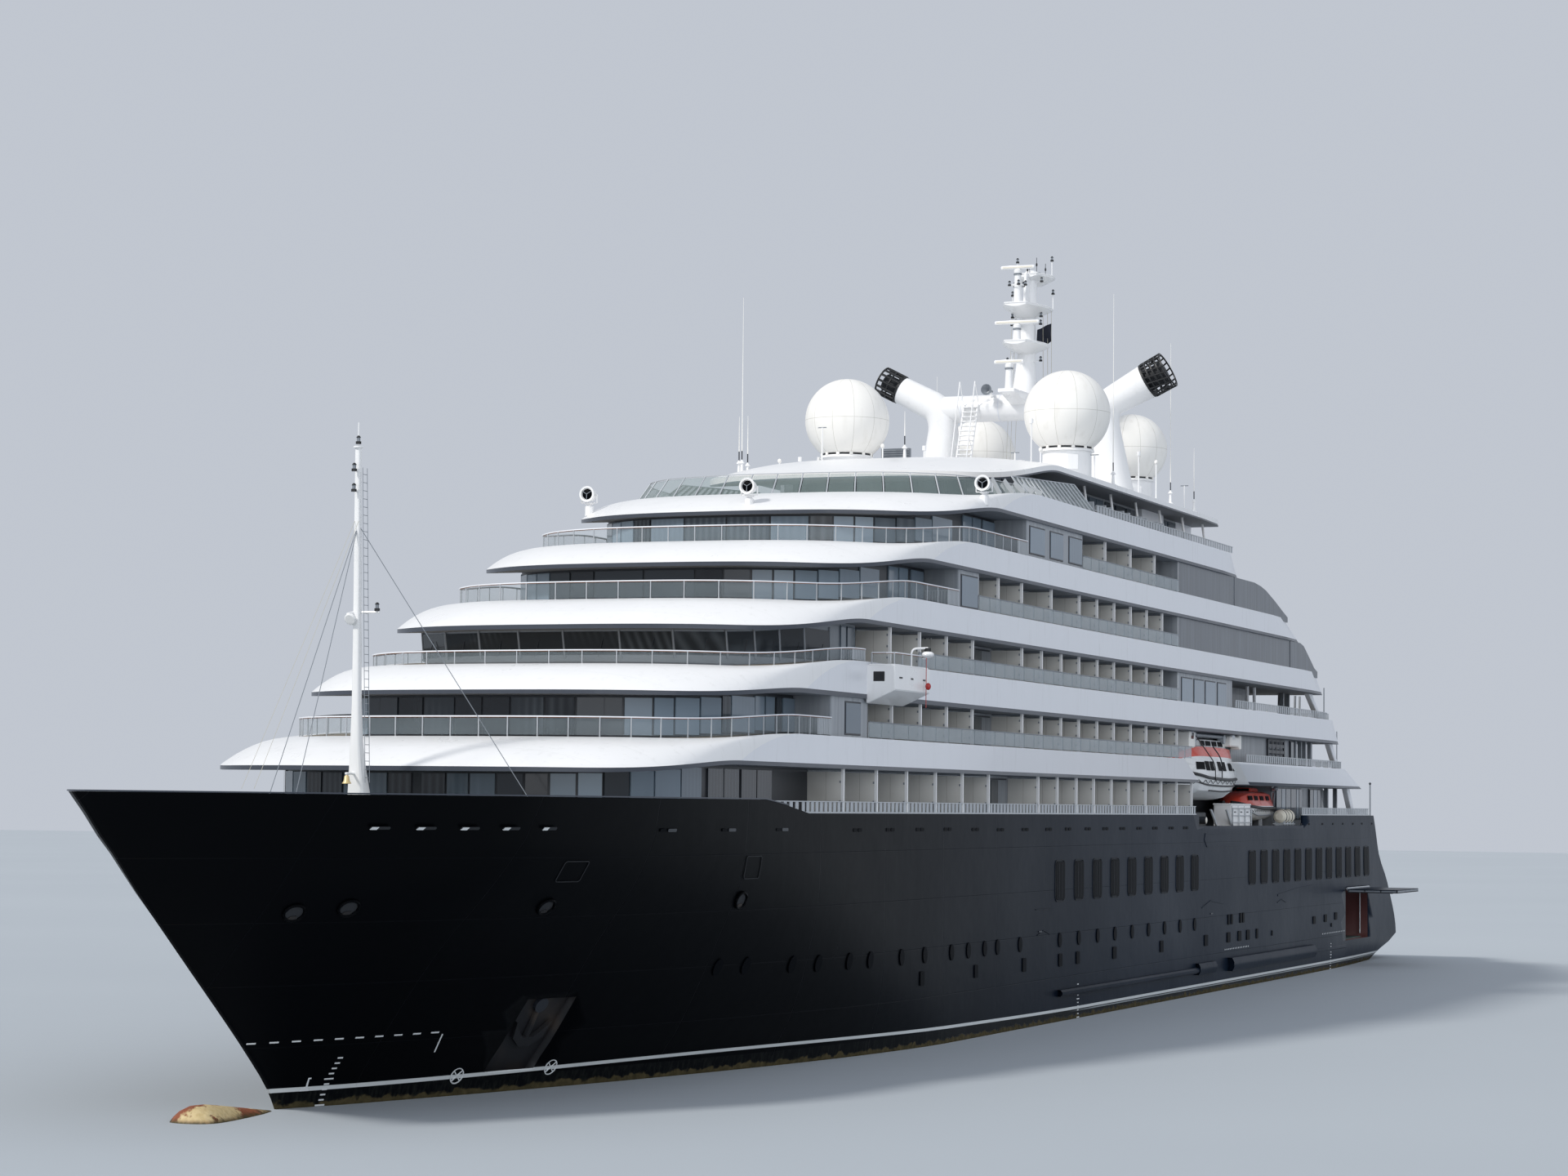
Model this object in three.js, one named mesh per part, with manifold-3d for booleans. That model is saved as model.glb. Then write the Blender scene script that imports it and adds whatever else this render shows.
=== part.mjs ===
// Expedition yacht, 1:10 scale model, afloat on an even keel.
// +X points to the bow, +Y to port, +Z up. The origin is amidships on the centreline at the waterline.
// Every size below is in metres of the real ship; solids are written in millimetres of the model.
import * as THREE from 'three';
import { mergeVertices } from 'three/addons/utils/BufferGeometryUtils.js';
import Module from 'manifold-3d';

const wasm = await Module();
wasm.setup();

// Driving dimensions
const MODEL_MM_PER_METRE = 100;
const HALF_BEAM = 10.75;
const BOW_TIP_X = 84;
const DRAFT = 5.2;
const MAIN_DECK_Z = 10.2;
const BULWARK_Z = 11.15;
const BOW_BULWARK_Z = 11.72;
const BULWARK_STEP_X = [43.7, 47.1];
const BULWARK_THICKNESS = 0.25;
const SEAT_GAP = 0.004;
const HOUSE_HALF = 8.8;
const PANEL_HALF = 10.62;
const FRONT_POWER = 3;

// Materials
const paint = (name, color, roughness, metalness = 0) => {
  const material = new THREE.MeshStandardMaterial({ color, roughness, metalness });
  material.name = name;
  return material;
};
const white = paint('white_paint', 0xf0f2f5, 0.35);
const navy = paint('navy_paint', 0x3c4654, 0.4);
const grey = paint('wall_grey', 0x9da3ab, 0.5);
const darkGlass = paint('dark_glass', 0x1d232b, 0.1);
const railGlass = paint('rail_glass', 0x9fb4bd, 0.15);
const steel = paint('steel', 0xa9adb2, 0.4, 0.8);
const black = paint('black_paint', 0x24272b, 0.5);
const bronze = paint('bronze', 0xa98443, 0.35, 0.9);
const orange = paint('orange_paint', 0xe4572b, 0.45);
const cream = paint('cream_plastic', 0xe9dcc0, 0.5);
const deckGreen = paint('deck_paint', 0x5a6a66, 0.7);

const yacht = new THREE.Group();

// Solid modelling helpers
const toSolid = (geometry) => {
  const bare = geometry.index ? geometry.toNonIndexed() : geometry.clone();
  bare.deleteAttribute('normal');
  bare.deleteAttribute('uv');
  const merged = mergeVertices(bare, 1e-5);
  return new wasm.Manifold(new wasm.Mesh({
    numProp: 3,
    vertProperties: new Float32Array(merged.attributes.position.array),
    triVerts: new Uint32Array(merged.index.array),
  }));
};
const solidOf = (part) => (part.getMesh ? part : toSolid(part));
const join = (...parts) => parts.map(solidOf).reduce((sum, part) => sum.add(part));
const cut = (body, ...tools) => tools.map(solidOf).reduce((rest, tool) => rest.subtract(tool), solidOf(body));

const addNode = (name, shape, material) => {
  const { vertProperties, triVerts } = solidOf(shape).getMesh();
  const geometry = new THREE.BufferGeometry();
  const positions = Float32Array.from(vertProperties, (v) => v * MODEL_MM_PER_METRE);
  geometry.setAttribute('position', new THREE.BufferAttribute(positions, 3));
  geometry.setIndex(new THREE.BufferAttribute(new Uint32Array(triVerts), 1));
  geometry.computeVertexNormals();
  const mesh = new THREE.Mesh(geometry, material);
  mesh.name = name;
  yacht.add(mesh);
  return mesh;
};

const block = (x, y, z) => {
  const geometry = new THREE.BoxGeometry(x[1] - x[0], y[1] - y[0], z[1] - z[0]);
  return geometry.translate((x[0] + x[1]) / 2, (y[0] + y[1]) / 2, (z[0] + z[1]) / 2);
};
const rod = (from, to, radius, endRadius = radius, sides = 12) => {
  const start = new THREE.Vector3(...from);
  const end = new THREE.Vector3(...to);
  const direction = end.clone().sub(start);
  const geometry = new THREE.CylinderGeometry(endRadius, radius, direction.length(), sides);
  const turn = new THREE.Quaternion().setFromUnitVectors(new THREE.Vector3(0, 1, 0), direction.clone().normalize());
  geometry.applyQuaternion(turn);
  return geometry.translate(...start.add(end).multiplyScalar(0.5).toArray());
};
const ball = (centre, radii, across = 20, high = 12) => {
  const geometry = new THREE.SphereGeometry(1, across, high);
  geometry.rotateX(Math.PI / 2);
  return geometry.scale(...radii).translate(...centre);
};
const extrude = (outline, depth) => {
  const shape = new THREE.Shape(outline.map(([u, v]) => new THREE.Vector2(u, v)));
  return new THREE.ExtrudeGeometry(shape, { depth, bevelEnabled: false });
};
// A prism from a side outline in X and Z, spread between two Y planes.
const sidePlate = (outline, y) => extrude(outline, y[1] - y[0]).rotateX(Math.PI / 2).translate(0, y[1], 0);
// A prism from a plan outline in X and Y, raised between two heights.
const planPlate = (outline, z) => extrude(outline, z[1] - z[0]).translate(0, 0, z[0]);
const mirrored = (outline) => {
  const port = outline.filter(([, y]) => y > 0);
  return [...outline, ...port.reverse().map(([x, y]) => [x, -y])];
};
// Sides, and spans in Y that lie on one of them
const SIDES = [['port', 1], ['starboard', -1]];
const spanOn = (side, [near, far]) => (side > 0 ? [near, far] : [-far, -near]);
// Well outside the beam, for cuts that run out through a side
const OUTBOARD = 12;

// A closed body, mirrored about the centreline. Each station lists its port points from the bottom up,
// and the stations run from the stern to the bow.
const mirrorLoft = (stations) => {
  const rows = stations[0].length;
  const ring = (station) => [...station, ...station.slice().reverse().map(([x, y, z]) => [x, -y, z])];
  const points = stations.flatMap(ring);
  const indices = [];
  const count = rows * 2;
  const quad = (a, b, c, d) => indices.push(a, b, c, a, c, d);
  for (let s = 0; s + 1 < stations.length; s += 1) {
    for (let k = 0; k < count; k += 1) {
      const next = (k + 1) % count;
      quad(s * count + k, s * count + next, (s + 1) * count + next, (s + 1) * count + k);
    }
  }
  const last = (stations.length - 1) * count;
  for (let r = 0; r + 1 < rows; r += 1) {
    quad(r, count - 1 - r, count - 2 - r, r + 1);
    quad(last + r, last + r + 1, last + count - 2 - r, last + count - 1 - r);
  }
  const geometry = new THREE.BufferGeometry();
  geometry.setAttribute('position', new THREE.BufferAttribute(new Float32Array(points.flat()), 3));
  geometry.setIndex(indices);
  return geometry;
};
const mix = (a, b, t) => a + (b - a) * t;
const clamp01 = (t) => Math.min(1, Math.max(0, t));
const smooth = (t) => clamp01(t) * clamp01(t) * (3 - 2 * clamp01(t));

// Hull: one row of half-breadths for each level. The columns are height, stem x, stem half-width,
// entrance length, fullness, half-breadth, transom x and half-breadth there.
// Heights under the waterline are shares of the depth of the keel line.
const HULL_LEVELS = [
  { depth: 1, stem: 64, nose: 0.15, entrance: 46, full: 0.8, half: 7.2, transom: -74, aft: 2.5 },
  { depth: 0.86, stem: 66.5, nose: 0.2, entrance: 46, full: 0.85, half: 9.6, transom: -75.5, aft: 6 },
  { depth: 0.5, stem: 68.8, nose: 0.25, entrance: 46, full: 0.95, half: 10.6, transom: -77.5, aft: 8.8 },
  { depth: 0, stem: 70.1, nose: 0.2, entrance: 46, full: 1, half: HALF_BEAM, transom: -80, aft: 9.9 },
  { z: 0.8, stem: 70.7, nose: 0.2, entrance: 46, full: 1.02, half: HALF_BEAM, transom: -82.5, aft: 10.1 },
  { z: 1.9, stem: 71.9, nose: 0.2, entrance: 45, full: 1.08, half: HALF_BEAM, transom: -85, aft: 10.2 },
  { z: 5.9, stem: 76.9, nose: 0.25, entrance: 44, full: 1.3, half: HALF_BEAM, transom: -83, aft: 10.4 },
  { z: 8.2, stem: 79.8, nose: 0.35, entrance: 42, full: 1.55, half: HALF_BEAM, transom: -80.1, aft: 10.4 },
  { z: MAIN_DECK_Z, stem: 82.2, nose: 0.5, entrance: 40, full: 1.8, half: HALF_BEAM, transom: -79, aft: 10.4 },
  {
    z: BULWARK_Z, stem: BOW_TIP_X, nose: 0.6, entrance: 40, full: 1.9, half: HALF_BEAM, transom: -78.3, aft: 10.4,
  },
];
const HULL_SHARES = [
  0, 0.012, 0.03, 0.055, 0.085, 0.12, 0.16, 0.2, 0.236, 0.262, 0.33, 0.45, 0.6, 0.72, 0.82, 0.9, 0.96, 1,
];
const KEEL_RISE = { from: -38, to: -78, top: -0.9 };
const RUN_START = -56;
const share = (from, to, x) => (x - from) / (to - from);
const keelZ = (x) => mix(-DRAFT, KEEL_RISE.top, smooth(share(KEEL_RISE.from, KEEL_RISE.to, x)));
const sheerZ = (x) => mix(BULWARK_Z, BOW_BULWARK_Z, clamp01(share(...BULWARK_STEP_X, x)));
const halfBreadth = (level, x) => {
  const along = clamp01((level.stem - x) / level.entrance);
  const bow = mix(level.nose, level.half, (1 - (1 - along) ** (1.6 * level.full)) ** (1 / level.full ** 0.4));
  const run = clamp01((RUN_START - x) / (RUN_START - level.transom));
  return bow - (level.half - level.aft) * run * run;
};
const hullStations = (levels, inset = 0) => HULL_SHARES.map((along) => levels.map((level) => {
  const x = mix(level.stem - inset, level.transom + inset, along);
  const z = level.depth === undefined ? level.z : keelZ(x) * level.depth;
  return [x, Math.max(0.05, halfBreadth(level, x) - inset), level.z === BULWARK_Z ? sheerZ(x) : z];
})).reverse();
const deckLevel = HULL_LEVELS[8];
const topLevel = HULL_LEVELS[9];
const deckWell = mirrorLoft(hullStations([
  { ...deckLevel, z: MAIN_DECK_Z },
  { ...topLevel, z: BULWARK_Z },
  { ...topLevel, z: BOW_BULWARK_Z + 1 },
], BULWARK_THICKNESS));

// Bulbous forefoot: its axis drops aft from the tip, and its round end is flattened by a high power
const BULB = { tip: 76.75, z: -1.55, drop: 0.128, high: 2.35, half: 1.5, round: 5, power: 12 };
const BULB_STEPS = [16.75, 12, 8, 5, 3, 1.6, 0.8, 0.4, 0.12, 0];
const BULB_SIDES = 10;
const bulb = mirrorLoft(BULB_STEPS.map((back) => {
  const axisZ = BULB.z - BULB.drop * back;
  const full = Math.max(0.03, (1 - Math.max(0, 1 - back / BULB.round) ** BULB.power) ** 0.5);
  const high = Math.min(BULB.high, DRAFT - 0.05 + axisZ) * full;
  return Array.from({ length: BULB_SIDES + 1 }, (_, i) => {
    const angle = mix(-0.49, 0.49, i / BULB_SIDES) * Math.PI;
    return [BULB.tip - back, BULB.half * full * Math.cos(angle), axisZ + high * Math.sin(angle)];
  });
}));
// Skeg
const SKEG = [[-34, -5.19], [-40, -5.19], [-66, -4.4], [-70, -1.6], [-50, -1.2]];

// Shell doors in both sides, aft
const SHELL_DOOR = { x: [-75.5, -67.5], z: [1.9, 5.75], depth: 3, thickness: 0.25, clearance: 0.06 };
const recess = (side) => block(SHELL_DOOR.x, spanOn(side, [HALF_BEAM - SHELL_DOOR.depth, OUTBOARD]), SHELL_DOOR.z);

// Rubbing strakes low on both sides: from x, to x, low edge, high edge, how far they stand out
const STRAKES = [
  { x: [-23.8, 5.5], z: [1.35, 1.7], out: 0.3 },
  { x: [-26.9, -23.8], z: [1.25, 1.95], out: 0.35 },
  { x: [-55, -32], z: [1.15, 2.0], out: 0.45 },
  { x: [-66.7, -55], z: [1.3, 1.7], out: 0.3 },
];
const STRAKE_ROOT = 0.8;
const strakes = SIDES.flatMap(([, side]) => STRAKES.map(({ x, z, out }) => (
  block(x, spanOn(side, [HALF_BEAM - STRAKE_ROOT, HALF_BEAM + out]), z)
)));

const SKEG_HALF = 0.35;
const skeg = sidePlate(SKEG, [-SKEG_HALF, SKEG_HALF]);
const hullBody = join(mirrorLoft(hullStations(HULL_LEVELS)), bulb, skeg, ...strakes);
// Anchor pockets, sunk into both bows
const ANCHOR_POCKET = { outline: [[60.5, 0.87], [60.5, 3.77], [57.8, 3.77], [57.75, 0.87]], depth: 0.35, from: 0.8 };
const innerHull = toSolid(mirrorLoft(hullStations(HULL_LEVELS, ANCHOR_POCKET.depth)));
const anchorPocket = (side) => (
  cut(sidePlate(ANCHOR_POCKET.outline, spanOn(side, [ANCHOR_POCKET.from, OUTBOARD])), innerHull)
);
// Lugs at both ends of each shell door, at its hinge line
const HINGE = {
  y: HALF_BEAM + 0.06, z: SHELL_DOOR.z[1], radius: 0.07, lug: 0.16, lugRoot: 0.3, lugDrop: 0.1, endGap: 0.005,
};
const lugs = SIDES.flatMap(([, side]) => SHELL_DOOR.x.map((end, i) => {
  const x = i === 0 ? [end - HINGE.lug, end - HINGE.endGap] : [end + HINGE.endGap, end + HINGE.lug];
  const y = spanOn(side, [HALF_BEAM - HINGE.lugRoot, HINGE.y + HINGE.radius]);
  return block(x, y, [HINGE.z - HINGE.lugDrop, HINGE.z + HINGE.radius]);
}));
// Flat seats in the bottom for the steering flanges of the pods
const POD = { x: -71, y: 4.6, seatZ: -1.05, flangeHeight: 0.6, flangeRadius: 0.85, seatRadius: 0.92, hubZ: -3.35 };
const podSeat = (side) => {
  const y = POD.y * side;
  return rod([POD.x, y, -DRAFT], [POD.x, y, POD.seatZ], POD.seatRadius, POD.seatRadius, 24);
};
const hullCuts = SIDES.flatMap(([, side]) => [recess(side), podSeat(side), anchorPocket(side)]);
const hull = join(cut(hullBody, deckWell, ...hullCuts), ...lugs);
addNode('hull', hull, navy);

// Rails on the hull's top edge: a low cap all along, and a wall of slats ahead of the boat bays and aft of them
const BULWARK_RAIL = { setBack: 0.16, thickness: 0.08, cap: 0.07, height: 0.55, ends: [-77.3, 41.4] };
const BULWARK_RAIL_WALLS = [[-77.3, -37.2], [-22.9, 41.4]];
const BULWARK_RAIL_TURNS = [41.4, -22.9, -37.2, -56, -62, -68, -73, -77.3];
for (const [name, side] of SIDES) {
  const strip = ([from, to], height) => {
    const along = BULWARK_RAIL_TURNS.filter((x) => x >= from && x <= to);
    const edge = (inset) => along.map((x) => [x, side * (halfBreadth(topLevel, x) - inset)]);
    const outer = edge(BULWARK_RAIL.setBack);
    const inner = edge(BULWARK_RAIL.setBack + BULWARK_RAIL.thickness).reverse();
    return planPlate([...outer, ...inner], [BULWARK_Z + SEAT_GAP, BULWARK_Z + height]);
  };
  addNode(`bulwark_rail_${name}`, join(
    strip(BULWARK_RAIL.ends, BULWARK_RAIL.cap),
    ...BULWARK_RAIL_WALLS.map((ends) => strip(ends, BULWARK_RAIL.height)),
  ), steel);
}

// Shell doors: the port one stands open, the starboard one is shut. Each hangs on its barrel.
const DOOR_ARM = { thickness: 0.15, set: 0.01 };
const doorPanel = (side, open) => {
  const { x, z, thickness, clearance } = SHELL_DOOR;
  const long = z[1] - z[0] - 2 * clearance;
  const span = [x[0] + clearance, x[1] - clearance];
  const near = clearance + HINGE.y - HALF_BEAM;
  const along = [clearance, clearance + long];
  const across = [-thickness - clearance, -clearance];
  const armAlong = [DOOR_ARM.set, near];
  const armAcross = [-DOOR_ARM.thickness, 0];
  const from = (base, [low, high]) => [base + low, base + high];
  const under = (base, [low, high]) => [base - high, base - low];
  const leaf = (reach, depth) => (open
    ? block(span, from(HINGE.y, reach), from(HINGE.z, depth))
    : block(span, from(HINGE.y, depth), under(HINGE.z, reach)));
  const panel = leaf(along, across);
  const arm = leaf(armAlong, armAcross);
  const barrel = rod([x[0], HINGE.y, HINGE.z], [x[1], HINGE.y, HINGE.z], HINGE.radius, HINGE.radius, 10);
  const door = join(panel, arm, barrel);
  return side > 0 ? door : door.mirror([0, 1, 0]);
};
addNode('shell_door_port', doorPanel(1, true), navy);
addNode('shell_door_starboard', doorPanel(-1, false), navy);

// Azimuth pods under the stern, each with a pulling propeller
const PROPELLER = {
  x: POD.x + 2.62, radius: 1.7, blades: 4, phase: 0.4, pitch: 0.55, chord: 0.5, thick: 0.07,
  hub: 0.42, hubLength: 0.42, nose: 0.35, noseRadius: 0.3,
};
const podShape = (side) => join(
  rod([POD.x, POD.y * side, POD.seatZ - POD.flangeHeight], [POD.x, POD.y * side, POD.seatZ - SEAT_GAP],
    POD.flangeRadius, POD.flangeRadius, 18),
  ball([POD.x - 0.1, POD.y * side, POD.hubZ + 0.85], [1.15, 0.42, 1.05], 12, 8),
  rod([POD.x - 1.4, POD.y * side, POD.hubZ], [PROPELLER.x - PROPELLER.hubLength - SEAT_GAP, POD.y * side, POD.hubZ],
    0.72, 0.5, 12),
  ball([POD.x - 1.4, POD.y * side, POD.hubZ], [1.3, 0.72, 0.72], 12, 8),
);
const propellerShape = (side) => {
  const { x, hub, hubLength, nose, noseRadius } = PROPELLER;
  const y = POD.y * side;
  const parts = [
    rod([x - hubLength, y, POD.hubZ], [x + nose, y, POD.hubZ], hub, noseRadius, 12),
    ball([x + nose, y, POD.hubZ], [nose, noseRadius, noseRadius], 12, 8),
  ];
  for (let i = 0; i < PROPELLER.blades; i += 1) {
    const blade = ball([0, 0, PROPELLER.radius / 2], [PROPELLER.thick, PROPELLER.chord, PROPELLER.radius / 2], 8, 6);
    blade.rotateZ(PROPELLER.pitch * side);
    blade.rotateX((2 * Math.PI * i) / PROPELLER.blades + PROPELLER.phase);
    parts.push(blade.translate(x, y, POD.hubZ));
  }
  return join(...parts);
};
for (const [name, side] of SIDES) {
  addNode(`pod_${name}`, podShape(side), navy);
  addNode(`propeller_${name}`, propellerShape(side), bronze);
}

// Deck slabs: each has white fascias, a crowned brow over the front and a raked stern end.
// low and top are heights of the fascia, brow is how much lower its edge lies at the nose,
// edge and rail are the nose of the lower edge and of the rail line, foot is the height of the rail line
// at the nose, and aft has the stern ends of the low and top edges.
const SLABS = [
  { deck: 6, low: 13.16, top: 14.6, brow: 0.35, edge: 62.5, rail: 56.6, foot: 14.2, aft: [-75, -69] },
  { deck: 7, low: 16.4, top: 18.1, brow: 0.4, edge: 55, rail: 50.5, foot: 17.45, aft: [-66.8, -64.7] },
  { deck: 8, low: 19.87, top: 21.4, brow: 0.75, edge: 47.2, rail: 41.8, foot: 20.75, aft: [-61.3, -58.6] },
  { deck: 9, low: 23.28, top: 24.75, brow: 0.8, edge: 38.2, rail: 32.8, foot: 24.05, aft: [-53.7, -48.9] },
  { deck: 10, low: 26.66, top: 28.13, brow: 0.85, edge: 27.4, rail: 21.2, foot: 27.6, aft: [-35.7, -34] },
];
const EDGE_LENGTH = 11.5;
const RAIL_SET_BACK = 7;
const FRONT_STEPS = 10;
const NOSE_ANGLE = 0.024;
// Rows of the brow, from the edge to the rail line: share inward, share up
const BROW_ROWS = [[0, 0], [0, 0.12], [0.3, 0.5], [0.65, 0.8], [1, 1]];
const EDGE_FALL = 0.85;
const FOOT_FALL = 0.8;
const STERN_CORNER = { length: 5, inset: 0.4 };
const frontArc = (nose, length, half, step) => {
  const angle = mix(Math.PI / 2, NOSE_ANGLE, step / FRONT_STEPS);
  const power = 2 / FRONT_POWER;
  return [nose - length + length * Math.cos(angle) ** power, half * Math.sin(angle) ** power];
};
const slabShape = ({ low, top, brow, edge, rail, foot, aft }) => {
  const shoulder = edge - EDGE_LENGTH;
  const railShoulder = shoulder - RAIL_SET_BACK;
  const { length, inset } = STERN_CORNER;
  const stations = [[0, HALF_BEAM - inset], [length, HALF_BEAM]].map(([ahead, y]) => (
    BROW_ROWS.map(([, up]) => [mix(aft[0], aft[1], up) + ahead, y, mix(low, top, up)])
  ));
  for (let step = 0; step <= FRONT_STEPS; step += 1) {
    const [edgeX, edgeY] = frontArc(edge, EDGE_LENGTH, HALF_BEAM, step);
    const [railX, railY] = frontArc(rail, rail - railShoulder, HALF_BEAM, step);
    const edgeZ = low - brow * smooth((edgeX - shoulder) / (EDGE_LENGTH * EDGE_FALL));
    const footZ = mix(top, foot, smooth((railX - railShoulder) / ((rail - railShoulder) * FOOT_FALL)));
    stations.push(BROW_ROWS.map(([inward, up]) => [
      mix(edgeX, railX, inward),
      mix(edgeY, railY, inward),
      mix(edgeZ, footZ, up),
    ]));
  }
  return mirrorLoft(stations);
};
const slabs = SLABS.map((slab) => toSolid(slabShape(slab)));

// Bridge wings stand out of the sides at deck 7, with sloping undersides and a lip over the edge of the slab
const WING = { x: [31, 35.9], reach: 1.35, z: [16.45, 18.25], chine: 17, lip: 0.03 };
const bridgeWing = (side) => {
  const inner = HALF_BEAM + SEAT_GAP;
  const outer = HALF_BEAM + WING.reach;
  const lipZ = SLABS[1].top + SEAT_GAP;
  const section = new THREE.Shape([
    [inner, WING.z[0]],
    [inner + WING.lip, WING.z[0]],
    [outer, WING.chine],
    [outer, WING.z[1]],
    [HALF_BEAM - WING.lip, WING.z[1]],
    [HALF_BEAM - WING.lip, lipZ],
    [inner, lipZ],
  ].map(([y, z]) => new THREE.Vector2(y * side, z)));
  const geometry = new THREE.ExtrudeGeometry(section, { depth: WING.x[1] - WING.x[0], bevelEnabled: false });
  return geometry.rotateX(Math.PI / 2).rotateZ(Math.PI / 2).translate(WING.x[0], 0, 0);
};
const TENDER_BAY = { x: [-36.8, -23.2], inner: 6.2, z: [12, 16] };
const bayCut = (side) => block(TENDER_BAY.x, spanOn(side, [TENDER_BAY.inner, OUTBOARD]), TENDER_BAY.z);

// Searchlights on the deck 10 brow: x, y
const SEARCHLIGHTS = [[19.6, -8.6], [22.3, 0], [19.6, 8.6]];
const searchlight = ([x, y]) => join(
  rod([x, y, 26.6], [x, y, 28.5], 0.22),
  rod([x - 0.45, y, 28.9], [x + 0.55, y, 28.95], 0.55, 0.62, 14),
);

const slabByDeck = Object.fromEntries(SLABS.map(({ deck }, i) => [deck, slabs[i]]));
// Raked columns at the stern end: the slab that carries each, its foot and its head
const COLUMNS = {
  5: [[-74.9, MAIN_DECK_Z + SEAT_GAP], [-71.4, 13.3]],
  6: [[-68.4, 14.5], [-65.4, 16.396]],
  7: [[-62.6, 18], [-58.6, 19.866]],
};
const COLUMN_SPAN = [9.7, 10.1];
const columns = (deck) => SIDES.map(([, side]) => {
  const [[footX, footZ], [headX, headZ]] = COLUMNS[deck];
  const outline = [[footX, footZ], [footX + 0.9, footZ], [headX + 0.5, headZ], [headX - 0.5, headZ]];
  return sidePlate(outline, spanOn(side, COLUMN_SPAN));
});
const slabNodes = {
  6: join(cut(slabByDeck[6], bayCut(1), bayCut(-1)), ...columns(5), ...columns(6)),
  7: join(slabByDeck[7], ...columns(7)),
  8: slabByDeck[8],
  9: slabByDeck[9],
  10: join(slabByDeck[10], ...SEARCHLIGHTS.map(searchlight)),
};
for (const { deck } of SLABS) {
  addNode(`deck_slab_${deck}`, slabNodes[deck], white);
}
addNode('bridge_wing_port', bridgeWing(1), white);
addNode('bridge_wing_starboard', bridgeWing(-1), white);

// Deck houses: a curved front and stretches of wall, cut to the slabs over and under them.
const housePlan = (nose, half, aft, length = 9) => {
  const outline = [[aft, half]];
  for (let step = 0; step <= FRONT_STEPS; step += 2) {
    outline.push(frontArc(nose, length, half, step));
  }
  return mirrored(outline);
};
const lift = (solid, dz) => solid.translate([0, 0, dz]);
// bays have from x, to x and half-width; fins have the first x, the spacing and the number of balcony partitions;
// screens are side outlines in X and Z of the plates that run on to the stern
const HOUSES = [
  {
    deck: 5, nose: 59.3, aft: -24, bays: [[-68, -23.5, 6.1], [-68, -51.7, 8.9]],
    fins: [[38.3, -4.2, 6], [8.7, -3.57, 10]],
  },
  {
    deck: 6, nose: 53.5, aft: -22.9, bays: [[-58, -22, 6.1], [-55, -37, 9.6]],
    fins: [[35.6, -3.93, 5], [11.6, -3.5, 10]],
  },
  {
    deck: 7, nose: 33.9, frontLength: 0.5, aft: -50, bays: [[-34, -19.8, PANEL_HALF], [-50, -34, 7.6]],
    fins: [[32.2, -4.1, 4], [11.6, -3.5, 10]],
  },
  {
    deck: 8, nose: 37, aft: -45, bays: [[-50, -19.8, PANEL_HALF]], fins: [[19.9, -4.1, 3], [8.2, -3.5, 9]],
    screens: [[-49.9, 21], [-58.5, 21], [-58.5, 21.45], [-53.8, 23.27], [-49.9, 23.27]],
  },
  {
    deck: 9, nose: 27, aft: -33, bays: [[-34, -19.8, PANEL_HALF]], fins: [[1.1, -5.1, 4]],
    screens: [
      [-33.9, 24.5], [-49.1, 24.5], [-49.1, 24.85], [-46.1, 25.6], [-42.7, 26.35], [-39.4, 26.65], [-33.9, 26.65],
    ],
  },
];
const FIN = { thickness: 0.12, setBack: 0.15 };
const HOUSE_FOOT = 0.3;
const SCREEN_THICKNESS = 0.16;
const TALL_CUT = 8;
const houseShape = ({ deck, nose, frontLength = 9, aft, bays, fins, screens }) => {
  const under = SLABS.find((slab) => slab.deck === deck);
  const above = SLABS.find((slab) => slab.deck === deck + 1);
  const z = [under ? under.foot - HOUSE_FOOT : MAIN_DECK_Z + SEAT_GAP, above.low - SEAT_GAP];
  const parts = [planPlate(housePlan(nose, HOUSE_HALF, aft, frontLength), z)];
  parts.push(...bays.map(([from, to, half]) => block([from, to], [-half, half], z)));
  const finHalf = PANEL_HALF - FIN.setBack;
  for (const [first, step, count] of fins) {
    for (let i = 0; i < count; i += 1) {
      const x = first + step * i;
      parts.push(block([x - FIN.thickness / 2, x + FIN.thickness / 2], [-finHalf, finHalf], z));
    }
  }
  if (screens) {
    parts.push(...SIDES.map(([, side]) => (
      sidePlate(screens, spanOn(side, [PANEL_HALF - SCREEN_THICKNESS, PANEL_HALF]))
    )));
  }
  const tall = { ...above, top: above.top + TALL_CUT, foot: above.foot + TALL_CUT };
  const walls = cut(join(...parts), lift(toSolid(slabShape(tall)), -SEAT_GAP));
  return under ? cut(walls, lift(slabByDeck[deck], SEAT_GAP)) : walls;
};
for (const house of HOUSES) {
  addNode(`deck_house_${house.deck}`, houseShape(house), grey);
}

// Wheelhouse: a ring of wall that leans forward, with its windows between posts, and the glass behind them
const WHEELHOUSE = {
  nose: 45.6, lean: 0.7, half: 9.5, length: 9, aft: 33.91, z: [17.2, 20],
  glass: [18.4, 19.35], glassAft: 36.5, wall: 0.3, postDepth: 0.15,
};
const MULLION = { depth: 2.4, width: 0.2, high: 4, z: 19 };
const wheelhouseVolume = (inset, aftInset = inset) => {
  const { nose, lean, half, length, aft, z } = WHEELHOUSE;
  const stations = [z.map((height) => [aft + aftInset, half - inset, height])];
  for (let step = 0; step <= FRONT_STEPS; step += 1) {
    const [x, y] = frontArc(nose - inset, length - inset, half - inset, step);
    stations.push([[x, y, z[0]], [x + lean * ((x - aft) / (nose - aft)), y, z[1]]]);
  }
  return toSolid(mirrorLoft(stations));
};
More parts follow.
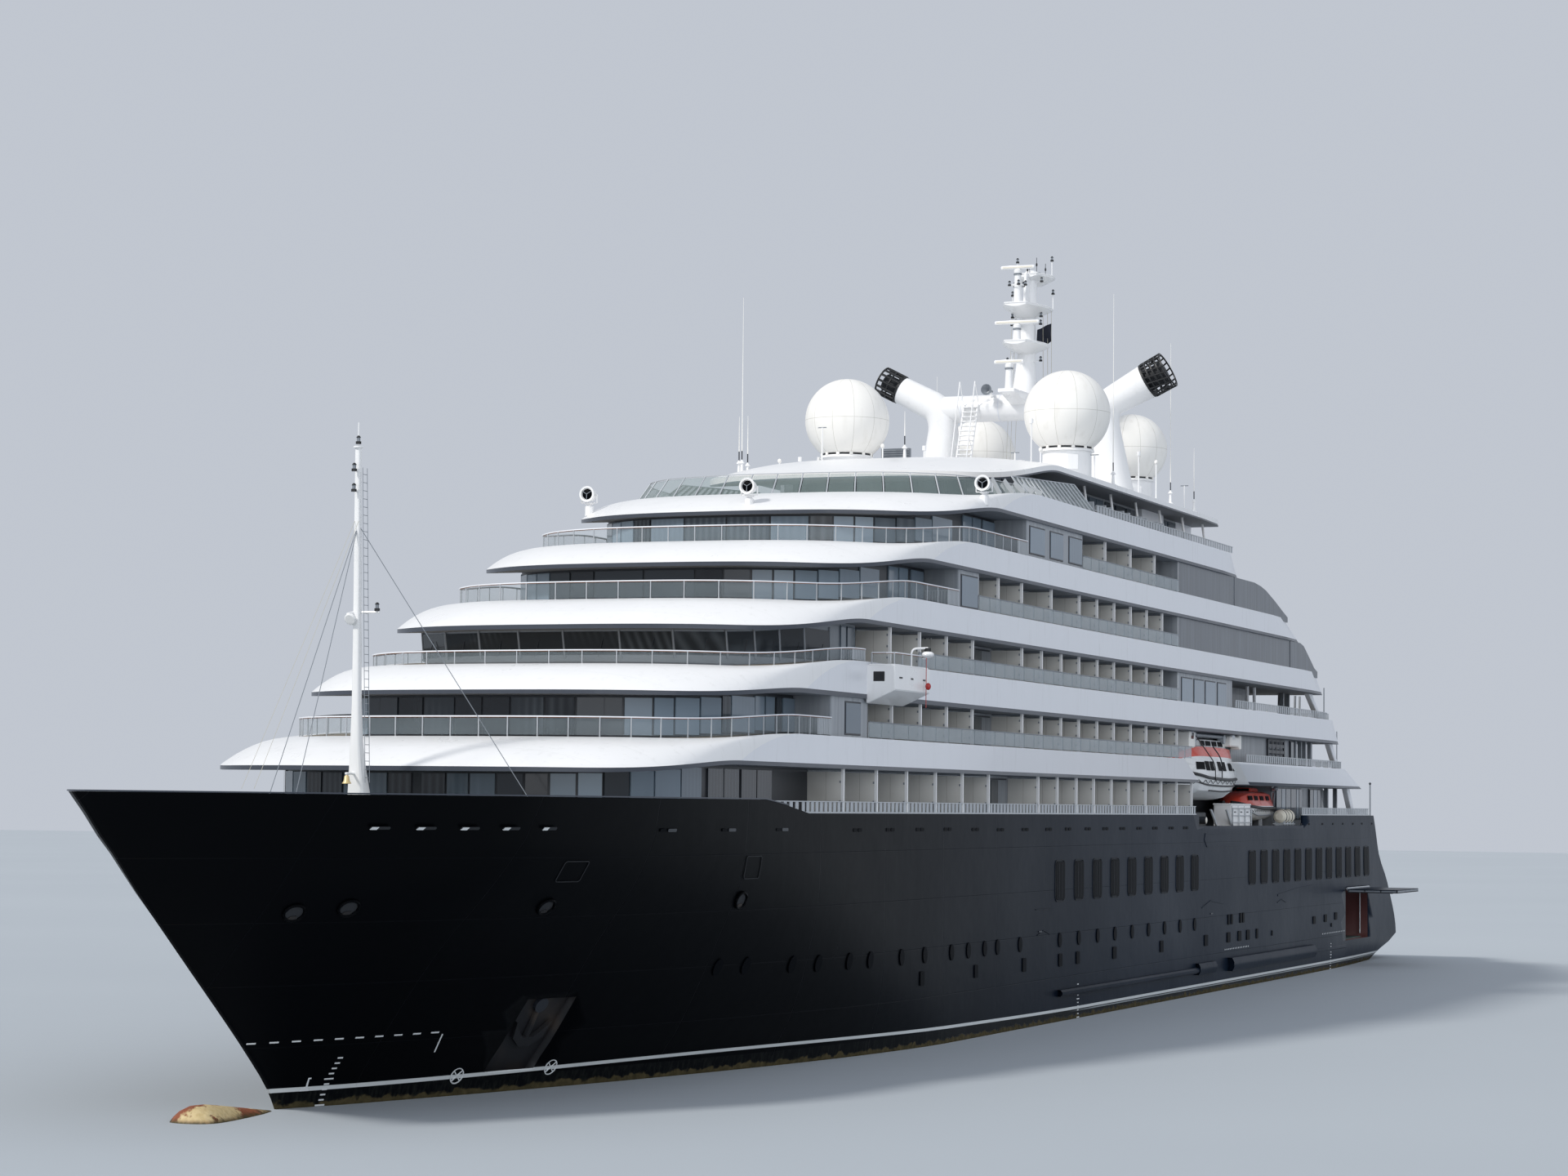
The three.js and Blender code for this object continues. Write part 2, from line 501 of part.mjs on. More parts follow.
const wheelhouseSlices = () => {
  const { glass, glassAft, wall, postDepth, nose, length, half } = WHEELHOUSE;
  const slice = (gap) => {
    const height = [glass[0] + gap, glass[1] - gap];
    return toSolid(block([glassAft + gap, nose + length], [-OUTBOARD, OUTBOARD], height));
  };
  const band = slice(0);
  const ring = wheelhouseVolume(0, 0).subtract(wheelhouseVolume(wall));
  const outerSkin = wheelhouseVolume(0, 0).subtract(wheelhouseVolume(postDepth));
  const posts = [];
  for (let step = 2; step <= FRONT_STEPS; step += 2) {
    const [x, y] = frontArc(nose, length, half, step);
    for (const side of [1, -1]) {
      const post = new THREE.BoxGeometry(MULLION.depth, MULLION.width, MULLION.high);
      post.rotateZ(side * Math.atan2(y, (x - nose + length) * 1.6));
      posts.push(toSolid(post.translate(x, side * y, MULLION.z)));
    }
  }
  const frame = ring.subtract(band).add(join(...posts).intersect(outerSkin).intersect(band));
  const glazing = wheelhouseVolume(0.16, 2).subtract(wheelhouseVolume(0.24, 1)).intersect(slice(SEAT_GAP));
  return { frame, glazing };
};
const deck7 = slabByDeck[7];
const tallSlab = (slab) => toSolid(slabShape({ ...slab, top: slab.top + TALL_CUT, foot: slab.foot + TALL_CUT }));
const deck8Tall = tallSlab(SLABS[2]);
const fitDeck7 = (solid) => solid.subtract(lift(deck8Tall, -SEAT_GAP)).subtract(lift(deck7, SEAT_GAP));
const { frame, glazing } = wheelhouseSlices();
addNode('wheelhouse', fitDeck7(frame), white);
addNode('wheelhouse_glass', fitDeck7(glazing), darkGlass);
addNode('bridge_console', fitDeck7(join(
  sidePlate([[42.4, 17.2], [43.5, 17.2], [43.5, 18.5], [43.1, 18.6], [42.4, 18.3]], [-5.5, 5.5]),
  block([42.9, 43.5], [-7, 7], [17.2, 18.3]),
)), black);

// Deck 10 house and the sun roof over it
const ROOF = { low: 30.1, top: 31.1, brow: 0.9, edge: 13, rail: 0.5, foot: 31, aft: [-35.5, -33] };
const ROOF_SCALE = [1, 9.5 / HALF_BEAM, 1];
const roof = toSolid(slabShape(ROOF)).scale(ROOF_SCALE);
addNode('sun_roof', roof, white);
const deck10Top = SLABS[4].top;
const deck10Walls = planPlate(housePlan(6, 7.4, -31), [deck10Top + SEAT_GAP, ROOF.low - SEAT_GAP]);
const deck10Fit = [lift(tallSlab(ROOF).scale(ROOF_SCALE), -SEAT_GAP), lift(slabByDeck[10], SEAT_GAP)];
addNode('deck_house_10', cut(deck10Walls, ...deck10Fit), darkGlass);

// Radomes on pedestals: name, x, y, centre height and radius
const RADOMES = [
  ['radome_forward_port', -8.3, 6.9, 34.63, 2.54],
  ['radome_forward_starboard', -8.3, -6.9, 34.63, 2.54],
  ['radome_aft_port', -28.5, 5.15, 34.6, 2.3],
  ['radome_aft_starboard', -28.5, -5.15, 34.6, 2.3],
];
const roofTop = ROOF.top + SEAT_GAP;
for (const [name, x, y, z, radius] of RADOMES) {
  const neckZ = z - radius * 0.86;
  const profile = [[0, roofTop], [radius * 0.6, roofTop], [radius * 0.58, neckZ], [radius * 0.66, neckZ]];
  for (let i = 0; i <= 9; i += 1) {
    const angle = mix(-0.85, Math.PI / 2, i / 9);
    profile.push([i === 9 ? 0 : radius * Math.cos(angle), z + radius * Math.sin(angle)]);
  }
  const dome = new THREE.LatheGeometry(profile.map(([r, h]) => new THREE.Vector2(r, h)), 20);
  addNode(name, dome.rotateX(Math.PI / 2).translate(x, y, 0), white);
}

// Exhaust arch: legs, a cross tube, and pipes that rise outboard to their louvred ends
// The port outlet is the wider one
const ARCH = {
  x: -21.5, foot: [5.7, roofTop], footAft: 0.4, footRadius: 1.45, radius: 0.95,
  elbow: [5.2, 36.6], end: [8.1, 38.1], cage: [9.1, 38.617], tubeRadius: 0.85,
};
const outletRadius = (side) => (side > 0 ? 1.1 : 0.88);
const archPoint = (side, [y, z], aft = 0) => [ARCH.x - aft, y * side, z];
const archSide = (side) => {
  const elbow = archPoint(side, ARCH.elbow);
  return [
    rod(archPoint(side, ARCH.foot, ARCH.footAft), elbow, ARCH.footRadius, ARCH.radius, 16),
    ball(elbow, [ARCH.radius, ARCH.radius, ARCH.radius], 16, 12),
    rod(elbow, archPoint(side, ARCH.end), ARCH.radius, outletRadius(side), 16),
  ];
};
const tubeEnd = [ARCH.elbow[0], ARCH.elbow[1] + 0.15];
const crossTube = rod(archPoint(-1, tubeEnd), archPoint(1, tubeEnd), ARCH.tubeRadius, ARCH.tubeRadius, 16);
const archSolid = cut(join(...archSide(1), ...archSide(-1), crossTube), lift(roof, SEAT_GAP));
addNode('exhaust_arch', archSolid, white);
const cage = (side) => {
  const at = (t) => [ARCH.x, side * mix(ARCH.end[0], ARCH.cage[0], t), mix(ARCH.end[1], ARCH.cage[1], t)];
  const radius = outletRadius(side);
  const hood = rod(at(0.006), at(1.35), radius, radius + 0.08, 16);
  return cut(hood, rod(at(0.15), at(1.5), radius - 0.1, radius - 0.04, 16));
};
addNode('exhaust_louvre_port', cage(1), black);
addNode('exhaust_louvre_starboard', cage(-1), black);

// Radar mast on the cross tube, raked aft
const MAST = { x: -21.7, foot: 37.2, knee: 41, top: 45.6, rake: 1.5 };
const mastX = (z) => MAST.x - MAST.rake * ((z - MAST.foot) / (MAST.top - MAST.foot));
// Platforms: height, reach ahead of the mast, reach behind it, half-width
const PLATFORMS = [
  { z: 40.8, ahead: 2.6, behind: 1.3, half: 1.35 },
  { z: 43.2, ahead: 3.0, behind: 1.5, half: 1.4 },
  { z: 45.4, ahead: 0.9, behind: 1.9, half: 1.2 },
];
const mastParts = [
  rod([mastX(MAST.foot), 0, MAST.foot], [mastX(MAST.knee), 0, MAST.knee], 0.75, 0.48, 12),
  rod([mastX(MAST.knee), 0, MAST.knee], [mastX(MAST.top), 0, MAST.top], 0.48, 0.4, 12),
];
for (const { z, ahead, behind, half } of PLATFORMS) {
  const x = mastX(z);
  const tip = x + ahead;
  const tail = x - behind;
  mastParts.push(sidePlate([[tail, z], [tip, z], [tip, z - 0.12], [x, z - 0.55], [tail, z - 0.15]], [-half, half]));
}
// Radar scanners: place, post foot height, post top height, length of the bar
const SCANNERS = [
  { name: 'radar_scanner_lower', x: -18.6, foot: 37.5, top: 38.9, length: 1.9 },
  { name: 'radar_scanner_middle', x: -20.2, foot: 40.75, top: 41.6, length: 2.9 },
  { name: 'radar_scanner_upper', x: -20.3, foot: 43.15, top: 45.1, length: 2.2 },
];
for (const { x, foot, top } of SCANNERS) {
  mastParts.push(rod([x, 0, foot], [x, 0, top], 0.28, 0.2, 10));
}
// The shelf that carries the lower scanner
mastParts.push(block([MAST.x, MAST.x + 3.4], [-0.35, 0.35], [37.3, 37.6]));
const seatRadius = ARCH.tubeRadius + 2 * SEAT_GAP;
const mastSeat = rod(archPoint(-1, [9, tubeEnd[1]]), archPoint(1, [9, tubeEnd[1]]), seatRadius, seatRadius, 16);
addNode('radar_mast', cut(join(...mastParts), mastSeat), white);
for (const { name, x, top, length } of SCANNERS) {
  addNode(name, join(
    rod([x, 0, top + SEAT_GAP], [x, 0, top + 0.3], 0.22, 0.2, 12),
    block([x - 0.14, x + 0.14], [-length / 2, length / 2], [top + 0.25, top + 0.5]),
  ), white);
}

// Foremast with its stays
const FOREMAST = { x: 64.4, top: 25.3, arm: 18.8, stay: 21.9 };
const STAYS = [[70.8, 0.64], [70.8, -0.64], [64.4, 7.6]];
const foredeck = block([50, 90], [-OUTBOARD, OUTBOARD], [8, MAIN_DECK_Z + SEAT_GAP]);
addNode('foremast', cut(join(
  rod([FOREMAST.x - 0.25, 0, MAIN_DECK_Z - 0.3], [FOREMAST.x, 0, 13.5], 0.9, 0.42, 10),
  rod([FOREMAST.x, 0, 13.4], [FOREMAST.x + 0.3, 0, FOREMAST.top], 0.42, 0.2, 10),
  rod([FOREMAST.x + 0.1, -0.9, FOREMAST.arm], [FOREMAST.x + 0.1, 0.9, FOREMAST.arm], 0.12, 0.12, 8),
  rod([FOREMAST.x + 1.1, 0, FOREMAST.arm - 0.2], [FOREMAST.x, 0, FOREMAST.arm + 0.1], 0.3, 0.12, 10),
  ...STAYS.map(([x, y]) => rod([x, y, MAIN_DECK_Z], [FOREMAST.x + 0.2, 0, FOREMAST.stay], 0.035, 0.035, 6)),
), foredeck), white);

// Windlasses on the foredeck
for (const [name, side] of SIDES) {
  const y = 2.6 * side;
  addNode(`windlass_${name}`, join(
    block([67.2, 69.4], [y - 1.1, y + 1.1], [MAIN_DECK_Z + SEAT_GAP, MAIN_DECK_Z + 0.35]),
    rod([68.3, y - 1.2, MAIN_DECK_Z + 0.95], [68.3, y + 1.2, MAIN_DECK_Z + 0.95], 0.5, 0.5, 14),
    block([67.9, 68.7], [y - 0.9, y + 0.9], [MAIN_DECK_Z + 0.2, MAIN_DECK_Z + 0.9]),
  ), steel);
}

// Helideck on the stern end of deck 9
const HELIDECK = { x: -42.4, radius: 6.2, thickness: 0.3 };
const helideckZ = SLABS[3].top + SEAT_GAP;
const helideckTop = helideckZ + HELIDECK.thickness;
addNode('helideck', rod(
  [HELIDECK.x, 0, helideckZ],
  [HELIDECK.x, 0, helideckTop],
  HELIDECK.radius,
  HELIDECK.radius,
  32,
), deckGreen);

// Rails: a low glass wall along each rail line.
// Columns are the deck, the stern end, the height at the side and at the front.
const RAILS = [
  { deck: 6, aft: -22.9, side: 0.85, front: 0.85 },
  { deck: 7, aft: -19.7, side: 0.85, front: 0.6 },
  { deck: 8, aft: -19.7, side: 0.85, front: 0.85 },
  { deck: 9, aft: -19.7, side: 0.85, front: 0.8 },
  { deck: 10, aft: -33.6, side: 0.95, front: 1.5 },
];
const RAIL_THICKNESS = 0.06;
const RAIL_INSET = 0.1;
const railShape = ({ deck, aft, side, front }) => {
  const slab = SLABS.find((item) => item.deck === deck);
  const shoulder = slab.edge - EDGE_LENGTH - RAIL_SET_BACK;
  const line = (inset) => {
    const outline = [[aft, HALF_BEAM - inset]];
    for (let step = 0; step <= FRONT_STEPS; step += 1) {
      outline.push(frontArc(slab.rail - inset, slab.rail - inset - shoulder, HALF_BEAM - inset, step));
    }
    return outline;
  };
  const level = (x, base, height, tall) => {
    const forward = smooth((x - shoulder) / ((slab.rail - shoulder) * FOOT_FALL));
    return mix(base, slab.foot, forward) + mix(height, tall, forward);
  };
  const volume = (inset, low, high) => mirrorLoft(line(inset).map(([x, y]) => (
    [[x, y, low], [x, y, level(x, slab.top, side, front) + high]]
  )));
  const wall = cut(
    volume(RAIL_INSET, slab.foot - HOUSE_FOOT, 0),
    volume(RAIL_INSET + RAIL_THICKNESS, slab.foot - HOUSE_FOOT - 0.2, 1),
  );
  const sternHalf = HALF_BEAM - RAIL_INSET - RAIL_THICKNESS;
  const sternEnd = block([aft - 1, aft + 0.001], [-OUTBOARD, OUTBOARD], [0, 60]);
  const sternGap = block([aft - 1, aft + 0.4], [-sternHalf, sternHalf], [0, 60]);
  return cut(wall, sternEnd, sternGap, lift(slabByDeck[deck], SEAT_GAP));
};
for (const rail of RAILS) {
  addNode(`deck_rail_${rail.deck}`, railShape(rail), railGlass);
}
// Rails around the open stern ends of decks 6 and 7: the deck, the forward end and the stern end
for (const [deck, forward, aft] of [[6, -37.1, -68.7], [7, -34.1, -64.4]]) {
  const { top } = SLABS.find((slab) => slab.deck === deck);
  const outline = (inset) => {
    const y = HALF_BEAM - RAIL_INSET - inset;
    return mirrored([[forward + inset, y], [aft + STERN_CORNER.length, y], [aft + inset, y - 0.45]]);
  };
  const outer = planPlate(outline(0).reverse(), [top + SEAT_GAP, top + 0.9]);
  const open = outline(RAIL_THICKNESS).map(([x, y]) => [x > forward - 1 ? x + 1 : x, y]);
  addNode(`stern_rail_${deck}`, cut(outer, planPlate(open.reverse(), [top - 1, top + 2])), railGlass);
}

// Tenders in their bays, and the davits that carry them
const TENDER = { x: -30.2, y: 8.55, keel: 12.1, sheer: 13.9, top: 15.7, length: 12, half: 1.85, roofHalf: 1.6 };
const RESCUE_BOAT = {
  x: -46.7, y: 8.05, keel: 10.75, sheer: 11.55, top: 12.75, length: 9.4, half: 1.35, roofHalf: 1.15,
};
// Stations of a boat: share of the length, share of the half-breadth, rise of the keel, drop of the roof
const BOAT_STATIONS = [
  [-0.5, 0.7, 0, 0],
  [-0.45, 0.9, 0, 0],
  [-0.2, 1, 0, 0],
  [0.2, 0.96, 0, 0],
  [0.38, 0.62, 0.15, 0.3],
  [0.5, 0.06, 0.5, 1],
];
const boatShape = ({ x: centreX, y: centreY, length, half, keel, sheer, top, roofHalf }, side) => {
  const stations = BOAT_STATIONS.map(([along, full, rise, drop]) => {
    const x = along * length;
    return [
      [x * 0.9, 0.1, mix(keel, sheer, rise)],
      [x * 0.97, half * full * 0.8, mix(keel, sheer, 0.35 + rise * 0.6)],
      [x, half * full, sheer],
      [x * 0.96, half * full * 0.97, sheer + 0.25],
      [x * 0.9, roofHalf * full * 0.85, top - drop],
    ];
  });
  return mirrorLoft(stations).translate(centreX, centreY * side, 0);
};
const HOOKS = { along: [-3.9, 3.9], z: [15.2, 16.05], radius: 0.12, gap: 0.003 };
const DAVIT = {
  along: [-5.3, 5.3], half: 0.35, post: [6.25, 6.7], arm: [6.25, 10.2], beam: [8.35, 8.75], top: 16.38,
};
const CRADLE = { along: [-2.6, 2.6], halfLength: 0.2, halfWidth: 0.7, top: 10.95 };
// Raft canisters lie fore and aft in a rack: the ends of each
const RAFTS = { ends: [[-50.9, -49.5], [-52.6, -51.2]], y: 9.93, z: 11.05, radius: 0.5 };
const RAFT_RACK = { x: [-52.8, -49.3], span: [9.55, 10.3], top: 10.6 };
const LOCKER = { x: [-40.4, -35.2], span: [8.9, 10.2], top: 11.9 };
const around = (x, half) => [x - half, x + half];
for (const [name, side] of SIDES) {
  const y = TENDER.y * side;
  const hooks = HOOKS.along.map((along) => {
    const x = TENDER.x + along;
    return rod([x, y, HOOKS.z[0]], [x, y, HOOKS.z[1] - HOOKS.gap], HOOKS.radius, HOOKS.radius, 8);
  });
  addNode(`tender_${name}`, join(boatShape(TENDER, side), ...hooks), orange);
  const headZ = [HOOKS.z[1], DAVIT.top];
  const davits = DAVIT.along.flatMap((along) => {
    const x = around(TENDER.x + along, DAVIT.half);
    return [
      block(x, spanOn(side, DAVIT.post), [MAIN_DECK_Z + SEAT_GAP, DAVIT.top]),
      block(x, spanOn(side, DAVIT.arm), headZ),
    ];
  });
  const beamX = DAVIT.along.map((along) => TENDER.x + along);
  addNode(`tender_davits_${name}`, join(...davits, block(beamX, spanOn(side, DAVIT.beam), headZ)), white);

  // Fast rescue boat on its cradle, with the rafts in their canisters aft of it
  const boatY = RESCUE_BOAT.y * side;
  const cradle = CRADLE.along.map((along) => block(
    around(RESCUE_BOAT.x + along, CRADLE.halfLength),
    around(boatY, CRADLE.halfWidth),
    [MAIN_DECK_Z + SEAT_GAP, CRADLE.top],
  ));
  addNode(`rescue_boat_${name}`, join(boatShape(RESCUE_BOAT, side), ...cradle), orange);
  const onDeck = ({ x, span, top }) => block(x, spanOn(side, span), [MAIN_DECK_Z + SEAT_GAP, top]);
  const canisters = RAFTS.ends.map((ends) => {
    const [aft, forward] = ends.map((x) => [x, RAFTS.y * side, RAFTS.z]);
    return rod(aft, forward, RAFTS.radius, RAFTS.radius, 14);
  });
  addNode(`life_rafts_${name}`, join(onDeck(RAFT_RACK), ...canisters), cream);
  addNode(`deck_locker_${name}`, onDeck(LOCKER), white);
}

export default yacht;
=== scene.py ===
"""Expedition yacht on the water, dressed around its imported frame.

+X is the bow, +Y is port and +Z is up. The origin is amidships at the waterline.
Sizes are in metres of the real ship. Each finished piece is scaled to the 1:10 model.
"""

import math

import bmesh
import bpy
from mathutils import Matrix, Vector


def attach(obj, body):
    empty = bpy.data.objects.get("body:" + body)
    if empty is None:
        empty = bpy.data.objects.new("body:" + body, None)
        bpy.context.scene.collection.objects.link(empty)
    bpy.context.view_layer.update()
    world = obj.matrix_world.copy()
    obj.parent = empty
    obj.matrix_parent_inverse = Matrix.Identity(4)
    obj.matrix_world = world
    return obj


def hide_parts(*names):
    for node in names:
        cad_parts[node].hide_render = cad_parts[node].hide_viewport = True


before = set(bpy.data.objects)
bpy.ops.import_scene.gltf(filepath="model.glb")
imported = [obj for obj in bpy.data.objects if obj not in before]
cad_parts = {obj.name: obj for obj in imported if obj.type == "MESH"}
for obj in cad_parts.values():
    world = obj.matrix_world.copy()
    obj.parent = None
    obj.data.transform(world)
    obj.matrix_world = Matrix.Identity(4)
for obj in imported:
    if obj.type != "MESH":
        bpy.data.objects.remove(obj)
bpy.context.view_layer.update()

bl_info = {
    "name": "Expedition Yacht",
    "version": (1, 0, 0),
    "blender": (4, 5, 0),
    "location": "View3D > Sidebar > Yacht",
    "description": "Builds the expedition yacht's visible pieces and their finishes",
    "category": "Object",
}

MODEL = 0.1
SIDES = (("port", 1), ("starboard", -1))
# Points nearer than this, in metres of the ship, are one point. Edges over this angle are sharp
MERGE = 1e-4
SHARP_FROM = math.radians(30)


def clamp(value):
    return min(1.0, max(0.0, value))


def mix(first, second, share):
    return first + (second - first) * share


def aloft(height):
    """A step straight up."""
    return Vector((0, 0, height))


def about(middle, half):
    """The two ends of a span, from its middle and half its length."""
    return middle - half, middle + half


def placed(x, y, z, turn=0, axis="Z"):
    """A frame at a point, turned about an axis by so many degrees."""
    return Matrix.Translation((x, y, z)) @ Matrix.Rotation(math.radians(turn), 4, axis)


def smooth(share):
    share = clamp(share)
    return share * share * (3 - 2 * share)


def colour(code):
    """A linear colour from a six-digit screen colour."""
    parts = [int(code[i:i + 2], 16) / 255 for i in (1, 3, 5)]
    linear = [p / 12.92 if p <= 0.04045 else ((p + 0.055) / 1.055) ** 2.4 for p in parts]
    return (*linear, 1.0)


def darker(tint, share):
    return (*[part * share for part in tint[:3]], 1.0)


class Value:
    """A socket that can be reckoned with: each operator adds a Math node."""

    def __init__(self, finish, socket):
        self.finish = finish
        self.socket = socket

    def reckon(self, operation, first, second):
        return self.finish.node("ShaderNodeMath", {0: first, 1: second}, operation=operation)

    def __add__(self, other):
        return self.reckon("ADD", self, other)

    def __sub__(self, other):
        return self.reckon("SUBTRACT", self, other)

    def __rsub__(self, other):
        return self.reckon("SUBTRACT", other, self)

    def __mul__(self, other):
        return self.reckon("MULTIPLY", self, other)

    def __truediv__(self, other):
        return self.reckon("DIVIDE", self, other)

    def __mod__(self, other):
        return self.reckon("FLOORED_MODULO", self, other)

    def __gt__(self, other):
        return self.reckon("GREATER_THAN", self, other)

    def __lt__(self, other):
        return self.reckon("LESS_THAN", self, other)

    __radd__ = __add__
    __rmul__ = __mul__


class Finish:
    """A node material: numbers that stay the same sit on the shader, patterns are fed to it."""

    def __init__(self, name, tint, roughness=0.5, **shader):
        self.material = bpy.data.materials.new(name)
        self.material.use_nodes = True
        self.tree = self.material.node_tree
        self.shader = self.tree.nodes["Principled BSDF"]
        self.tint = colour(tint)
        self.shader.inputs["Base Color"].default_value = self.tint
        self.shader.inputs["Roughness"].default_value = roughness
        for socket, value in shader.items():
            title = socket.replace("_", " ").title().replace("Ior", "IOR")
            self.shader.inputs[title].default_value = value
        self.material.diffuse_color = self.tint
        self.place = None

    def node(self, kind, values=None, output=0, **settings):
        """Adds a node: its settings first, then the values and links of its sockets."""
        made = self.tree.nodes.new(kind)
        for setting, value in settings.items():
            setattr(made, setting, value)
        for socket, value in (values or {}).items():
            if isinstance(value, Value):
                self.tree.links.new(value.socket, made.inputs[socket])
            else:
                made.inputs[socket].default_value = value
        return Value(self, made.outputs[output])

    def feed(self, socket, value):
        self.tree.links.new(value.socket, self.shader.inputs[socket])

    def metres(self):
        """The point on the piece, in metres of the ship."""
        if self.place is None:
            point = self.node("ShaderNodeTexCoord", output="Object")
            self.place = self.node("ShaderNodeVectorMath", {0: point, "Scale": 1 / MODEL}, operation="SCALE")
        return self.place

    def axes(self):
        point = self.metres()
        return [self.node("ShaderNodeSeparateXYZ", {0: point}, output=axis) for axis in "XYZ"]

    def noise(self, scale, detail=3.0, stretch=(1, 1, 1), sharpness=0.5):
        point = self.node("ShaderNodeVectorMath", {0: self.metres(), 1: stretch}, operation="MULTIPLY")
        values = {"Vector": point, "Scale": scale, "Detail": detail, "Roughness": sharpness}
        return self.node("ShaderNodeTexNoise", values, output=0)

    def ramp(self, value, low, high):
        """0 below low, 1 above high and smooth between."""
        values = {0: value, 1: low, 2: high, 3: 0.0, 4: 1.0}
        return self.node("ShaderNodeMapRange", values, interpolation_type="SMOOTHSTEP", clamp=True)

    def band(self, value, low, high, soft=0.01):
        return self.ramp(value, low - soft, low + soft) * (1 - self.ramp(value, high - soft, high + soft))

    def blend(self, share, first, second):
        """A colour between two colours."""
        values = {0: share, 6: first, 7: second}
        return self.node("ShaderNodeMix", values, output=2, data_type="RGBA", clamp_factor=True)

    def bump(self, height, depth, strength=0.4):
        values = {"Strength": strength, "Distance": depth * MODEL, "Height": height}
        self.feed("Normal", self.node("ShaderNodeBump", values))

    def tone(self):
        """The number that was set on each face: on window glass, its share of painted sky reflection."""
        return self.node("ShaderNodeAttribute", output="Fac", attribute_name="tone")


# Plain paints: name, colour, roughness, metal, coat, mottling, runs of dirt, grain
PAINTS = (
    ("hull_marking_white", "#e6e9ea", 0.5, 0.0, 0.0, 0.08, 0.15, 0.2),
    ("lip_blue_grey", "#3d434e", 0.4, 0.0, 0.2, 0.10, 0.05, 0.1),
    # The soffit grey is painted shade on the undersides of the white slabs, canopy and wings
    ("painted_soffit_shade", "#7d828b", 0.6, 0.0, 0.0, 0.08, 0.05, 0.2),
    ("frame_dark", "#2a2e35", 0.4, 0.1, 0.1, 0.10, 0.00, 0.1),
    ("frame_grey", "#868c93", 0.4, 0.2, 0.1, 0.08, 0.05, 0.1),
    ("satin_black", "#17191c", 0.5, 0.0, 0.1, 0.20, 0.10, 0.3),
    ("bright_steel", "#c4c8cb", 0.32, 0.8, 0.0, 0.10, 0.00, 0.2),
    ("slat_grey", "#b9bec3", 0.45, 0.2, 0.0, 0.12, 0.10, 0.2),
    ("rail_wood", "#8a5b3a", 0.5, 0.0, 0.2, 0.25, 0.00, 0.4),
    ("raft_cream", "#e3ddcd", 0.45, 0.0, 0.2, 0.08, 0.12, 0.2),
    ("bell_cream", "#dfc68f", 0.35, 0.3, 0.3, 0.10, 0.05, 0.1),
    ("lamp_red", "#b3201c", 0.35, 0.0, 0.4, 0.10, 0.00, 0.1),
    ("lamp_cream", "#e9e4d6", 0.35, 0.0, 0.3, 0.08, 0.05, 0.1),
    ("bay_shadow", "#23262b", 0.7, 0.0, 0.0, 0.25, 0.10, 0.4),
    ("bay_red", "#5b2a26", 0.6, 0.0, 0.0, 0.20, 0.10, 0.3),
    ("flag_cloth", "#1d2230", 0.8, 0.0, 0.0, 0.15, 0.00, 0.5),
    ("rope_fibre", "#c9c5b5", 0.8, 0.0, 0.0, 0.20, 0.00, 0.6),
)


def painted(name, tint, roughness, metal, coat, mottling, dirt, grain):
    """A paint with clouds of tone, runs of dirt and a fine grain."""
    finish = Finish(name, tint, roughness, metallic=metal, coat_weight=coat)
    cloud = finish.noise(0.45, detail=5)
    base = finish.blend(cloud, darker(finish.tint, 1 - mottling), finish.tint)
    if dirt:
        runs = finish.ramp(finish.noise(1.3, detail=4, stretch=(2.5, 2.5, 0.3)), 0.55, 0.8)
        base = finish.blend(runs * dirt, base, colour("#6f665a"))
    finish.feed("Base Color", base)
    finish.feed("Roughness", (cloud - 0.5) * 0.2 + roughness)
    if grain:
        finish.bump(finish.noise(24, detail=2), 0.01, grain)
    return finish.material


def ship_white(name, tint, roughness, seam):
    """Satin white plating: faint dents between the frames, seams and rain marks."""
    finish = Finish(name, tint, roughness, coat_weight=0.25, coat_roughness=0.2)
    x, _, _ = finish.axes()
    cloud = finish.noise(0.35, detail=5)
    runs = finish.ramp(finish.noise(1.6, detail=5, stretch=(2, 2, 0.25)), 0.55, 0.85)
    base = finish.blend(cloud, darker(finish.tint, 0.95), finish.tint)
    base = finish.blend(runs * 0.16, base, colour("#8d8a80"))
    finish.feed("Base Color", base)
    finish.feed("Roughness", (cloud - 0.5) * 0.18 + roughness)
    dents = finish.noise(0.55, detail=1, stretch=(1, 0.6, 0.8))
    plates = finish.band(x % 2.4, 0.0, 0.05, 0.02)
    finish.bump(dents * 0.6 - plates * seam, 0.09, 0.35)
    return finish.material


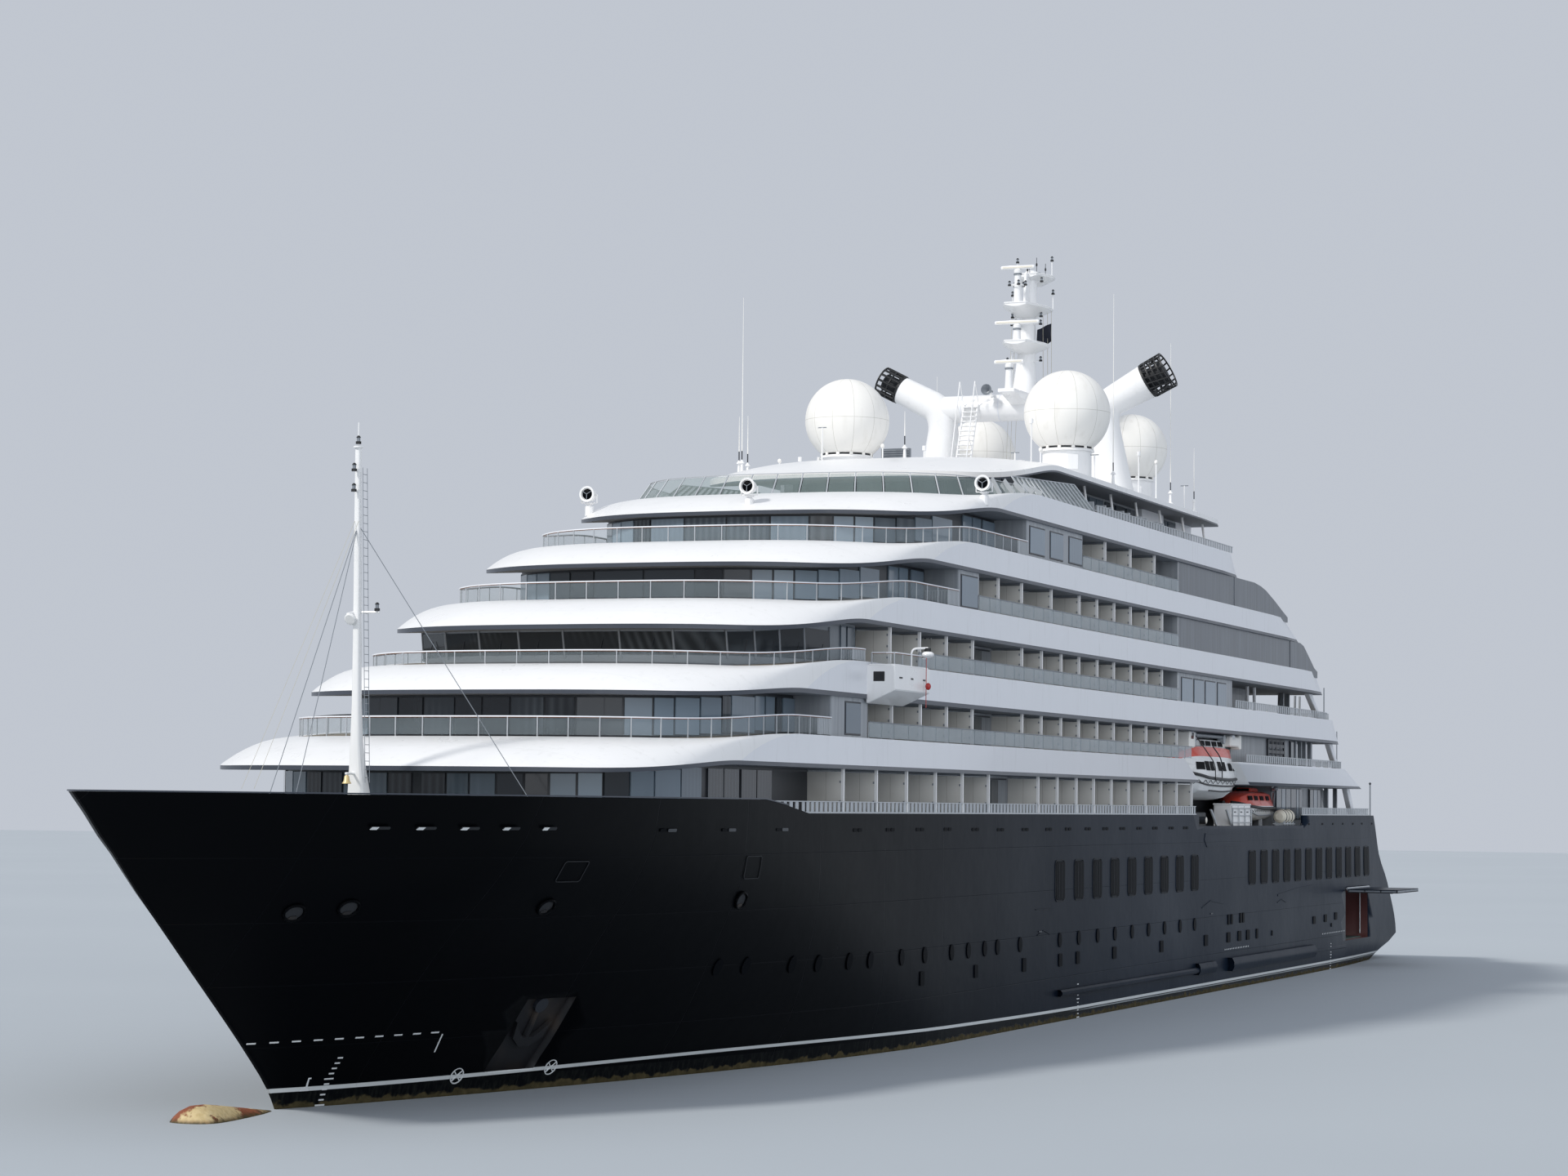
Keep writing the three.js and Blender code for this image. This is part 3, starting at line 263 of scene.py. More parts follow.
def hull_paint():
    """Navy topsides over a black boot-top, with the white line, growth, plate seams, streaks, a painted shade
    forward and a painted sky reflection aft.
    """
    finish = Finish("hull_navy", "#1e2631", 0.3, coat_weight=0.0, coat_roughness=0.15,
                    specular_ior_level=0.04)
    x, _, z = finish.axes()
    cloud = finish.noise(0.12, detail=5)
    streaks = finish.noise(2.2, detail=5, stretch=(3, 3, 0.16), sharpness=0.6)
    # Painted light: aft is 0 at the bow, where the topsides take a near-black painted shade, and 1 aft, where
    # a lighter navy is a painted reflection of the sky
    aft = 1 - finish.ramp(x, -20, 42)
    shades = bpy.context.scene.yacht_colours
    navy = finish.blend(aft, (*shades.bow, 1.0), (*shades.topsides, 1.0))
    # The lighter streaks are weighted by the share of the painted sky reflection
    navy = finish.blend(finish.ramp(streaks, 0.45, 0.8) * aft * 0.22, navy, colour("#323a45"))
    navy = finish.blend(cloud * 0.3, navy, colour("#080b10"))
    rows = finish.band(z % 2.35, 0.0, 0.035, 0.012)
    columns = finish.band((x + 0.4) % 8.4, 0.0, 0.04, 0.015)
    seams = finish.node("ShaderNodeMath", {0: rows, 1: columns}, operation="MAXIMUM")
    navy = finish.blend(seams * 0.35, navy, colour("#0b0e13"))
    boot = finish.blend(finish.ramp(streaks, 0.4, 0.75) * 0.5, colour("#0b0d10"), colour("#2c2f2b"))
    base = finish.blend(1 - finish.band(z, 0.66, 40, 0.02), navy, boot)
    ragged = z + (finish.noise(1.9, detail=6) - 0.5) * 0.7
    growth = finish.band(ragged, -0.2, 0.2, 0.06)
    growth_tint = finish.blend(finish.noise(2.6), colour("#1b1f13"), colour("#6d6145"))
    base = finish.blend(growth * 0.85, base, growth_tint)
    rise, fall = 1 - finish.ramp(x, 45, 70), 1 - finish.ramp(x, 0, 45)
    low, high = z - rise * 0.23 + fall * 0.35, z - rise * 0.21 + fall * 0.34
    line = finish.ramp(low, 0.62, 0.64) * (1 - finish.ramp(high, 0.78, 0.8))
    line = line * (1 - finish.ramp(streaks, 0.62, 0.9) * 0.35)
    thin = finish.band(z, 0.4, 0.46, 0.012) * (1 - finish.ramp(x, -2, 4))
    base = finish.blend(line, base, colour("#d8dcdc"))
    base = finish.blend(thin * 0.8, base, colour("#aab1b4"))
    under = 1 - finish.ramp(ragged, -0.6, -0.4)
    red = finish.blend(cloud, colour("#5c2a22"), colour("#7d3d2e"))
    base = finish.blend(under, base, red)
    finish.feed("Base Color", base)
    finish.feed("Roughness", cloud * 0.16 + streaks * 0.1 + 0.2 + growth * 0.4)
    dents = finish.noise(0.42, detail=2, stretch=(1, 1, 1.4))
    finish.bump(dents * 0.8 - seams * 0.5 + growth * finish.noise(7), 0.08, 0.35)
    return finish.material


def bulb_paint():
    """Worn red-brown forefoot with pale scale and weed at the waterline."""
    finish = Finish("bulb_worn_red", "#7a4632", 0.7)
    _, _, z = finish.axes()
    scale = finish.ramp(finish.noise(0.75, detail=6, sharpness=0.62), 0.47, 0.53)
    rust = finish.blend(finish.noise(3), colour("#6b3322"), colour("#a5603a"))
    cream = finish.blend(finish.noise(4), colour("#b9a06c"), colour("#ddcba0"))
    base = finish.blend(scale * finish.ramp(z, -0.15, 0.2), rust, cream)
    base = finish.blend(1 - finish.ramp(z + finish.noise(3) * 0.3, 0.12, 0.35), base, colour("#3b3a1c"))
    finish.feed("Base Color", base)
    finish.bump(scale + finish.noise(6), 0.06, 0.6)
    return finish.material


def deck_planks():
    """Greyed planks that run fore and aft, with dark caulking."""
    finish = Finish("deck_planks", "#a39a8c", 0.7)
    _, y, _ = finish.axes()
    caulk = finish.band(y % 0.3, 0.0, 0.03, 0.01)
    grain = finish.noise(2.2, detail=4, stretch=(0.4, 6, 1))
    base = finish.blend(grain, colour("#8d8478"), colour("#b5ab9b"))
    base = finish.blend(caulk * 0.8, base, colour("#3a3733"))
    finish.feed("Base Color", base)
    finish.bump(grain * 0.5 - caulk, 0.02, 0.4)
    return finish.material


def deck_green():
    """Non-slip grey-green paint of the working foredeck, worn in places."""
    finish = Finish("deck_grey_green", "#5b6a66", 0.75)
    wear = finish.ramp(finish.noise(0.8, detail=6), 0.5, 0.75)
    base = finish.blend(wear * 0.5, colour("#55645f"), colour("#7d857c"))
    finish.feed("Base Color", base)
    finish.bump(finish.noise(30, detail=2), 0.01, 0.5)
    return finish.material


def pane_glass(name, dark, pale, roughness, gloss=0.6):
    """Ship's window glass: the face's tone runs from dark rooms to panes with a painted reflection of the
    sky.
    """
    finish = Finish(name, dark, roughness, coat_weight=gloss, coat_roughness=0.05,
                    specular_ior_level=0.1 + gloss * 0.65)
    x, y, _ = finish.axes()
    tone = finish.tone()
    drift = finish.noise(0.22, detail=2, stretch=(1, 1, 2.4))
    curtains = finish.band((x + y) % 0.34, 0.06, 0.2, 0.08)
    curtains = curtains * finish.ramp(finish.noise(0.14, detail=1), 0.5, 0.6)
    deep = finish.blend(drift, colour(dark), darker(colour(dark), 2.6))
    deep = finish.blend(curtains * 0.14, deep, colour("#9aa4ac"))
    painted_sky_reflection = finish.blend(drift, colour(pale), darker(colour(pale), 0.72))
    finish.feed("Base Color", finish.blend(tone, deep, painted_sky_reflection))
    finish.feed("Roughness", drift * 0.08 + roughness)
    return finish.material


def port_glass():
    """The dark, dull glass of the hull windows and ports; the scuppers use it as painted shade in their
    openings.
    """
    finish = Finish("hull_glass", "#030406", 0.45, coat_weight=0.0, specular_ior_level=0.03)
    finish.feed("Base Color", finish.blend(finish.noise(0.3, detail=2), colour("#030406"), colour("#0a0d13")))
    return finish.material


def rail_glass(name, tint, alpha):
    """Frosted balustrade glass, a little dusty in clouds."""
    finish = Finish(name, tint, 0.25, coat_weight=0.4)
    cloud = finish.noise(0.5, detail=2)
    finish.feed("Base Color", finish.blend(cloud, darker(finish.tint, 0.82), finish.tint))
    finish.feed("Alpha", cloud * 0.04 + (alpha - 0.02))
    finish.feed("Roughness", cloud * 0.05 + 0.18)
    return finish.material


def partition_panel():
    """Grey-beige balcony partition with a faint seam and damp marks."""
    finish = Finish("partition_grey_beige", "#d6d4ce", 0.55)
    _, y, _ = finish.axes()
    seam = finish.band(y * y, 93.6, 94.3, 0.2)
    damp = finish.ramp(finish.noise(1.1, detail=5, stretch=(1, 1, 0.5)), 0.5, 0.8)
    base = finish.blend(damp * 0.25, finish.tint, colour("#a9a59c"))
    base = finish.blend(seam * 0.35, base, colour("#96928b"))
    finish.feed("Base Color", base)
    finish.bump(seam * -1.0 + finish.noise(12) * 0.2, 0.02, 0.3)
    return finish.material


def wall_panels(name, light, dark, roughness, width):
    """Cladding in tall panels with narrow joints and soft vertical streaks."""
    finish = Finish(name, light, roughness, coat_weight=0.2)
    x, _, _ = finish.axes()
    joint = finish.band((x + 0.7) % width, 0.0, 0.05, 0.015)
    streaks = finish.noise(1.4, detail=5, stretch=(2.2, 2.2, 0.14))
    base = finish.blend(finish.ramp(streaks, 0.3, 0.75), colour(dark), finish.tint)
    base = finish.blend(joint * 0.6, base, darker(colour(dark), 0.4))
    finish.feed("Base Color", base)
    finish.feed("Roughness", streaks * 0.25 + roughness - 0.1)
    finish.bump(joint * -1.0 + streaks * 0.2, 0.03, 0.35)
    return finish.material


def radome_shell(name, tint):
    """Cream-white moulded shell with a fine orange-peel surface and faint rain marks."""
    finish = Finish(name, tint, 0.42, coat_weight=0.15)
    runs = finish.ramp(finish.noise(1.1, detail=5, stretch=(2, 2, 0.4)), 0.5, 0.8)
    base = finish.blend(runs * 0.14, finish.tint, colour("#a49a84"))
    finish.feed("Base Color", base)
    finish.bump(finish.noise(9, detail=2), 0.01, 0.25)
    return finish.material


def boat_shell(name, tint):
    """Moulded boat hull with scuffs along its sides."""
    finish = Finish(name, tint, 0.35, coat_weight=0.35)
    if name == "boat_orange":
        finish.tint = (*bpy.context.scene.yacht_colours.canopy, 1.0)
    scuffs = finish.ramp(finish.noise(2.1, detail=6, stretch=(0.5, 1, 2)), 0.52, 0.7)
    base = finish.blend(scuffs * 0.3, finish.tint, darker(finish.tint, 0.55))
    finish.feed("Base Color", base)
    finish.feed("Roughness", scuffs * 0.2 + 0.3)
    finish.bump(finish.noise(10), 0.01, 0.2)
    return finish.material


def helideck_paint():
    """Green landing deck with a white ring, a plain letter H and worn edges."""
    finish = Finish("helideck_green", "#4e6a5c", 0.7)
    x, y, _ = finish.axes()
    along = x - HELIDECK_X
    square = along * along + y * y
    ring = finish.band(square, 27.0, 31.4, 0.4)
    stems = finish.band(y * y, 1.0, 2.25, 0.05) * finish.band(along * along, -1, 4.0, 0.1)
    bar = finish.band(along * along, -1, 0.1, 0.03) * finish.band(y * y, -1, 1.1, 0.05)
    wear = finish.noise(1.3, detail=6)
    marks = (ring + stems + bar) * (1 - finish.ramp(wear, 0.55, 0.8) * 0.4)
    base = finish.blend(wear, darker(finish.tint, 0.8), finish.tint)
    finish.feed("Base Color", finish.blend(marks, base, colour("#e3e6e2")))
    finish.bump(finish.noise(30), 0.01, 0.4)
    return finish.material


def bronze():
    """Cast bronze, bright and dull in patches."""
    finish = Finish("cast_bronze", "#b88a45", 0.3, metallic=0.9)
    dull = finish.noise(1.8, detail=6)
    finish.feed("Base Color", finish.blend(dull, colour("#8a6531"), colour("#caa05a")))
    finish.feed("Roughness", dull * 0.3 + 0.15)
    finish.bump(finish.noise(14), 0.01, 0.3)
    return finish.material


def rusty_pocket():
    """The anchor pocket's plating, streaked with rust from the chain pipe down."""
    finish = Finish("pocket_rust", "#2e2b2b", 0.6)
    runs = finish.noise(0.4, detail=2, stretch=(1.4, 1.4, 0.7))
    rust = finish.blend(finish.noise(1.8), colour("#30261f"), colour("#6a5a49"))
    _, _, z = finish.axes()
    band = finish.band(z, 2.3, 3.1, 0.5)
    share = finish.ramp(runs, 0.38, 0.7) * (band * 0.6 + 0.25)
    finish.feed("Base Color", finish.blend(share, colour("#15161a"), rust))
    finish.bump(runs, 0.01, 0.1)
    return finish.material


# Finishes that share a maker: the maker, and what it is given, with the name first
FINISHES = (
    (ship_white, "gloss_white", "#f4f4f4", 0.3, 0.2),
    (ship_white, "fascia_white", "#e9ebf0", 0.36, 0.35),
    # Window glass: name, dark colour of the room, pale colour of the painted sky reflection, roughness and
    # gloss
    (pane_glass, "house_glass", "#10151b", "#9fb4c6", 0.07, 0.32),
    (pane_glass, "bridge_glass", "#0c1015", "#a9b9c4", 0.12, 0.12),
    (pane_glass, "balcony_glass", "#1b222a", "#7f8c96", 0.1),
    (rail_glass, "fence_glass", "#aebcc2", 0.13),
    (rail_glass, "balustrade_glass", "#b3c0c7", 0.46),
    (rail_glass, "screen_glass", "#93a4a3", 0.3),
    (wall_panels, "house_grey", "#a4a8ad", "#8b9096", 0.45, 1.9),
    (wall_panels, "panel_dark_grey", "#6c7279", "#4b5159", 0.35, 2.45),
    (radome_shell, "radome_cream", "#f3f1ec"),
    (radome_shell, "radome_seam", "#cfccc4"),
    (boat_shell, "boat_white", "#e9eaea"),
    (boat_shell, "boat_orange", "#dc4b2c"),
    *((painted, *row) for row in PAINTS),
)
MAKERS = {
    "hull_navy": hull_paint,
    "bulb_worn_red": bulb_paint,
    "deck_planks": deck_planks,
    "deck_grey_green": deck_green,
    "hull_glass": port_glass,
    "partition_grey_beige": partition_panel,
    "helideck_green": helideck_paint,
    "cast_bronze": bronze,
    "pocket_rust": rusty_pocket,
    **{row[1]: (lambda row=row: row[0](*row[1:])) for row in FINISHES},
}
MADE = {}


def finish_called(name):
    """The finish of that name, made the first time it is asked for."""
    if name not in MADE:
        MADE[name] = MAKERS[name]()
    return MADE[name]


class Piece:
    """One object in the making: solids are added in metres of the ship, each with its finish."""

    def __init__(self, name):
        self.name = name
        self.mesh = bmesh.new()
        # Each face's tone, which on window glass is its share of painted sky reflection
        self.tones = self.mesh.faces.layers.float.new("tone")
        self.finishes = []

    def faces_of(self, verts):
        return list(dict.fromkeys(face for vert in verts for face in vert.link_faces))

    def paint(self, faces, finish, tone=0.0):
        if finish not in self.finishes:
            self.finishes.append(finish)
        index = self.finishes.index(finish)
        for face in faces:
            face.material_index = index
            face[self.tones] = tone
        return faces

    def bevel(self, faces, offset, segments=1):
        edges = list(dict.fromkeys(edge for face in faces for edge in face.edges))
        bmesh.ops.bevel(
            self.mesh, geom=edges, offset=offset, offset_type="OFFSET", segments=segments,
            profile=0.5, affect="EDGES", material=-1, clamp_overlap=True,
        )

    def box(self, x, y, z, finish, bevel=0.0, place=None, tone=0.0):
        """A block between two x, two y and two z, in the frame of place."""
        middle = Vector([sum(span) / 2 for span in (x, y, z)])
        size = [abs(span[1] - span[0]) for span in (x, y, z)]
        matrix = (place or Matrix()) @ Matrix.Translation(middle) @ Matrix.Diagonal((*size, 1))
        made = bmesh.ops.create_cube(self.mesh, size=1, matrix=matrix)
        faces = self.paint(self.faces_of(made["verts"]), finish, tone)
        if bevel:
            self.bevel(faces, bevel)
        return faces

    def rod(self, start, end, radius, finish, end_radius=None, sides=10):
        start, end = Vector(start), Vector(end)
        along = end - start
        turn = along.to_track_quat("Z", "Y").to_matrix().to_4x4()
        made = bmesh.ops.create_cone(
            self.mesh, cap_ends=True, cap_tris=False, segments=sides, radius1=radius,
            radius2=radius if end_radius is None else end_radius, depth=along.length,
            matrix=Matrix.Translation((start + end) / 2) @ turn,
        )
        return self.paint(self.faces_of(made["verts"]), finish)

    def ball(self, centre, radii, finish, across=16, high=10):
        matrix = Matrix.Translation(centre) @ Matrix.Diagonal((*radii, 1))
        made = bmesh.ops.create_uvsphere(self.mesh, u_segments=across, v_segments=high, radius=1,
                                         matrix=matrix)
        return self.paint(self.faces_of(made["verts"]), finish)

    def prism(self, outline, depth, finish, bevel=0.0, tone=0.0):
        """A flat outline spread along a vector."""
        start = self.mesh.faces.new([self.mesh.verts.new(point) for point in outline])
        made = bmesh.ops.extrude_face_region(self.mesh, geom=[start], use_keep_orig=True)["geom"]
        verts = [item for item in made if isinstance(item, bmesh.types.BMVert)]
        bmesh.ops.translate(self.mesh, vec=depth, verts=verts)
        faces = self.paint(self.faces_of(verts + list(start.verts)), finish, tone)
        bmesh.ops.recalc_face_normals(self.mesh, faces=faces)
        if bevel:
            self.bevel(faces, bevel)
        return faces

    def side_plate(self, outline, y, finish, bevel=0.0):
        """A plate from an outline in x and z, between two y."""
        return self.prism([(x, y[0], z) for x, z in outline], (0, y[1] - y[0], 0), finish, bevel)

    def sheet(self, rows, finish):
        """A skin over rows of points."""
        across, count = len(rows[0]), len(rows)
        made = bmesh.ops.create_grid(self.mesh, x_segments=across - 1, y_segments=count - 1, size=1)["verts"]
        for vert, point in zip(made, [point for row in rows for point in row], strict=True):
            vert.co = point
        faces = self.paint(self.faces_of(made), finish)
        bmesh.ops.remove_doubles(self.mesh, verts=made, dist=MERGE)
        return [face for face in faces if face.is_valid]

    def tube(self, rings, finish):
        """A closed skin over rings of points, with both ends filled."""
        faces = self.sheet([[*ring, ring[0]] for ring in rings], finish)
        edges = [edge for face in faces for edge in face.edges if edge.is_boundary]
        caps = bmesh.ops.holes_fill(self.mesh, edges=list(dict.fromkeys(edges)), sides=0)["faces"]
        self.paint(caps, finish)
        bmesh.ops.recalc_face_normals(self.mesh, faces=faces + caps)
        return faces + caps

    def lathe(self, profile, finish, place=None, steps=24):
        """A turned solid from radius and height pairs, in the frame of place."""
        verts = [self.mesh.verts.new((radius, 0, height)) for radius, height in profile]
        edges = [self.mesh.edges.new(pair) for pair in zip(verts, verts[1:])]
        bmesh.ops.spin(
            self.mesh, geom=verts + edges, cent=(0, 0, 0), axis=(0, 0, 1),
            angle=math.tau, steps=steps, use_merge=True,
        )
        faces = self.faces_of(verts)
        grown = set(faces)
        for face in faces:
            for near in [n for edge in face.edges for n in edge.link_faces]:
                if near not in grown:
                    grown.add(near)
                    faces.append(near)
        turned = list(dict.fromkeys(vert for face in faces for vert in face.verts))
        if place is not None:
            bmesh.ops.transform(self.mesh, matrix=place, verts=turned)
        bmesh.ops.remove_doubles(self.mesh, verts=turned, dist=MERGE)
        faces = self.paint([face for face in faces if face.is_valid], finish)
        bmesh.ops.recalc_face_normals(self.mesh, faces=faces)
        return faces

    def rail(self, points, width, height, finish):
        """A bar of rectangular section laid along points, with its foot on them."""
        points = [Vector(point) for point in points]
        rings = []
        for index, point in enumerate(points):
            ahead = points[min(index + 1, len(points) - 1)]
            behind = points[max(index - 1, 0)]
            across = Vector((behind.y - ahead.y, ahead.x - behind.x, 0)).normalized() * (width / 2)
            rise = aloft(height)
            rings.append([point - across, point + across, point + across + rise, point - across + rise])
        return self.tube(rings, finish)

    def wire(self, points, radius, finish, sides=5, closed=False):
        """Thin rods from point to point, and from the last back to the first when closed."""
        following = [*points[1:], points[0]] if closed else points[1:]
        for start, end in zip(points, following):
            self.rod(start, end, radius, finish, sides=sides)

    def weld(self):
        """Joins the points that meet and drops what has no area."""
        bmesh.ops.remove_doubles(self.mesh, verts=self.mesh.verts, dist=MERGE)
        bmesh.ops.dissolve_degenerate(self.mesh, dist=MERGE, edges=self.mesh.edges)

    def take(self, other):
        """Moves everything of another piece into this one."""
        spare = bpy.data.meshes.new("spare")
        other.mesh.to_mesh(spare)
        other.mesh.free()
        known = len(self.mesh.faces)
        self.mesh.from_mesh(spare)
        bpy.data.meshes.remove(spare)
        self.mesh.faces.ensure_lookup_table()
        for face in list(self.mesh.faces)[known:]:
            finish = other.finishes[face.material_index]
            if finish not in self.finishes:
                self.finishes.append(finish)
            face.material_index = self.finishes.index(finish)

    def mirror(self):
        """Adds the same on the starboard side, merged along the centreline."""
        parts = [*self.mesh.verts, *self.mesh.edges, *self.mesh.faces]
        bmesh.ops.mirror(self.mesh, geom=parts, matrix=Matrix(), merge_dist=MERGE, axis="Y")
        bmesh.ops.recalc_face_normals(self.mesh, faces=self.mesh.faces)

    def object(self):
        """The finished mesh on an object, scaled to the model."""
        bmesh.ops.transform(self.mesh, matrix=Matrix.Scale(MODEL, 4), verts=self.mesh.verts)
        for face in self.mesh.faces:
            face.smooth = True
        data = bpy.data.meshes.new(self.name)
        self.mesh.to_mesh(data)
        self.mesh.free()
        data.set_sharp_from_angle(angle=SHARP_FROM)
        for finish in self.finishes:
            data.materials.append(finish_called(finish))
        piece = bpy.data.objects.new(self.name, data)
        bpy.context.collection.objects.link(piece)
        return piece

    def done(self, body="ship", slot=None, replaces=(), cutters=()):
        """The finished piece, cut by the cutters and riding on its body."""
        piece = self.object()
        if cutters:
            carve(piece, *cutters)
        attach(piece, body)
        if replaces:
            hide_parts(*replaces)
        return piece


# Main lines of the ship, as in the frame
DRAFT = 5.2
HALF_BEAM = 10.75
MAIN_DECK_Z = 10.2
HELIDECK_X = -42.4
BULWARK_Z = 11.15
BOW_BULWARK_Z = 11.72
BULWARK_INSET = 0.25
HOUSE_HALF = 8.8
PANEL_HALF = 10.62
# Length of the rounded front of a house
FRONT_LENGTH = 9.0
# The hull's rows: height, stem x, half-width at the stem, length of the entrance, fullness, half-breadth,
# transom x and half-breadth there. Under the waterline the height is a share of the draft at the keel
HULL_ROWS = (
    (-5.2, 64, 0.15, 46, 0.8, 7.2, -74, 2.5),
    (-4.472, 66.5, 0.2, 46, 0.85, 9.6, -75.5, 6),
    (-2.6, 68.8, 0.25, 46, 0.95, 10.6, -77.5, 8.8),
    (0, 70.1, 0.2, 46, 1, 10.75, -80, 9.9),
    (0.8, 70.7, 0.2, 46, 1.02, 10.75, -82.2, 10.3),
    (1.9, 71.9, 0.2, 45, 1.08, 10.75, -86.7, 10.65),
    (5.9, 76.9, 0.25, 44, 1.3, 10.75, -83.4, 10.65),
    (8.2, 79.8, 0.35, 42, 1.55, 10.75, -80.3, 10.6),
    (10.2, 82.2, 0.5, 40, 1.8, 10.75, -79, 10.6),
    (11.15, 84, 0.6, 40, 1.9, 10.75, -78.3, 10.6),
)
RUN_START = -56
HULL_STEPS = 84
# How softly the fine bow runs into the full one, and how far back the stem is rounded
BOW_BLEND = 0.9
STEM_RADIUS = 0.35
# Deck slabs: low and top edge, droop of the brow, nose of the lower edge, nose of the rail line, the
# height there, and the stern ends of the low and top edges
SLABS = {
    6: {"low": 13.16, "top": 14.6, "brow": 0.45, "edge": 62.5, "rail": 56.6, "foot": 14.2, "aft": (-75, -69)},
    7: {"low": 16.4, "top": 18.1, "brow": 0.4, "edge": 55, "rail": 50.5, "foot": 17.45,
        "aft": (-66.8, -64.7)},
    8: {"low": 19.87, "top": 21.4, "brow": 0.75, "edge": 47.2, "rail": 41.8, "foot": 20.75,
        "aft": (-61.3, -58.6)},
    9: {"low": 23.28, "top": 24.75, "brow": 0.8, "edge": 38.2, "rail": 32.8, "foot": 24.05,
        "aft": (-53.7, -48.9)},
    10: {"low": 26.66, "top": 28.13, "brow": 0.85, "edge": 27.4, "rail": 21.2, "foot": 27.38,
         "aft": (-35.7, -34)},
    11: {"low": 30.1, "top": 31.1, "brow": 1.15, "edge": 13, "rail": 0.5, "foot": 31, "aft": (-35.5, -33)},
}
EDGE_LENGTH = 11.5
# The first stations of a slab are its stern, where the fascia is flat
STERN_STATIONS = 4
RAIL_SET_BACK = 7
FRONT_POWER = 3
ROOF_NARROWING = 9.5 / 10.75
CROWN = (0.0, 0.05, 0.12, 0.2, 0.3, 0.42, 0.55, 0.7, 0.85, 1.0)
LIP_SHARE = 0.12
# The canopy: how far its crown slopes inward at the sides, and the height of its edge
CANOPY_SLOPE = 3.2
CANOPY_EDGE = 0.38


def curve(knots, values, at):
    """A smooth line through values that never overshoots them."""
    last = len(knots) - 2
    index = min(last, max(0, sum(knot <= at for knot in knots) - 1))
    rises = [(values[i + 1] - values[i]) / (knots[i + 1] - knots[i]) for i in range(last + 1)]

    def slope(i):
        if i == 0 or i == last + 1:
            return rises[min(i, last)]
        before, after = rises[i - 1], rises[i]
        return 0.0 if before * after <= 0 else 2 * before * after / (before + after)

    span = knots[index + 1] - knots[index]
    t = (at - knots[index]) / span
    start, end = slope(index) * span, slope(index + 1) * span
    rise = values[index + 1] - values[index]
    return values[index] + t * (start + t * (3 * rise - 2 * start - end + t * (start + end - 2 * rise)))


HULL_CACHE = {}


def hull_row(height):
    if height not in HULL_CACHE:
        knots = [row[0] for row in HULL_ROWS]
        HULL_CACHE[height] = [curve(knots, [row[i] for row in HULL_ROWS], height) for i in range(1, 8)]
    return HULL_CACHE[height]


def keel_z(x):
    return mix(-DRAFT, -0.9, smooth((-38 - x) / 40))


def sheer_z(x):
    return mix(BULWARK_Z, BOW_BULWARK_Z, clamp((x - 43.7) / 3.4))


def half_breadth(height, x):
    stem, nose, entrance, full, half, transom, aft = hull_row(height)
    along = clamp((stem - x) / entrance)
    bow = mix(nose, half, (1 - (1 - along) ** (1.6 * full)) ** (1 / full ** 0.4))
    reach = max(0.0, stem - x)
    sharp = 0.2 + 0.58 * reach
    share = clamp(0.5 + (sharp - bow) / (2 * BOW_BLEND))
    bow = mix(sharp, bow, share) - BOW_BLEND * share * (1 - share)
    bow *= math.sqrt(1 - (1 - min(1.0, reach / STEM_RADIUS)) ** 2)
    run = clamp((RUN_START - x) / (RUN_START - transom))
    return bow - (half - aft) * run * run


def hull_z(height, x):
    if height < 0:
        return keel_z(x) * -height / DRAFT
    if height <= MAIN_DECK_Z:
        return height
    return mix(MAIN_DECK_Z, sheer_z(x), (height - MAIN_DECK_Z) / (BULWARK_Z - MAIN_DECK_Z))


def hull_line(height, inset=0.0):
    """Points of the port side at one height, from the stem's centreline to the transom's."""
    stem, transom = hull_row(height)[0] - inset, hull_row(height)[5] + inset
    shares = [(1 - math.cos(math.pi * (i / HULL_STEPS) ** 1.25)) / 2 for i in range(HULL_STEPS + 1)]
    side = [mix(stem, transom, share) for share in shares]
    points = [(x, max(0.05, half_breadth(height, x) - inset), hull_z(height, x)) for x in side]
    return [(stem, 0, hull_z(height, stem)), *points, (transom, 0, hull_z(height, transom))]


def on_hull(x, z, side=1, out=0.0):
    """A frame on the hull's side: x runs forward along it, y stands out of it and z runs up it."""
    step = 0.05
    point = Vector((x, half_breadth(z, x), z))
    ahead = Vector((x + step, half_breadth(z, x + step), z)) - point
    above = Vector((x, half_breadth(z + step, x), z + step)) - point
    outward = above.cross(ahead).normalized()
    point += outward * out
    forward = ahead.normalized()
    upward = forward.cross(outward) * -1
    if upward.z < 0:
        upward.negate()
    rows = [Vector((v.x, v.y * side, v.z)) for v in (forward, outward, upward, point)]
    matrix = Matrix.Identity(4)
    for column, vector in enumerate(rows):
        for row in range(3):
            matrix[row][column] = vector[row]
    return matrix


def front_arc(nose, length, half, share):
    """A point of a rounded front: share 0 is the nose and 1 the shoulder."""
    angle = abs(share) * math.pi / 2
    x = nose - length + length * max(0.0, math.cos(angle)) ** (2 / FRONT_POWER)
    return x, math.copysign(half * math.sin(angle) ** (2 / FRONT_POWER), share)


def eased(count):
    """Shares from 1 to 0, closer together at both ends."""
    return [(1 + math.cos(math.pi * i / count)) / 2 for i in range(count + 1)]


def shoulder_x(slab):
    return slab["edge"] - EDGE_LENGTH


def soffit_z(slab, x):
    return slab["low"] - slab["brow"] * smooth((x - shoulder_x(slab)) / (EDGE_LENGTH * 0.85))


def foot_z(slab, x):
    start = shoulder_x(slab) - RAIL_SET_BACK
    return mix(slab["top"], slab["foot"], smooth((x - start) / ((slab["rail"] - start) * 0.8)))


def rail_line(slab, inset):
    """The rail line of a deck from the port shoulder to the nose."""
    start = shoulder_x(slab) - RAIL_SET_BACK
    nose = slab["rail"] - inset
    return [front_arc(nose, nose - start, HALF_BEAM - inset, share) for share in eased(30)]


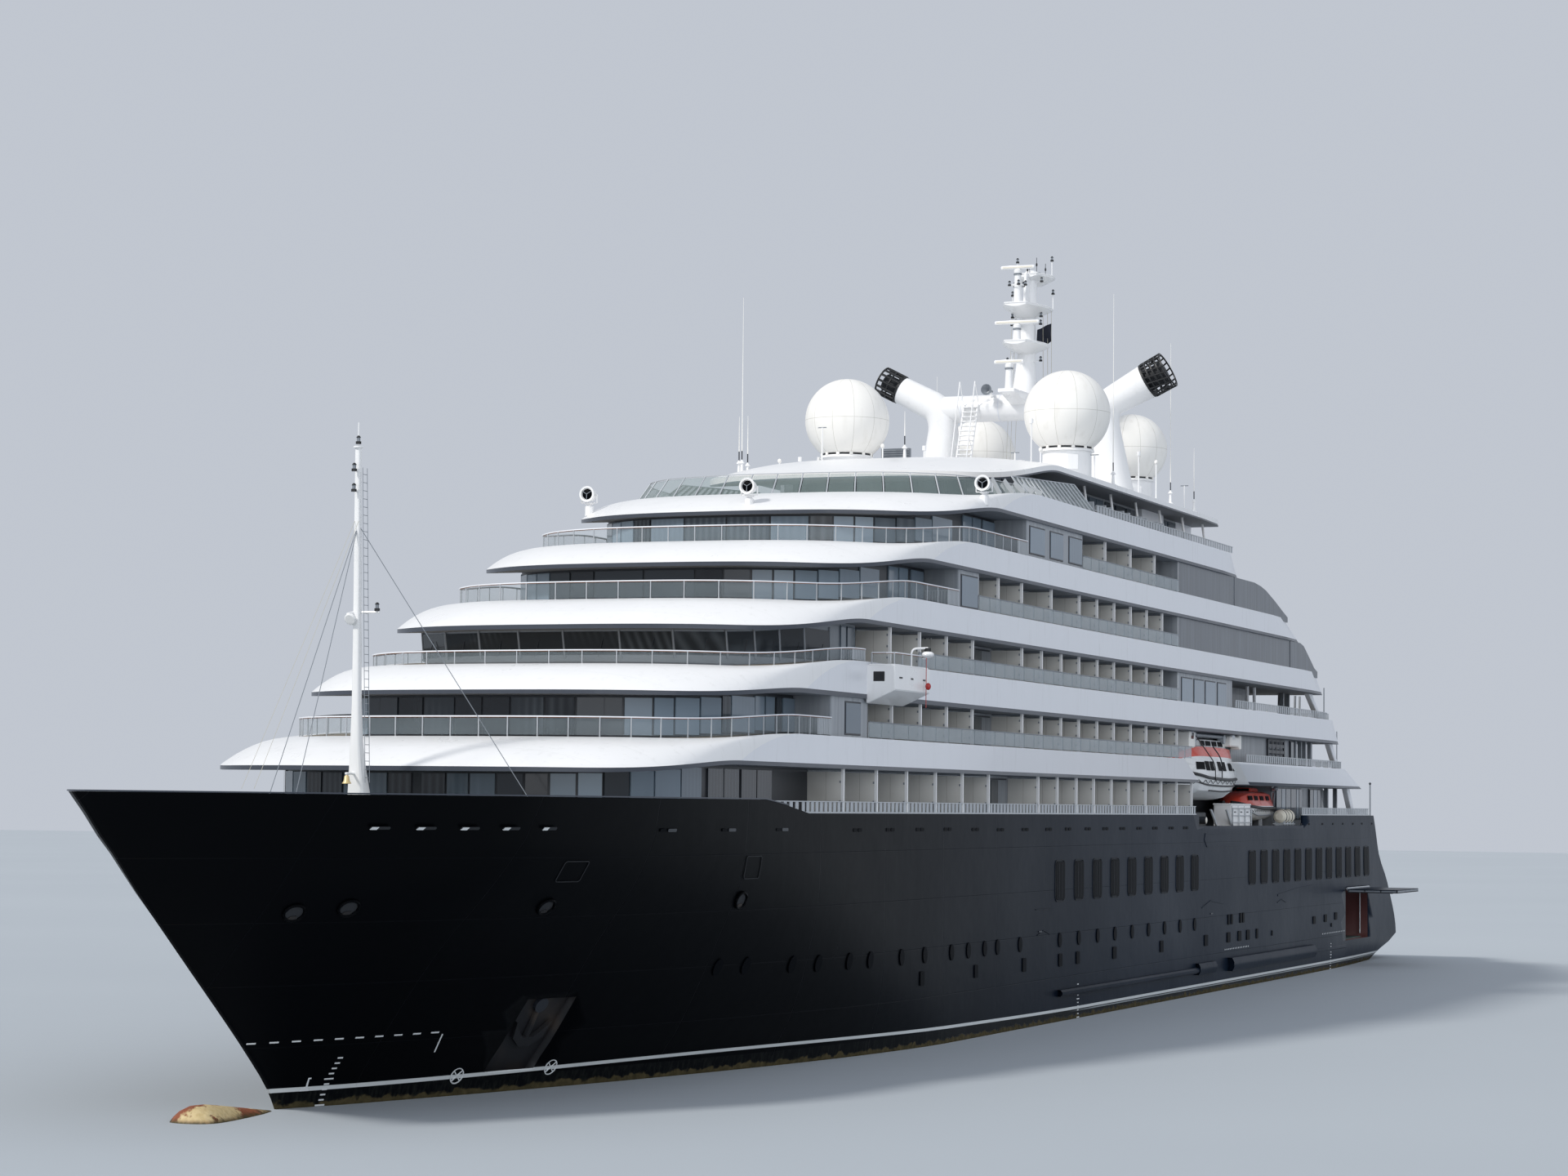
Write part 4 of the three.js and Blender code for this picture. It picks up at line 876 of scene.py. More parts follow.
def slab_stations(slab):
    """Edge and rail point of each station, from the stern's centreline to the nose."""
    low, top = slab["low"], slab["top"]
    aft_low, aft_top = slab["aft"]
    stations = []
    for back, half in ((0, 0.0), (0, HALF_BEAM - 0.4), (1.2, HALF_BEAM - 0.16), (5, HALF_BEAM)):
        stations.append(((aft_low + back, half, low), (aft_top + back, half, top)))
    start = shoulder_x(slab)
    rail_start = start - RAIL_SET_BACK
    for share in eased(40):
        edge_x, edge_y = front_arc(slab["edge"], EDGE_LENGTH, HALF_BEAM, share)
        rail_x, rail_y = front_arc(slab["rail"], slab["rail"] - rail_start, HALF_BEAM, share)
        stations.append(((edge_x, edge_y, soffit_z(slab, edge_x)), (rail_x, rail_y, foot_z(slab, rail_x))))
    return stations


def slab_piece(name, slab):
    """A deck slab with its soffit in painted shade grey, lower lip, crowned brow or flat fascia, and planked
    top.
    """
    piece = Piece(name)
    stations = slab_stations(slab)
    crown_rows, lip_rows = [], []
    for index, (edge, rail) in enumerate(stations):
        row = []
        for inward in CROWN:
            up = LIP_SHARE + (1 - LIP_SHARE) * (1 - (1 - inward) ** 2)
            if index < STERN_STATIONS:
                up = mix(LIP_SHARE, 1, inward)
                inward = up
            row.append(
                (mix(edge[0], rail[0], inward), mix(edge[1], rail[1], inward), mix(edge[2], rail[2], up)))
        crown_rows.append(row)
        lip_rows.append([edge, row[0]])
    piece.sheet([[(e[0], 0, e[2]), e] for e, _ in stations], "painted_soffit_shade")
    piece.sheet(lip_rows, "lip_blue_grey")
    crown = piece.sheet(crown_rows, "gloss_white")
    piece.sheet([[r, (r[0], 0, r[2])] for _, r in stations], "deck_planks")
    side = [face for face in crown if face.calc_center_median().x < shoulder_x(slab) - RAIL_SET_BACK]
    piece.paint(side, "fascia_white")
    piece.weld()
    piece.mirror()
    return piece


def carve(piece, *cutters):
    """Cuts closed bodies out of a finished piece; the cut faces take the cutter's finish."""
    for cutter in cutters:
        change = piece.modifiers.new("carve", "BOOLEAN")
        change.operation = "DIFFERENCE"
        change.solver = "EXACT"
        change.object = cutter
        change.material_mode = "TRANSFER"
    bpy.context.view_layer.update()
    graph = bpy.context.evaluated_depsgraph_get()
    carved = bpy.data.meshes.new_from_object(piece.evaluated_get(graph))
    piece.modifiers.clear()
    piece.data = carved
    for cutter in cutters:
        bpy.data.objects.remove(cutter)


def glaze(piece, points, low, top, tone, finish="house_glass", gap=0.05, thick=0.05, width=2.4):
    """Flat panes along a line of points, none wider than width, standing just proud of it; tone is their
    share of painted sky reflection.
    """
    for (ax, ay), (bx, by) in zip(points, points[1:]):
        long = math.hypot(bx - ax, by - ay)
        count = max(1, math.ceil(long / width - 0.2))
        turn = Matrix.Rotation(math.atan2(by - ay, bx - ax), 4, "Z")
        for index in range(count):
            share = (index + 0.5) / count
            place = placed(mix(ax, bx, share), mix(ay, by, share), 0) @ turn
            half = long / count / 2 - gap
            if half > 0.05:
                piece.box((-half, half), (-thick, thick), (low, top), finish, place=place, tone=tone)


# The fronts' glass: nose, half-width, and edges with the tone of the glass up to the next edge; the tone is
# its share of painted sky reflection
FRONT_PANES = {
    5: (59.3, 8.8, (
        (0, 0.55), (0.002, 0.0), (0.037, 0.35), (0.087, 0.45), (0.159, 0.04), (0.245, 0.0), (0.329, 0.7),
        (0.432, 0.85), (0.538, 0.05), (0.655, 0.8), (0.774, 0.85), (0.909, 0.6), (0.994, None))),
    6: (53.5, 8.8, (
        (0, 0.0), (0.036, 0.05), (0.117, 0.0), (0.21, 0.05), (0.379, 0.7), (0.5, 0.8), (0.595, 0.85),
        (0.72, 0.75), (0.835, 0.1), (0.887, 0.8), (0.995, None))),
    8: (37, 8.8, (
        (0, 0.05), (0.101, 0.0), (0.19, 0.05), (0.294, 0.65), (0.385, 0.8), (0.481, 0.75), (0.6, 0.85),
        (0.72, 0.8), (0.85, 0.75), (0.972, None))),
    9: (27, 8.8, (
        (0, 0.1), (0.085, 0.5), (0.218, 0.0), (0.313, 0.7), (0.41, 0.8), (0.508, 0.3), (0.63, 0.25),
        (0.749, 0.75), (0.87, 0.8), (0.996, None))),
}
# Glass on the flat sides of the houses ahead of the cabins: deck, from x, to x, tone, which is the share of
# painted sky reflection
SIDE_PANES = (
    (5, 50.1, 46.6, 0.05), (5, 46.4, 42.8, 0.0),
    (6, 44.9, 43.75, 0.8), (6, 43.65, 42.55, 0.75), (6, 42.35, 41.75, 0.05), (6, 41.6, 39.8, 0.75),
    (6, 39.7, 37.9, 0.7),
    (8, 27.9, 26.5, 0.75), (8, 26.4, 25.05, 0.8), (8, 24.6, 22.7, 0.7), (8, 22.0, 20.6, 0.1),
    (9, 16.7, 15.2, 0.75), (9, 15.1, 13.65, 0.7), (9, 13.4, 11.3, 0.8), (9, 10.2, 8.2, 0.1),
    (9, 8.0, 6.2, 0.05),
)
# Glass that stands out at the slabs' edge: deck, from x, to x, low and top edge, tone, which is the share of
# painted sky reflection
EDGE_PANES = (
    (9, 10.7, 8.1, 24.98, 26.34, 0.55), (9, 7.0, 4.7, 24.98, 26.34, 0.5), (9, 3.5, 1.1, 24.98, 26.34, 0.45),
    (8, 22.0, 19.5, 21.5, 23.0, 0.5), (6, 38.3, 36.4, 14.77, 16.14, 0.35),
    (7, -20.6, -23.1, 18.05, 19.55, 0.6), (7, -23.6, -25.9, 18.05, 19.55, 0.55),
    (7, -26.4, -28.9, 18.05, 19.55, 0.6), (7, -29.5, -31.7, 18.05, 19.55, 0.5),
)
# Walls at the slabs' edge that carry them: deck, from x, to x, finish
EDGE_WALLS = (
    (9, 11.2, 0.9, "house_grey"), (8, 22.4, 19.2, "house_grey"), (6, 40.1, 35.4, "house_grey"),
    (7, -19.8, -33.4, "house_grey"), (8, -19.8, -49.9, "panel_dark_grey"),
    (9, -19.8, -33.9, "panel_dark_grey"),
)
# Balcony partitions of each deck
PARTITIONS = {
    5: (38.3, 33.9, 29.7, 25.5, 21.4, 17.2, 8.7, 5.2, 1.6, -1.8, -5.4, -9.0, -12.7, -16.2, -19.8, -23.4),
    6: (35.4, 31.9, 27.8, 23.9, 19.9, 11.6, 8.2, 4.6, 1.2, -2.4, -5.8, -9.4, -12.8, -16.3, -19.8),
    7: (32.2, 28.0, 24.0, 19.9, 11.7, 8.2, 4.6, 1.2, -2.4, -5.8, -9.4, -12.8, -16.3, -19.8),
    8: (19.9, 15.8, 11.8, 6.5, 1.2, -2.3, -5.8, -9.3, -12.8, -16.3, -19.8),
    9: (1.1, -3.9, -9.2, -14.5, -19.8),
}
# The houses' blocks behind the cabins: deck, from x, to x, half-width
HOUSE_BLOCKS = (
    (5, -68, -23.5, 6.1), (5, -68, -51.7, 8.9), (6, -58, -22, 6.1), (6, -55, -37, 9.6),
    (7, -50, -33.4, 7.6), (8, -50, -33, 8.8), (9, -34, -19.8, 8.8),
)
HOUSES = {5: (59.3, -24, 9), 6: (53.5, -22.9, 9), 7: (33.9, -34, 0.5), 8: (37, -45, 9), 9: (27, -33, 9)}
# Screens that run on to the stern: outline in x and z
SCREENS = {
    8: ((-49.9, 21), (-58.5, 21), (-58.5, 21.45), (-57.5, 21.67), (-55.6, 22.49), (-54.1, 23.1), (-53, 23.27),
        (-49.9, 23.27)),
    9: ((-33.9, 24.5), (-49.1, 24.5), (-49.1, 24.85), (-47.6, 25.2), (-45.2, 25.78), (-42.7, 26.32),
        (-41.2, 26.52), (-39.4, 26.65), (-33.9, 26.65)),
}


def deck_floor(deck):
    return MAIN_DECK_Z if deck == 5 else SLABS[deck]["top"]


def floor_at(deck, x):
    return MAIN_DECK_Z if deck == 5 else foot_z(SLABS[deck], x)


def house_core(piece, deck, nose, half, aft, length):
    """The house's walls: its plan is flat along the sides and rounded in front."""
    above = SLABS[deck + 1]
    outline = [(aft, half)] + [front_arc(nose, length, half, share) for share in eased(24)]
    outline += [(x, -y) for x, y in reversed(outline) if y > 0.01]
    foot = (MAIN_DECK_Z if deck == 5 else SLABS[deck]["foot"]) - 0.3
    rings = [[(x, y, foot) for x, y in outline], [(x, y, soffit_z(above, x) + 0.04) for x, y in outline]]
    return piece.tube(rings, "frame_dark")


def front_glass(piece, deck):
    """Full-height panes round the front of a house, on both sides of the nose."""
    nose, half, edges = FRONT_PANES[deck]
    above = SLABS[deck + 1]
    for (first, tone), (last, _) in zip(edges, edges[1:]):
        for side in (1, -1):
            points = [front_arc(nose + 0.02, FRONT_LENGTH, half + 0.02, share * side)
                      for share in (first, last)]
            x = max(point[0] for point in points)
            low = floor_at(deck, x) + 0.12
            glaze(piece, points, low, soffit_z(above, x) - 0.1, tone)


def side_glass(piece, deck):
    for row_deck, start, end, tone in SIDE_PANES:
        if row_deck == deck:
            above = SLABS[deck + 1]
            low = floor_at(deck, max(start, end)) + 0.15
            for side in (1, -1):
                y = side * (HOUSE_HALF + 0.02)
                glaze(piece, ((start, y), (end, y)), low, soffit_z(above, start) - 0.15, tone)


def cabin_bay(piece, deck, start, end, wide):
    """The wall behind one balcony: a glass door, fixed panes and a strip of cladding."""
    low, top = deck_floor(deck) + 0.04, SLABS[deck + 1]["low"] - 0.02
    y = HOUSE_HALF
    piece.box((end, start), (y - 0.05, y + 0.04), (low - 0.1, top), "house_grey")
    door = (start - 0.35, start - 0.35 - wide * 0.74)
    glaze(piece, ((door[0], y + 0.07), (door[1], y + 0.07)), low + 0.1, top - 0.22, 0.12, "balcony_glass",
          0.04, 0.03, 1.3)
    piece.rail([(start - 0.25, y + 0.08, top - 0.2), (end + 0.5, y + 0.08, top - 0.2)], 0.06, 0.08,
               "frame_dark")


def partition(piece, deck, x):
    """A balcony partition with its outer post and hinges."""
    low = deck_floor(deck) + (0.0 if deck > 5 else 0.02)
    top = SLABS[deck + 1]["low"]
    piece.box(about(x, 0.04), (HOUSE_HALF, PANEL_HALF - 0.18), (low + 0.06, top - 0.14),
              "partition_grey_beige")
    piece.box(about(x, 0.045), (PANEL_HALF - 0.2, PANEL_HALF - 0.04), (low, top + 0.02), "gloss_white", 0.015)
    piece.box(about(x, 0.05), (HOUSE_HALF, PANEL_HALF - 0.2), (top - 0.08, top + 0.02), "frame_grey")
    for share in (0.2, 0.5, 0.8):
        z = mix(low, top, share)
        piece.box(about(x, 0.06), (PANEL_HALF - 0.26, PANEL_HALF - 0.19), about(z, 0.05), "frame_grey")


def balustrade(piece, deck, start, end, posts):
    """Frosted panels along a slab's edge between posts, with a thin dark rail on top."""
    sizes = bpy.context.scene.yacht_sizes
    base = deck_floor(deck) if deck > 5 else BULWARK_Z - 0.2
    top = base + sizes.balustrade_height
    y = PANEL_HALF + 0.02
    stops = sorted({start, end, *[x for x in posts if end < x < start]}, reverse=True)
    for first, last in zip(stops, stops[1:]):
        count = max(1, round((first - last) / 1.75))
        for index in range(count):
            a, b = mix(first, last, index / count), mix(first, last, (index + 1) / count)
            piece.box((b + 0.04, a - 0.04), about(y, 0.012), (base + 0.05, top - 0.04), "balustrade_glass")
            piece.box(about(a, 0.03), (y - 0.04, y - 0.012), (base, top - 0.03), "bright_steel")
    piece.box((end, start), about(y, 0.03), (top - 0.05, top), "frame_grey", 0.012)


def cabins(piece, deck):
    """A row of balconies on both sides: partitions, doors behind them and glass in front."""
    places = PARTITIONS[deck]
    for x in places:
        partition(piece, deck, x)
    for start, end in zip(places, places[1:]):
        cabin_bay(piece, deck, start, end, start - end)


def make_house(deck):
    piece = Piece(f"house_deck_{deck}")
    for _, start, end, finish in [row for row in EDGE_WALLS if row[0] == deck]:
        low, top = deck_floor(deck) - 0.1, SLABS[deck + 1]["low"] + 0.05
        thick = 0.2 if finish == "panel_dark_grey" else 0.12
        piece.box((end, start), (PANEL_HALF - thick, PANEL_HALF - 0.03), (low, top), finish)
        for x in (start, end):
            piece.box(about(x, 0.08), (HOUSE_HALF - 0.2, PANEL_HALF - 0.05), (low, top), "house_grey")
    for _, start, end, low, top, tone in [row for row in EDGE_PANES if row[0] == deck]:
        piece.box((end - 0.08, start + 0.08), (PANEL_HALF - 0.05, PANEL_HALF), (low - 0.08, top + 0.08),
                  "frame_dark", 0.02)
        glaze(piece, ((start, PANEL_HALF), (end, PANEL_HALF)), low, top, tone, gap=0.0, thick=0.02, width=3)
    cabins(piece, deck)
    if deck in SCREENS:
        piece.side_plate(SCREENS[deck], (PANEL_HALF - 0.16, PANEL_HALF), "panel_dark_grey")
    piece.mirror()
    nose, aft, length = HOUSES[deck]
    house_core(piece, deck, nose, HOUSE_HALF, aft, length)
    for _, start, end, half in [row for row in HOUSE_BLOCKS if row[0] == deck]:
        low, top = deck_floor(deck) - 0.2, SLABS[deck + 1]["low"] + 0.05
        piece.box((start, end), (-half, half), (low, top), "house_grey")
    if deck in FRONT_PANES:
        front_glass(piece, deck)
        side_glass(piece, deck)
    piece.done(slot="wall_paint", replaces=(f"deck_house_{deck}",))


def canopy_piece():
    """The canopy over deck 10: a thin edge all round, an underside in painted shade grey and a low crown."""
    piece = Piece("canopy_roof")
    slab = SLABS[11]
    half = HALF_BEAM * ROOF_NARROWING
    rows = []
    for back, wide in ((0, 0.0), (0, 0.96), (1.2, 0.985), (5, 1.0)):
        rows.append([
            (mix(slab["aft"][0], slab["aft"][1], t) + back, (half - CANOPY_SLOPE * t) * wide) for t in CROWN])
    for share in eased(40):
        rows.append([
            front_arc(mix(slab["edge"], slab["rail"], t), mix(EDGE_LENGTH, 6, t), half - CANOPY_SLOPE * t,
                      share)
            for t in CROWN])
    edge, crown = [], []
    for row in rows:
        x, y = row[0]
        low = soffit_z(slab, x)
        edge.append([(x, y, low), (x, y, low + 0.1), (x, y, low + CANOPY_EDGE)])
        crown.append([
            (x, y, mix(low + CANOPY_EDGE, slab["top"], 1 - (1 - t) ** 2)) for (x, y), t in zip(row, CROWN)])
    piece.sheet([[(points[0][0], 0, points[0][2]), points[0]] for points in edge], "painted_soffit_shade")
    piece.sheet([points[:2] for points in edge], "lip_blue_grey")
    piece.sheet([points[1:] for points in edge], "gloss_white")
    piece.sheet(crown, "gloss_white")
    piece.sheet([[points[-1], (points[-1][0], 0, points[-1][2])] for points in crown], "gloss_white")
    piece.weld()
    piece.mirror()
    return piece


class YachtSizes(bpy.types.PropertyGroup):
    """Sizes that a user would change, in metres of the real ship."""

    balustrade_height: bpy.props.FloatProperty(
        name="Balustrade", description="Height of the balcony glass over its deck", default=0.78,
        unit="LENGTH")
    rail_post: bpy.props.FloatProperty(
        name="Rail post", description="Radius of the posts of the front rails", default=0.032, unit="LENGTH")
    searchlight: bpy.props.FloatProperty(
        name="Searchlight", description="Size of the searchlights against a 1.1 m drum", default=0.68)


class YachtColours(bpy.types.PropertyGroup):
    """Colours that a user would change."""

    # The bow colour is a painted shade on the forward topsides, darker than the navy paint itself
    bow: bpy.props.FloatVectorProperty(
        name="Bow", description="Topsides forward, in the ship's own shade", subtype="COLOR",
        default=colour("#030406")[:3], min=0, max=1)
    # Lighter than the bow: the same navy with a painted reflection of the sky
    topsides: bpy.props.FloatVectorProperty(
        name="Topsides", description="Topsides amidships and aft", subtype="COLOR",
        default=colour("#1a2534")[:3], min=0, max=1)
    canopy: bpy.props.FloatVectorProperty(
        name="Boat canopies", description="Orange of the tenders and rescue boats", subtype="COLOR",
        default=colour("#d8432a")[:3], min=0, max=1)


class HullOperator(bpy.types.Operator):
    """Make the hull with its deck well, anchor pockets and shell door bays"""

    bl_idname = "yacht.hull"
    bl_label = "Hull"

    def execute(self, context):
        hull = Piece("hull_shell")
        heights = [-5.2, -4.9, -4.472, -3.8, -3.2, -2.6, -2.0, -1.4, -0.8, -0.3, 0.0, 0.4, 0.8, 1.3, 1.9, 2.6,
                   3.3]
        heights += [4.0, 4.7, 5.3, 5.9, 6.6, 7.4, 8.2, 8.9, 9.6, 10.2, 10.7, 11.15]
        bottom = hull_line(heights[0])
        hull.sheet([[(x, 0, z) for x, _, z in bottom]] + [hull_line(height) for height in heights],
                   "hull_navy")
        rim = hull_line(BULWARK_Z, BULWARK_INSET)
        foot = hull_line(MAIN_DECK_Z, BULWARK_INSET)
        hull.sheet([hull_line(BULWARK_Z), rim, foot], "gloss_white")
        deck = hull.sheet([foot, [(x, 0, z) for x, _, z in foot]], "deck_planks")
        hull.paint([face for face in deck if face.calc_center_median().x > 60.5], "deck_grey_green")
        hull.weld()
        hull.mirror()
        cutters = []
        for name, side in SIDES:
            bay = Piece(f"shell_bay_cutter_{name}")
            bay.box(BAY_X, (side * 7.75, side * 12), (1.9, 5.75), "bay_red")
            cutters.append(bay.object())
            gap = Piece(f"boat_gap_cutter_{name}")
            gap.box((-53.7, -24.4), (side * 9.6, side * 12), (10.45, 11.6), "hull_navy")
            cutters.append(gap.object())
            pocket = Piece(f"anchor_pocket_cutter_{name}")
            xs = row_of(57.78, 60.5, 9)
            rows = [[(x, side * (half_breadth(z, x) - 0.35), z) for x in xs] for z in row_of(0.87, 3.77, 9)]
            floor = pocket.sheet(rows, "pocket_rust")
            grown = bmesh.ops.extrude_face_region(pocket.mesh, geom=floor, use_keep_orig=True)["geom"]
            bmesh.ops.translate(
                pocket.mesh, vec=(0, side * 1.2, 0),
                verts=[item for item in grown if isinstance(item, bmesh.types.BMVert)])
            pocket.paint(pocket.mesh.faces, "pocket_rust")
            bmesh.ops.recalc_face_normals(pocket.mesh, faces=pocket.mesh.faces)
            cutters.append(pocket.object())
        hull.done(slot="hull_paint", replaces=("hull",), cutters=cutters)
        return {"FINISHED"}


class SlabsOperator(bpy.types.Operator):
    """Make the deck slabs with their crowned brows and flat fascias"""

    bl_idname = "yacht.slabs"
    bl_label = "Deck slabs"

    def execute(self, context):
        for deck in range(6, 11):
            slab = slab_piece(f"fascia_deck_{deck}", SLABS[deck])
            cutters = []
            if deck == 6:
                for name, side in SIDES:
                    bay = Piece(f"boat_bay_cutter_{name}")
                    outline = ((-20.4, 14.75), (-24.9, 13.0), (-37.9, 13.0), (-34.0, 14.75))
                    bay.side_plate(outline, (side * 6.2, side * 12), "gloss_white")
                    cutters.append(bay.object())
            slab.done(slot="white_paint", replaces=(f"deck_slab_{deck}",), cutters=cutters)
        canopy_piece().done(slot="white_paint", replaces=("sun_roof",))
        return {"FINISHED"}


class HousesOperator(bpy.types.Operator):
    """Make the deck houses with their glass fronts, cabins and stern screens"""

    bl_idname = "yacht.houses"
    bl_label = "Deck houses"

    def execute(self, context):
        for deck in range(5, 10):
            make_house(deck)
        return {"FINISHED"}


def walk(points, step):
    """Evenly spaced stops along a line, from its first point to its last."""
    points = [Vector(point) for point in points]
    runs = [0.0]
    for a, b in zip(points, points[1:]):
        runs.append(runs[-1] + (b - a).length)
    count = max(1, round(runs[-1] / step))
    stops = []
    for index in range(count + 1):
        target = mix(0.0, runs[-1], index / count)
        leg = min(len(points) - 2, max(0, sum(run <= target for run in runs) - 1))
        span = runs[leg + 1] - runs[leg]
        stops.append(points[leg].lerp(points[leg + 1], (target - runs[leg]) / span if span else 0))
    return stops


def between(a, b):
    """A frame halfway between two points: x runs along them and z is upright."""
    a, b = Vector(a), Vector(b)
    along = (b - a).normalized()
    across = aloft(1).cross(along).normalized()
    rows = (along, across, along.cross(across))
    return Matrix.Translation((a + b) / 2) @ Matrix(rows).transposed().to_4x4()


def glass_fence(piece, points, height, step, lift=0.07):
    """Glass between posts, under a steel bar with a fine wooden edge. The points are on the deck."""
    stops = walk(points, step)
    for a, b in zip(stops, stops[1:]):
        half = (b - a).length / 2
        place = between(a, b)
        piece.box((-half + 0.05, half - 0.05), (-0.012, 0.012), (lift, height - 0.09), "fence_glass",
                  place=place)
    post = bpy.context.scene.yacht_sizes.rail_post
    for stop in stops:
        piece.rod(stop, stop + aloft(height - 0.03), post, "slat_grey", sides=6)
    bar = [point + aloft(height - 0.05) for point in walk(points, 0.7)]
    piece.rail(bar, 0.1, 0.05, "fascia_white")
    piece.rail([point - aloft(0.03) for point in bar], 0.04, 0.03, "rail_wood")


def slats(piece, points, height, step=0.16):
    """A close row of upright slats with a bar along their tops."""
    stops = walk(points, step)
    for a, b in zip(stops, stops[1:]):
        place = between(a, b)
        piece.box((-step * 0.3, step * 0.3), (-0.015, 0.015), (0.04, height), "slat_grey", place=place)
    piece.rail([point + aloft(height) for point in stops[::4] + [stops[-1]]], 0.07, 0.04, "bright_steel")


# Front rails: deck, the x where they turn in to the house, height, y of the house there, spacing of the posts
FRONT_RAILS = (
    (6, 40.2, 0.85, 8.85, 1.3), (7, 35.9, 0.6, 9.6, 1.55), (8, 22.5, 0.85, 8.85, 1.6),
    (9, 11.2, 0.8, 8.85, 1.4),
)
BALUSTRADES = (
    (5, 38.3, -23.4), (6, 35.3, -22.9), (7, 28.4, -19.7), (8, 19.3, -19.7), (9, 0.9, -19.7),
)
RAIL_INSET = 0.13


def full_line(slab, inset, end_x):
    """The rail line at deck height from the port end round the nose to the starboard end."""
    port = [point for point in rail_line(slab, inset) if point[0] > end_x + 0.05]
    port.insert(0, (end_x, HALF_BEAM - inset))
    line = port + [(x, -y) for x, y in reversed(port) if y > 0.01]
    return [(x, y, foot_z(slab, x)) for x, y in line]


def front_rail(deck, end_x, height, inner_y, step):
    piece = Piece(f"rail_deck_{deck}")
    slab = SLABS[deck]
    glass_fence(piece, full_line(slab, RAIL_INSET, end_x), height, step)
    for side in (1, -1):
        outer = HALF_BEAM - RAIL_INSET
        z = foot_z(slab, end_x)
        slats(piece, [(end_x + 1.7, side * outer, z), (end_x, side * outer, z)], height - 0.05)
        slats(piece, [(end_x, side * outer, z), (end_x, side * inner_y, z)], height - 0.05)
    for row_deck, start, end in BALUSTRADES:
        if row_deck == deck:
            half = Piece("")
            balustrade(half, deck, start, end, PARTITIONS[deck])
            half.mirror()
            piece.take(half)
    piece.done(slot="rail_glass", replaces=(f"deck_rail_{deck}",))


# The screen's posts are broad slats aft of this x
WIDE_SLATS_FROM = 15.5


def leaning_slats(piece, side):
    """The broad slats that lean in over the shoulder of deck 10, with glass between them."""
    xs = [11.6 - 0.9 * index for index in range(16)]
    feet = [Vector((x, side * 10.5, foot_z(SLABS[10], x))) for x in xs]
    heads = [Vector((mix(10.6, -0.9, (11.6 - x) / 13.5), side * 9.55, 29.05 + (11.6 - x) * 0.045))
             for x in xs]
    for foot, head in zip(feet, heads):
        across = Vector((0.16, 0, 0))
        piece.prism([foot - across, foot + across, head + across, head - across], (0, side * 0.03, 0.02),
                    "slat_grey")
    for a, b, d, c in zip(feet, feet[1:], heads, heads[1:]):
        piece.prism([a, b, c, d], (0, side * 0.015, 0.01), "screen_glass")
    piece.rail(heads, 0.08, 0.05, "slat_grey")


def windscreen():
    """The leaning glass screen round the front of deck 10, and slatted rails aft of it."""
    piece = Piece("windscreen_deck_10")
    slab = SLABS[10]
    start = shoulder_x(slab) - RAIL_SET_BACK
    lean = 0.85
    top_z = 28.52

    def pair(share):
        x, y = front_arc(slab["rail"] - 0.12, slab["rail"] - 0.12 - start, HALF_BEAM - 0.12, share)
        nose = slab["rail"] - 0.12 - lean
        top = front_arc(nose, nose - start, HALF_BEAM - 0.12 - lean * 0.75, share)
        return Vector((x, y, foot_z(slab, x))), Vector((*top, top_z))

    shares = walk([front_arc(21, 12.2, 10.6, share) + (share,) for share in eased(60)], 1.45)
    stops = [point.z for point in shares]
    stops = [*stops, *[-share for share in reversed(stops[:-1])]]
    for first, last in zip(stops, stops[1:]):
        foot_a, top_a = pair(first)
        foot_b, top_b = pair(last)
        inset = 0.05
        corners = [
            foot_a.lerp(foot_b, inset).lerp(top_a.lerp(top_b, inset), 0.04),
            foot_b.lerp(foot_a, inset).lerp(top_b.lerp(top_a, inset), 0.04),
            foot_b.lerp(foot_a, inset).lerp(top_b.lerp(top_a, inset), 0.96),
            foot_a.lerp(foot_b, inset).lerp(top_a.lerp(top_b, inset), 0.96),
        ]
        outward = (corners[1] - corners[0]).cross(corners[3] - corners[0]).normalized()
        piece.prism(corners, outward * 0.025, "screen_glass")
    for share in stops:
        foot, top = pair(share)
        piece.rod(foot, top, 0.04, "slat_grey", sides=6)
        if foot.x < WIDE_SLATS_FROM:
            place = between(foot.lerp(top, 0.1), foot.lerp(top, 0.9))
            half = (top - foot).length / 2
            piece.box((-half, half), (-0.03, 0.03), (-0.24, 0.24), "slat_grey", place=place)
    line = [pair(share)[1] for share in [*eased(30), *[-share for share in reversed(eased(30))]]]
    apart = [point for before, point in zip(line, line[1:]) if (point - before).length > 1e-3]
    piece.rail([line[0], *apart], 0.07, 0.04, "slat_grey")
    for side in (1, -1):
        outer = side * (HALF_BEAM - 0.14)
        leaning_slats(piece, side)
        slats(piece, [(-1.8, outer, slab["top"]), (-33.4, outer, slab["top"])], 0.42, 0.6)
    piece.done(slot="rail_glass", replaces=("deck_rail_10",))


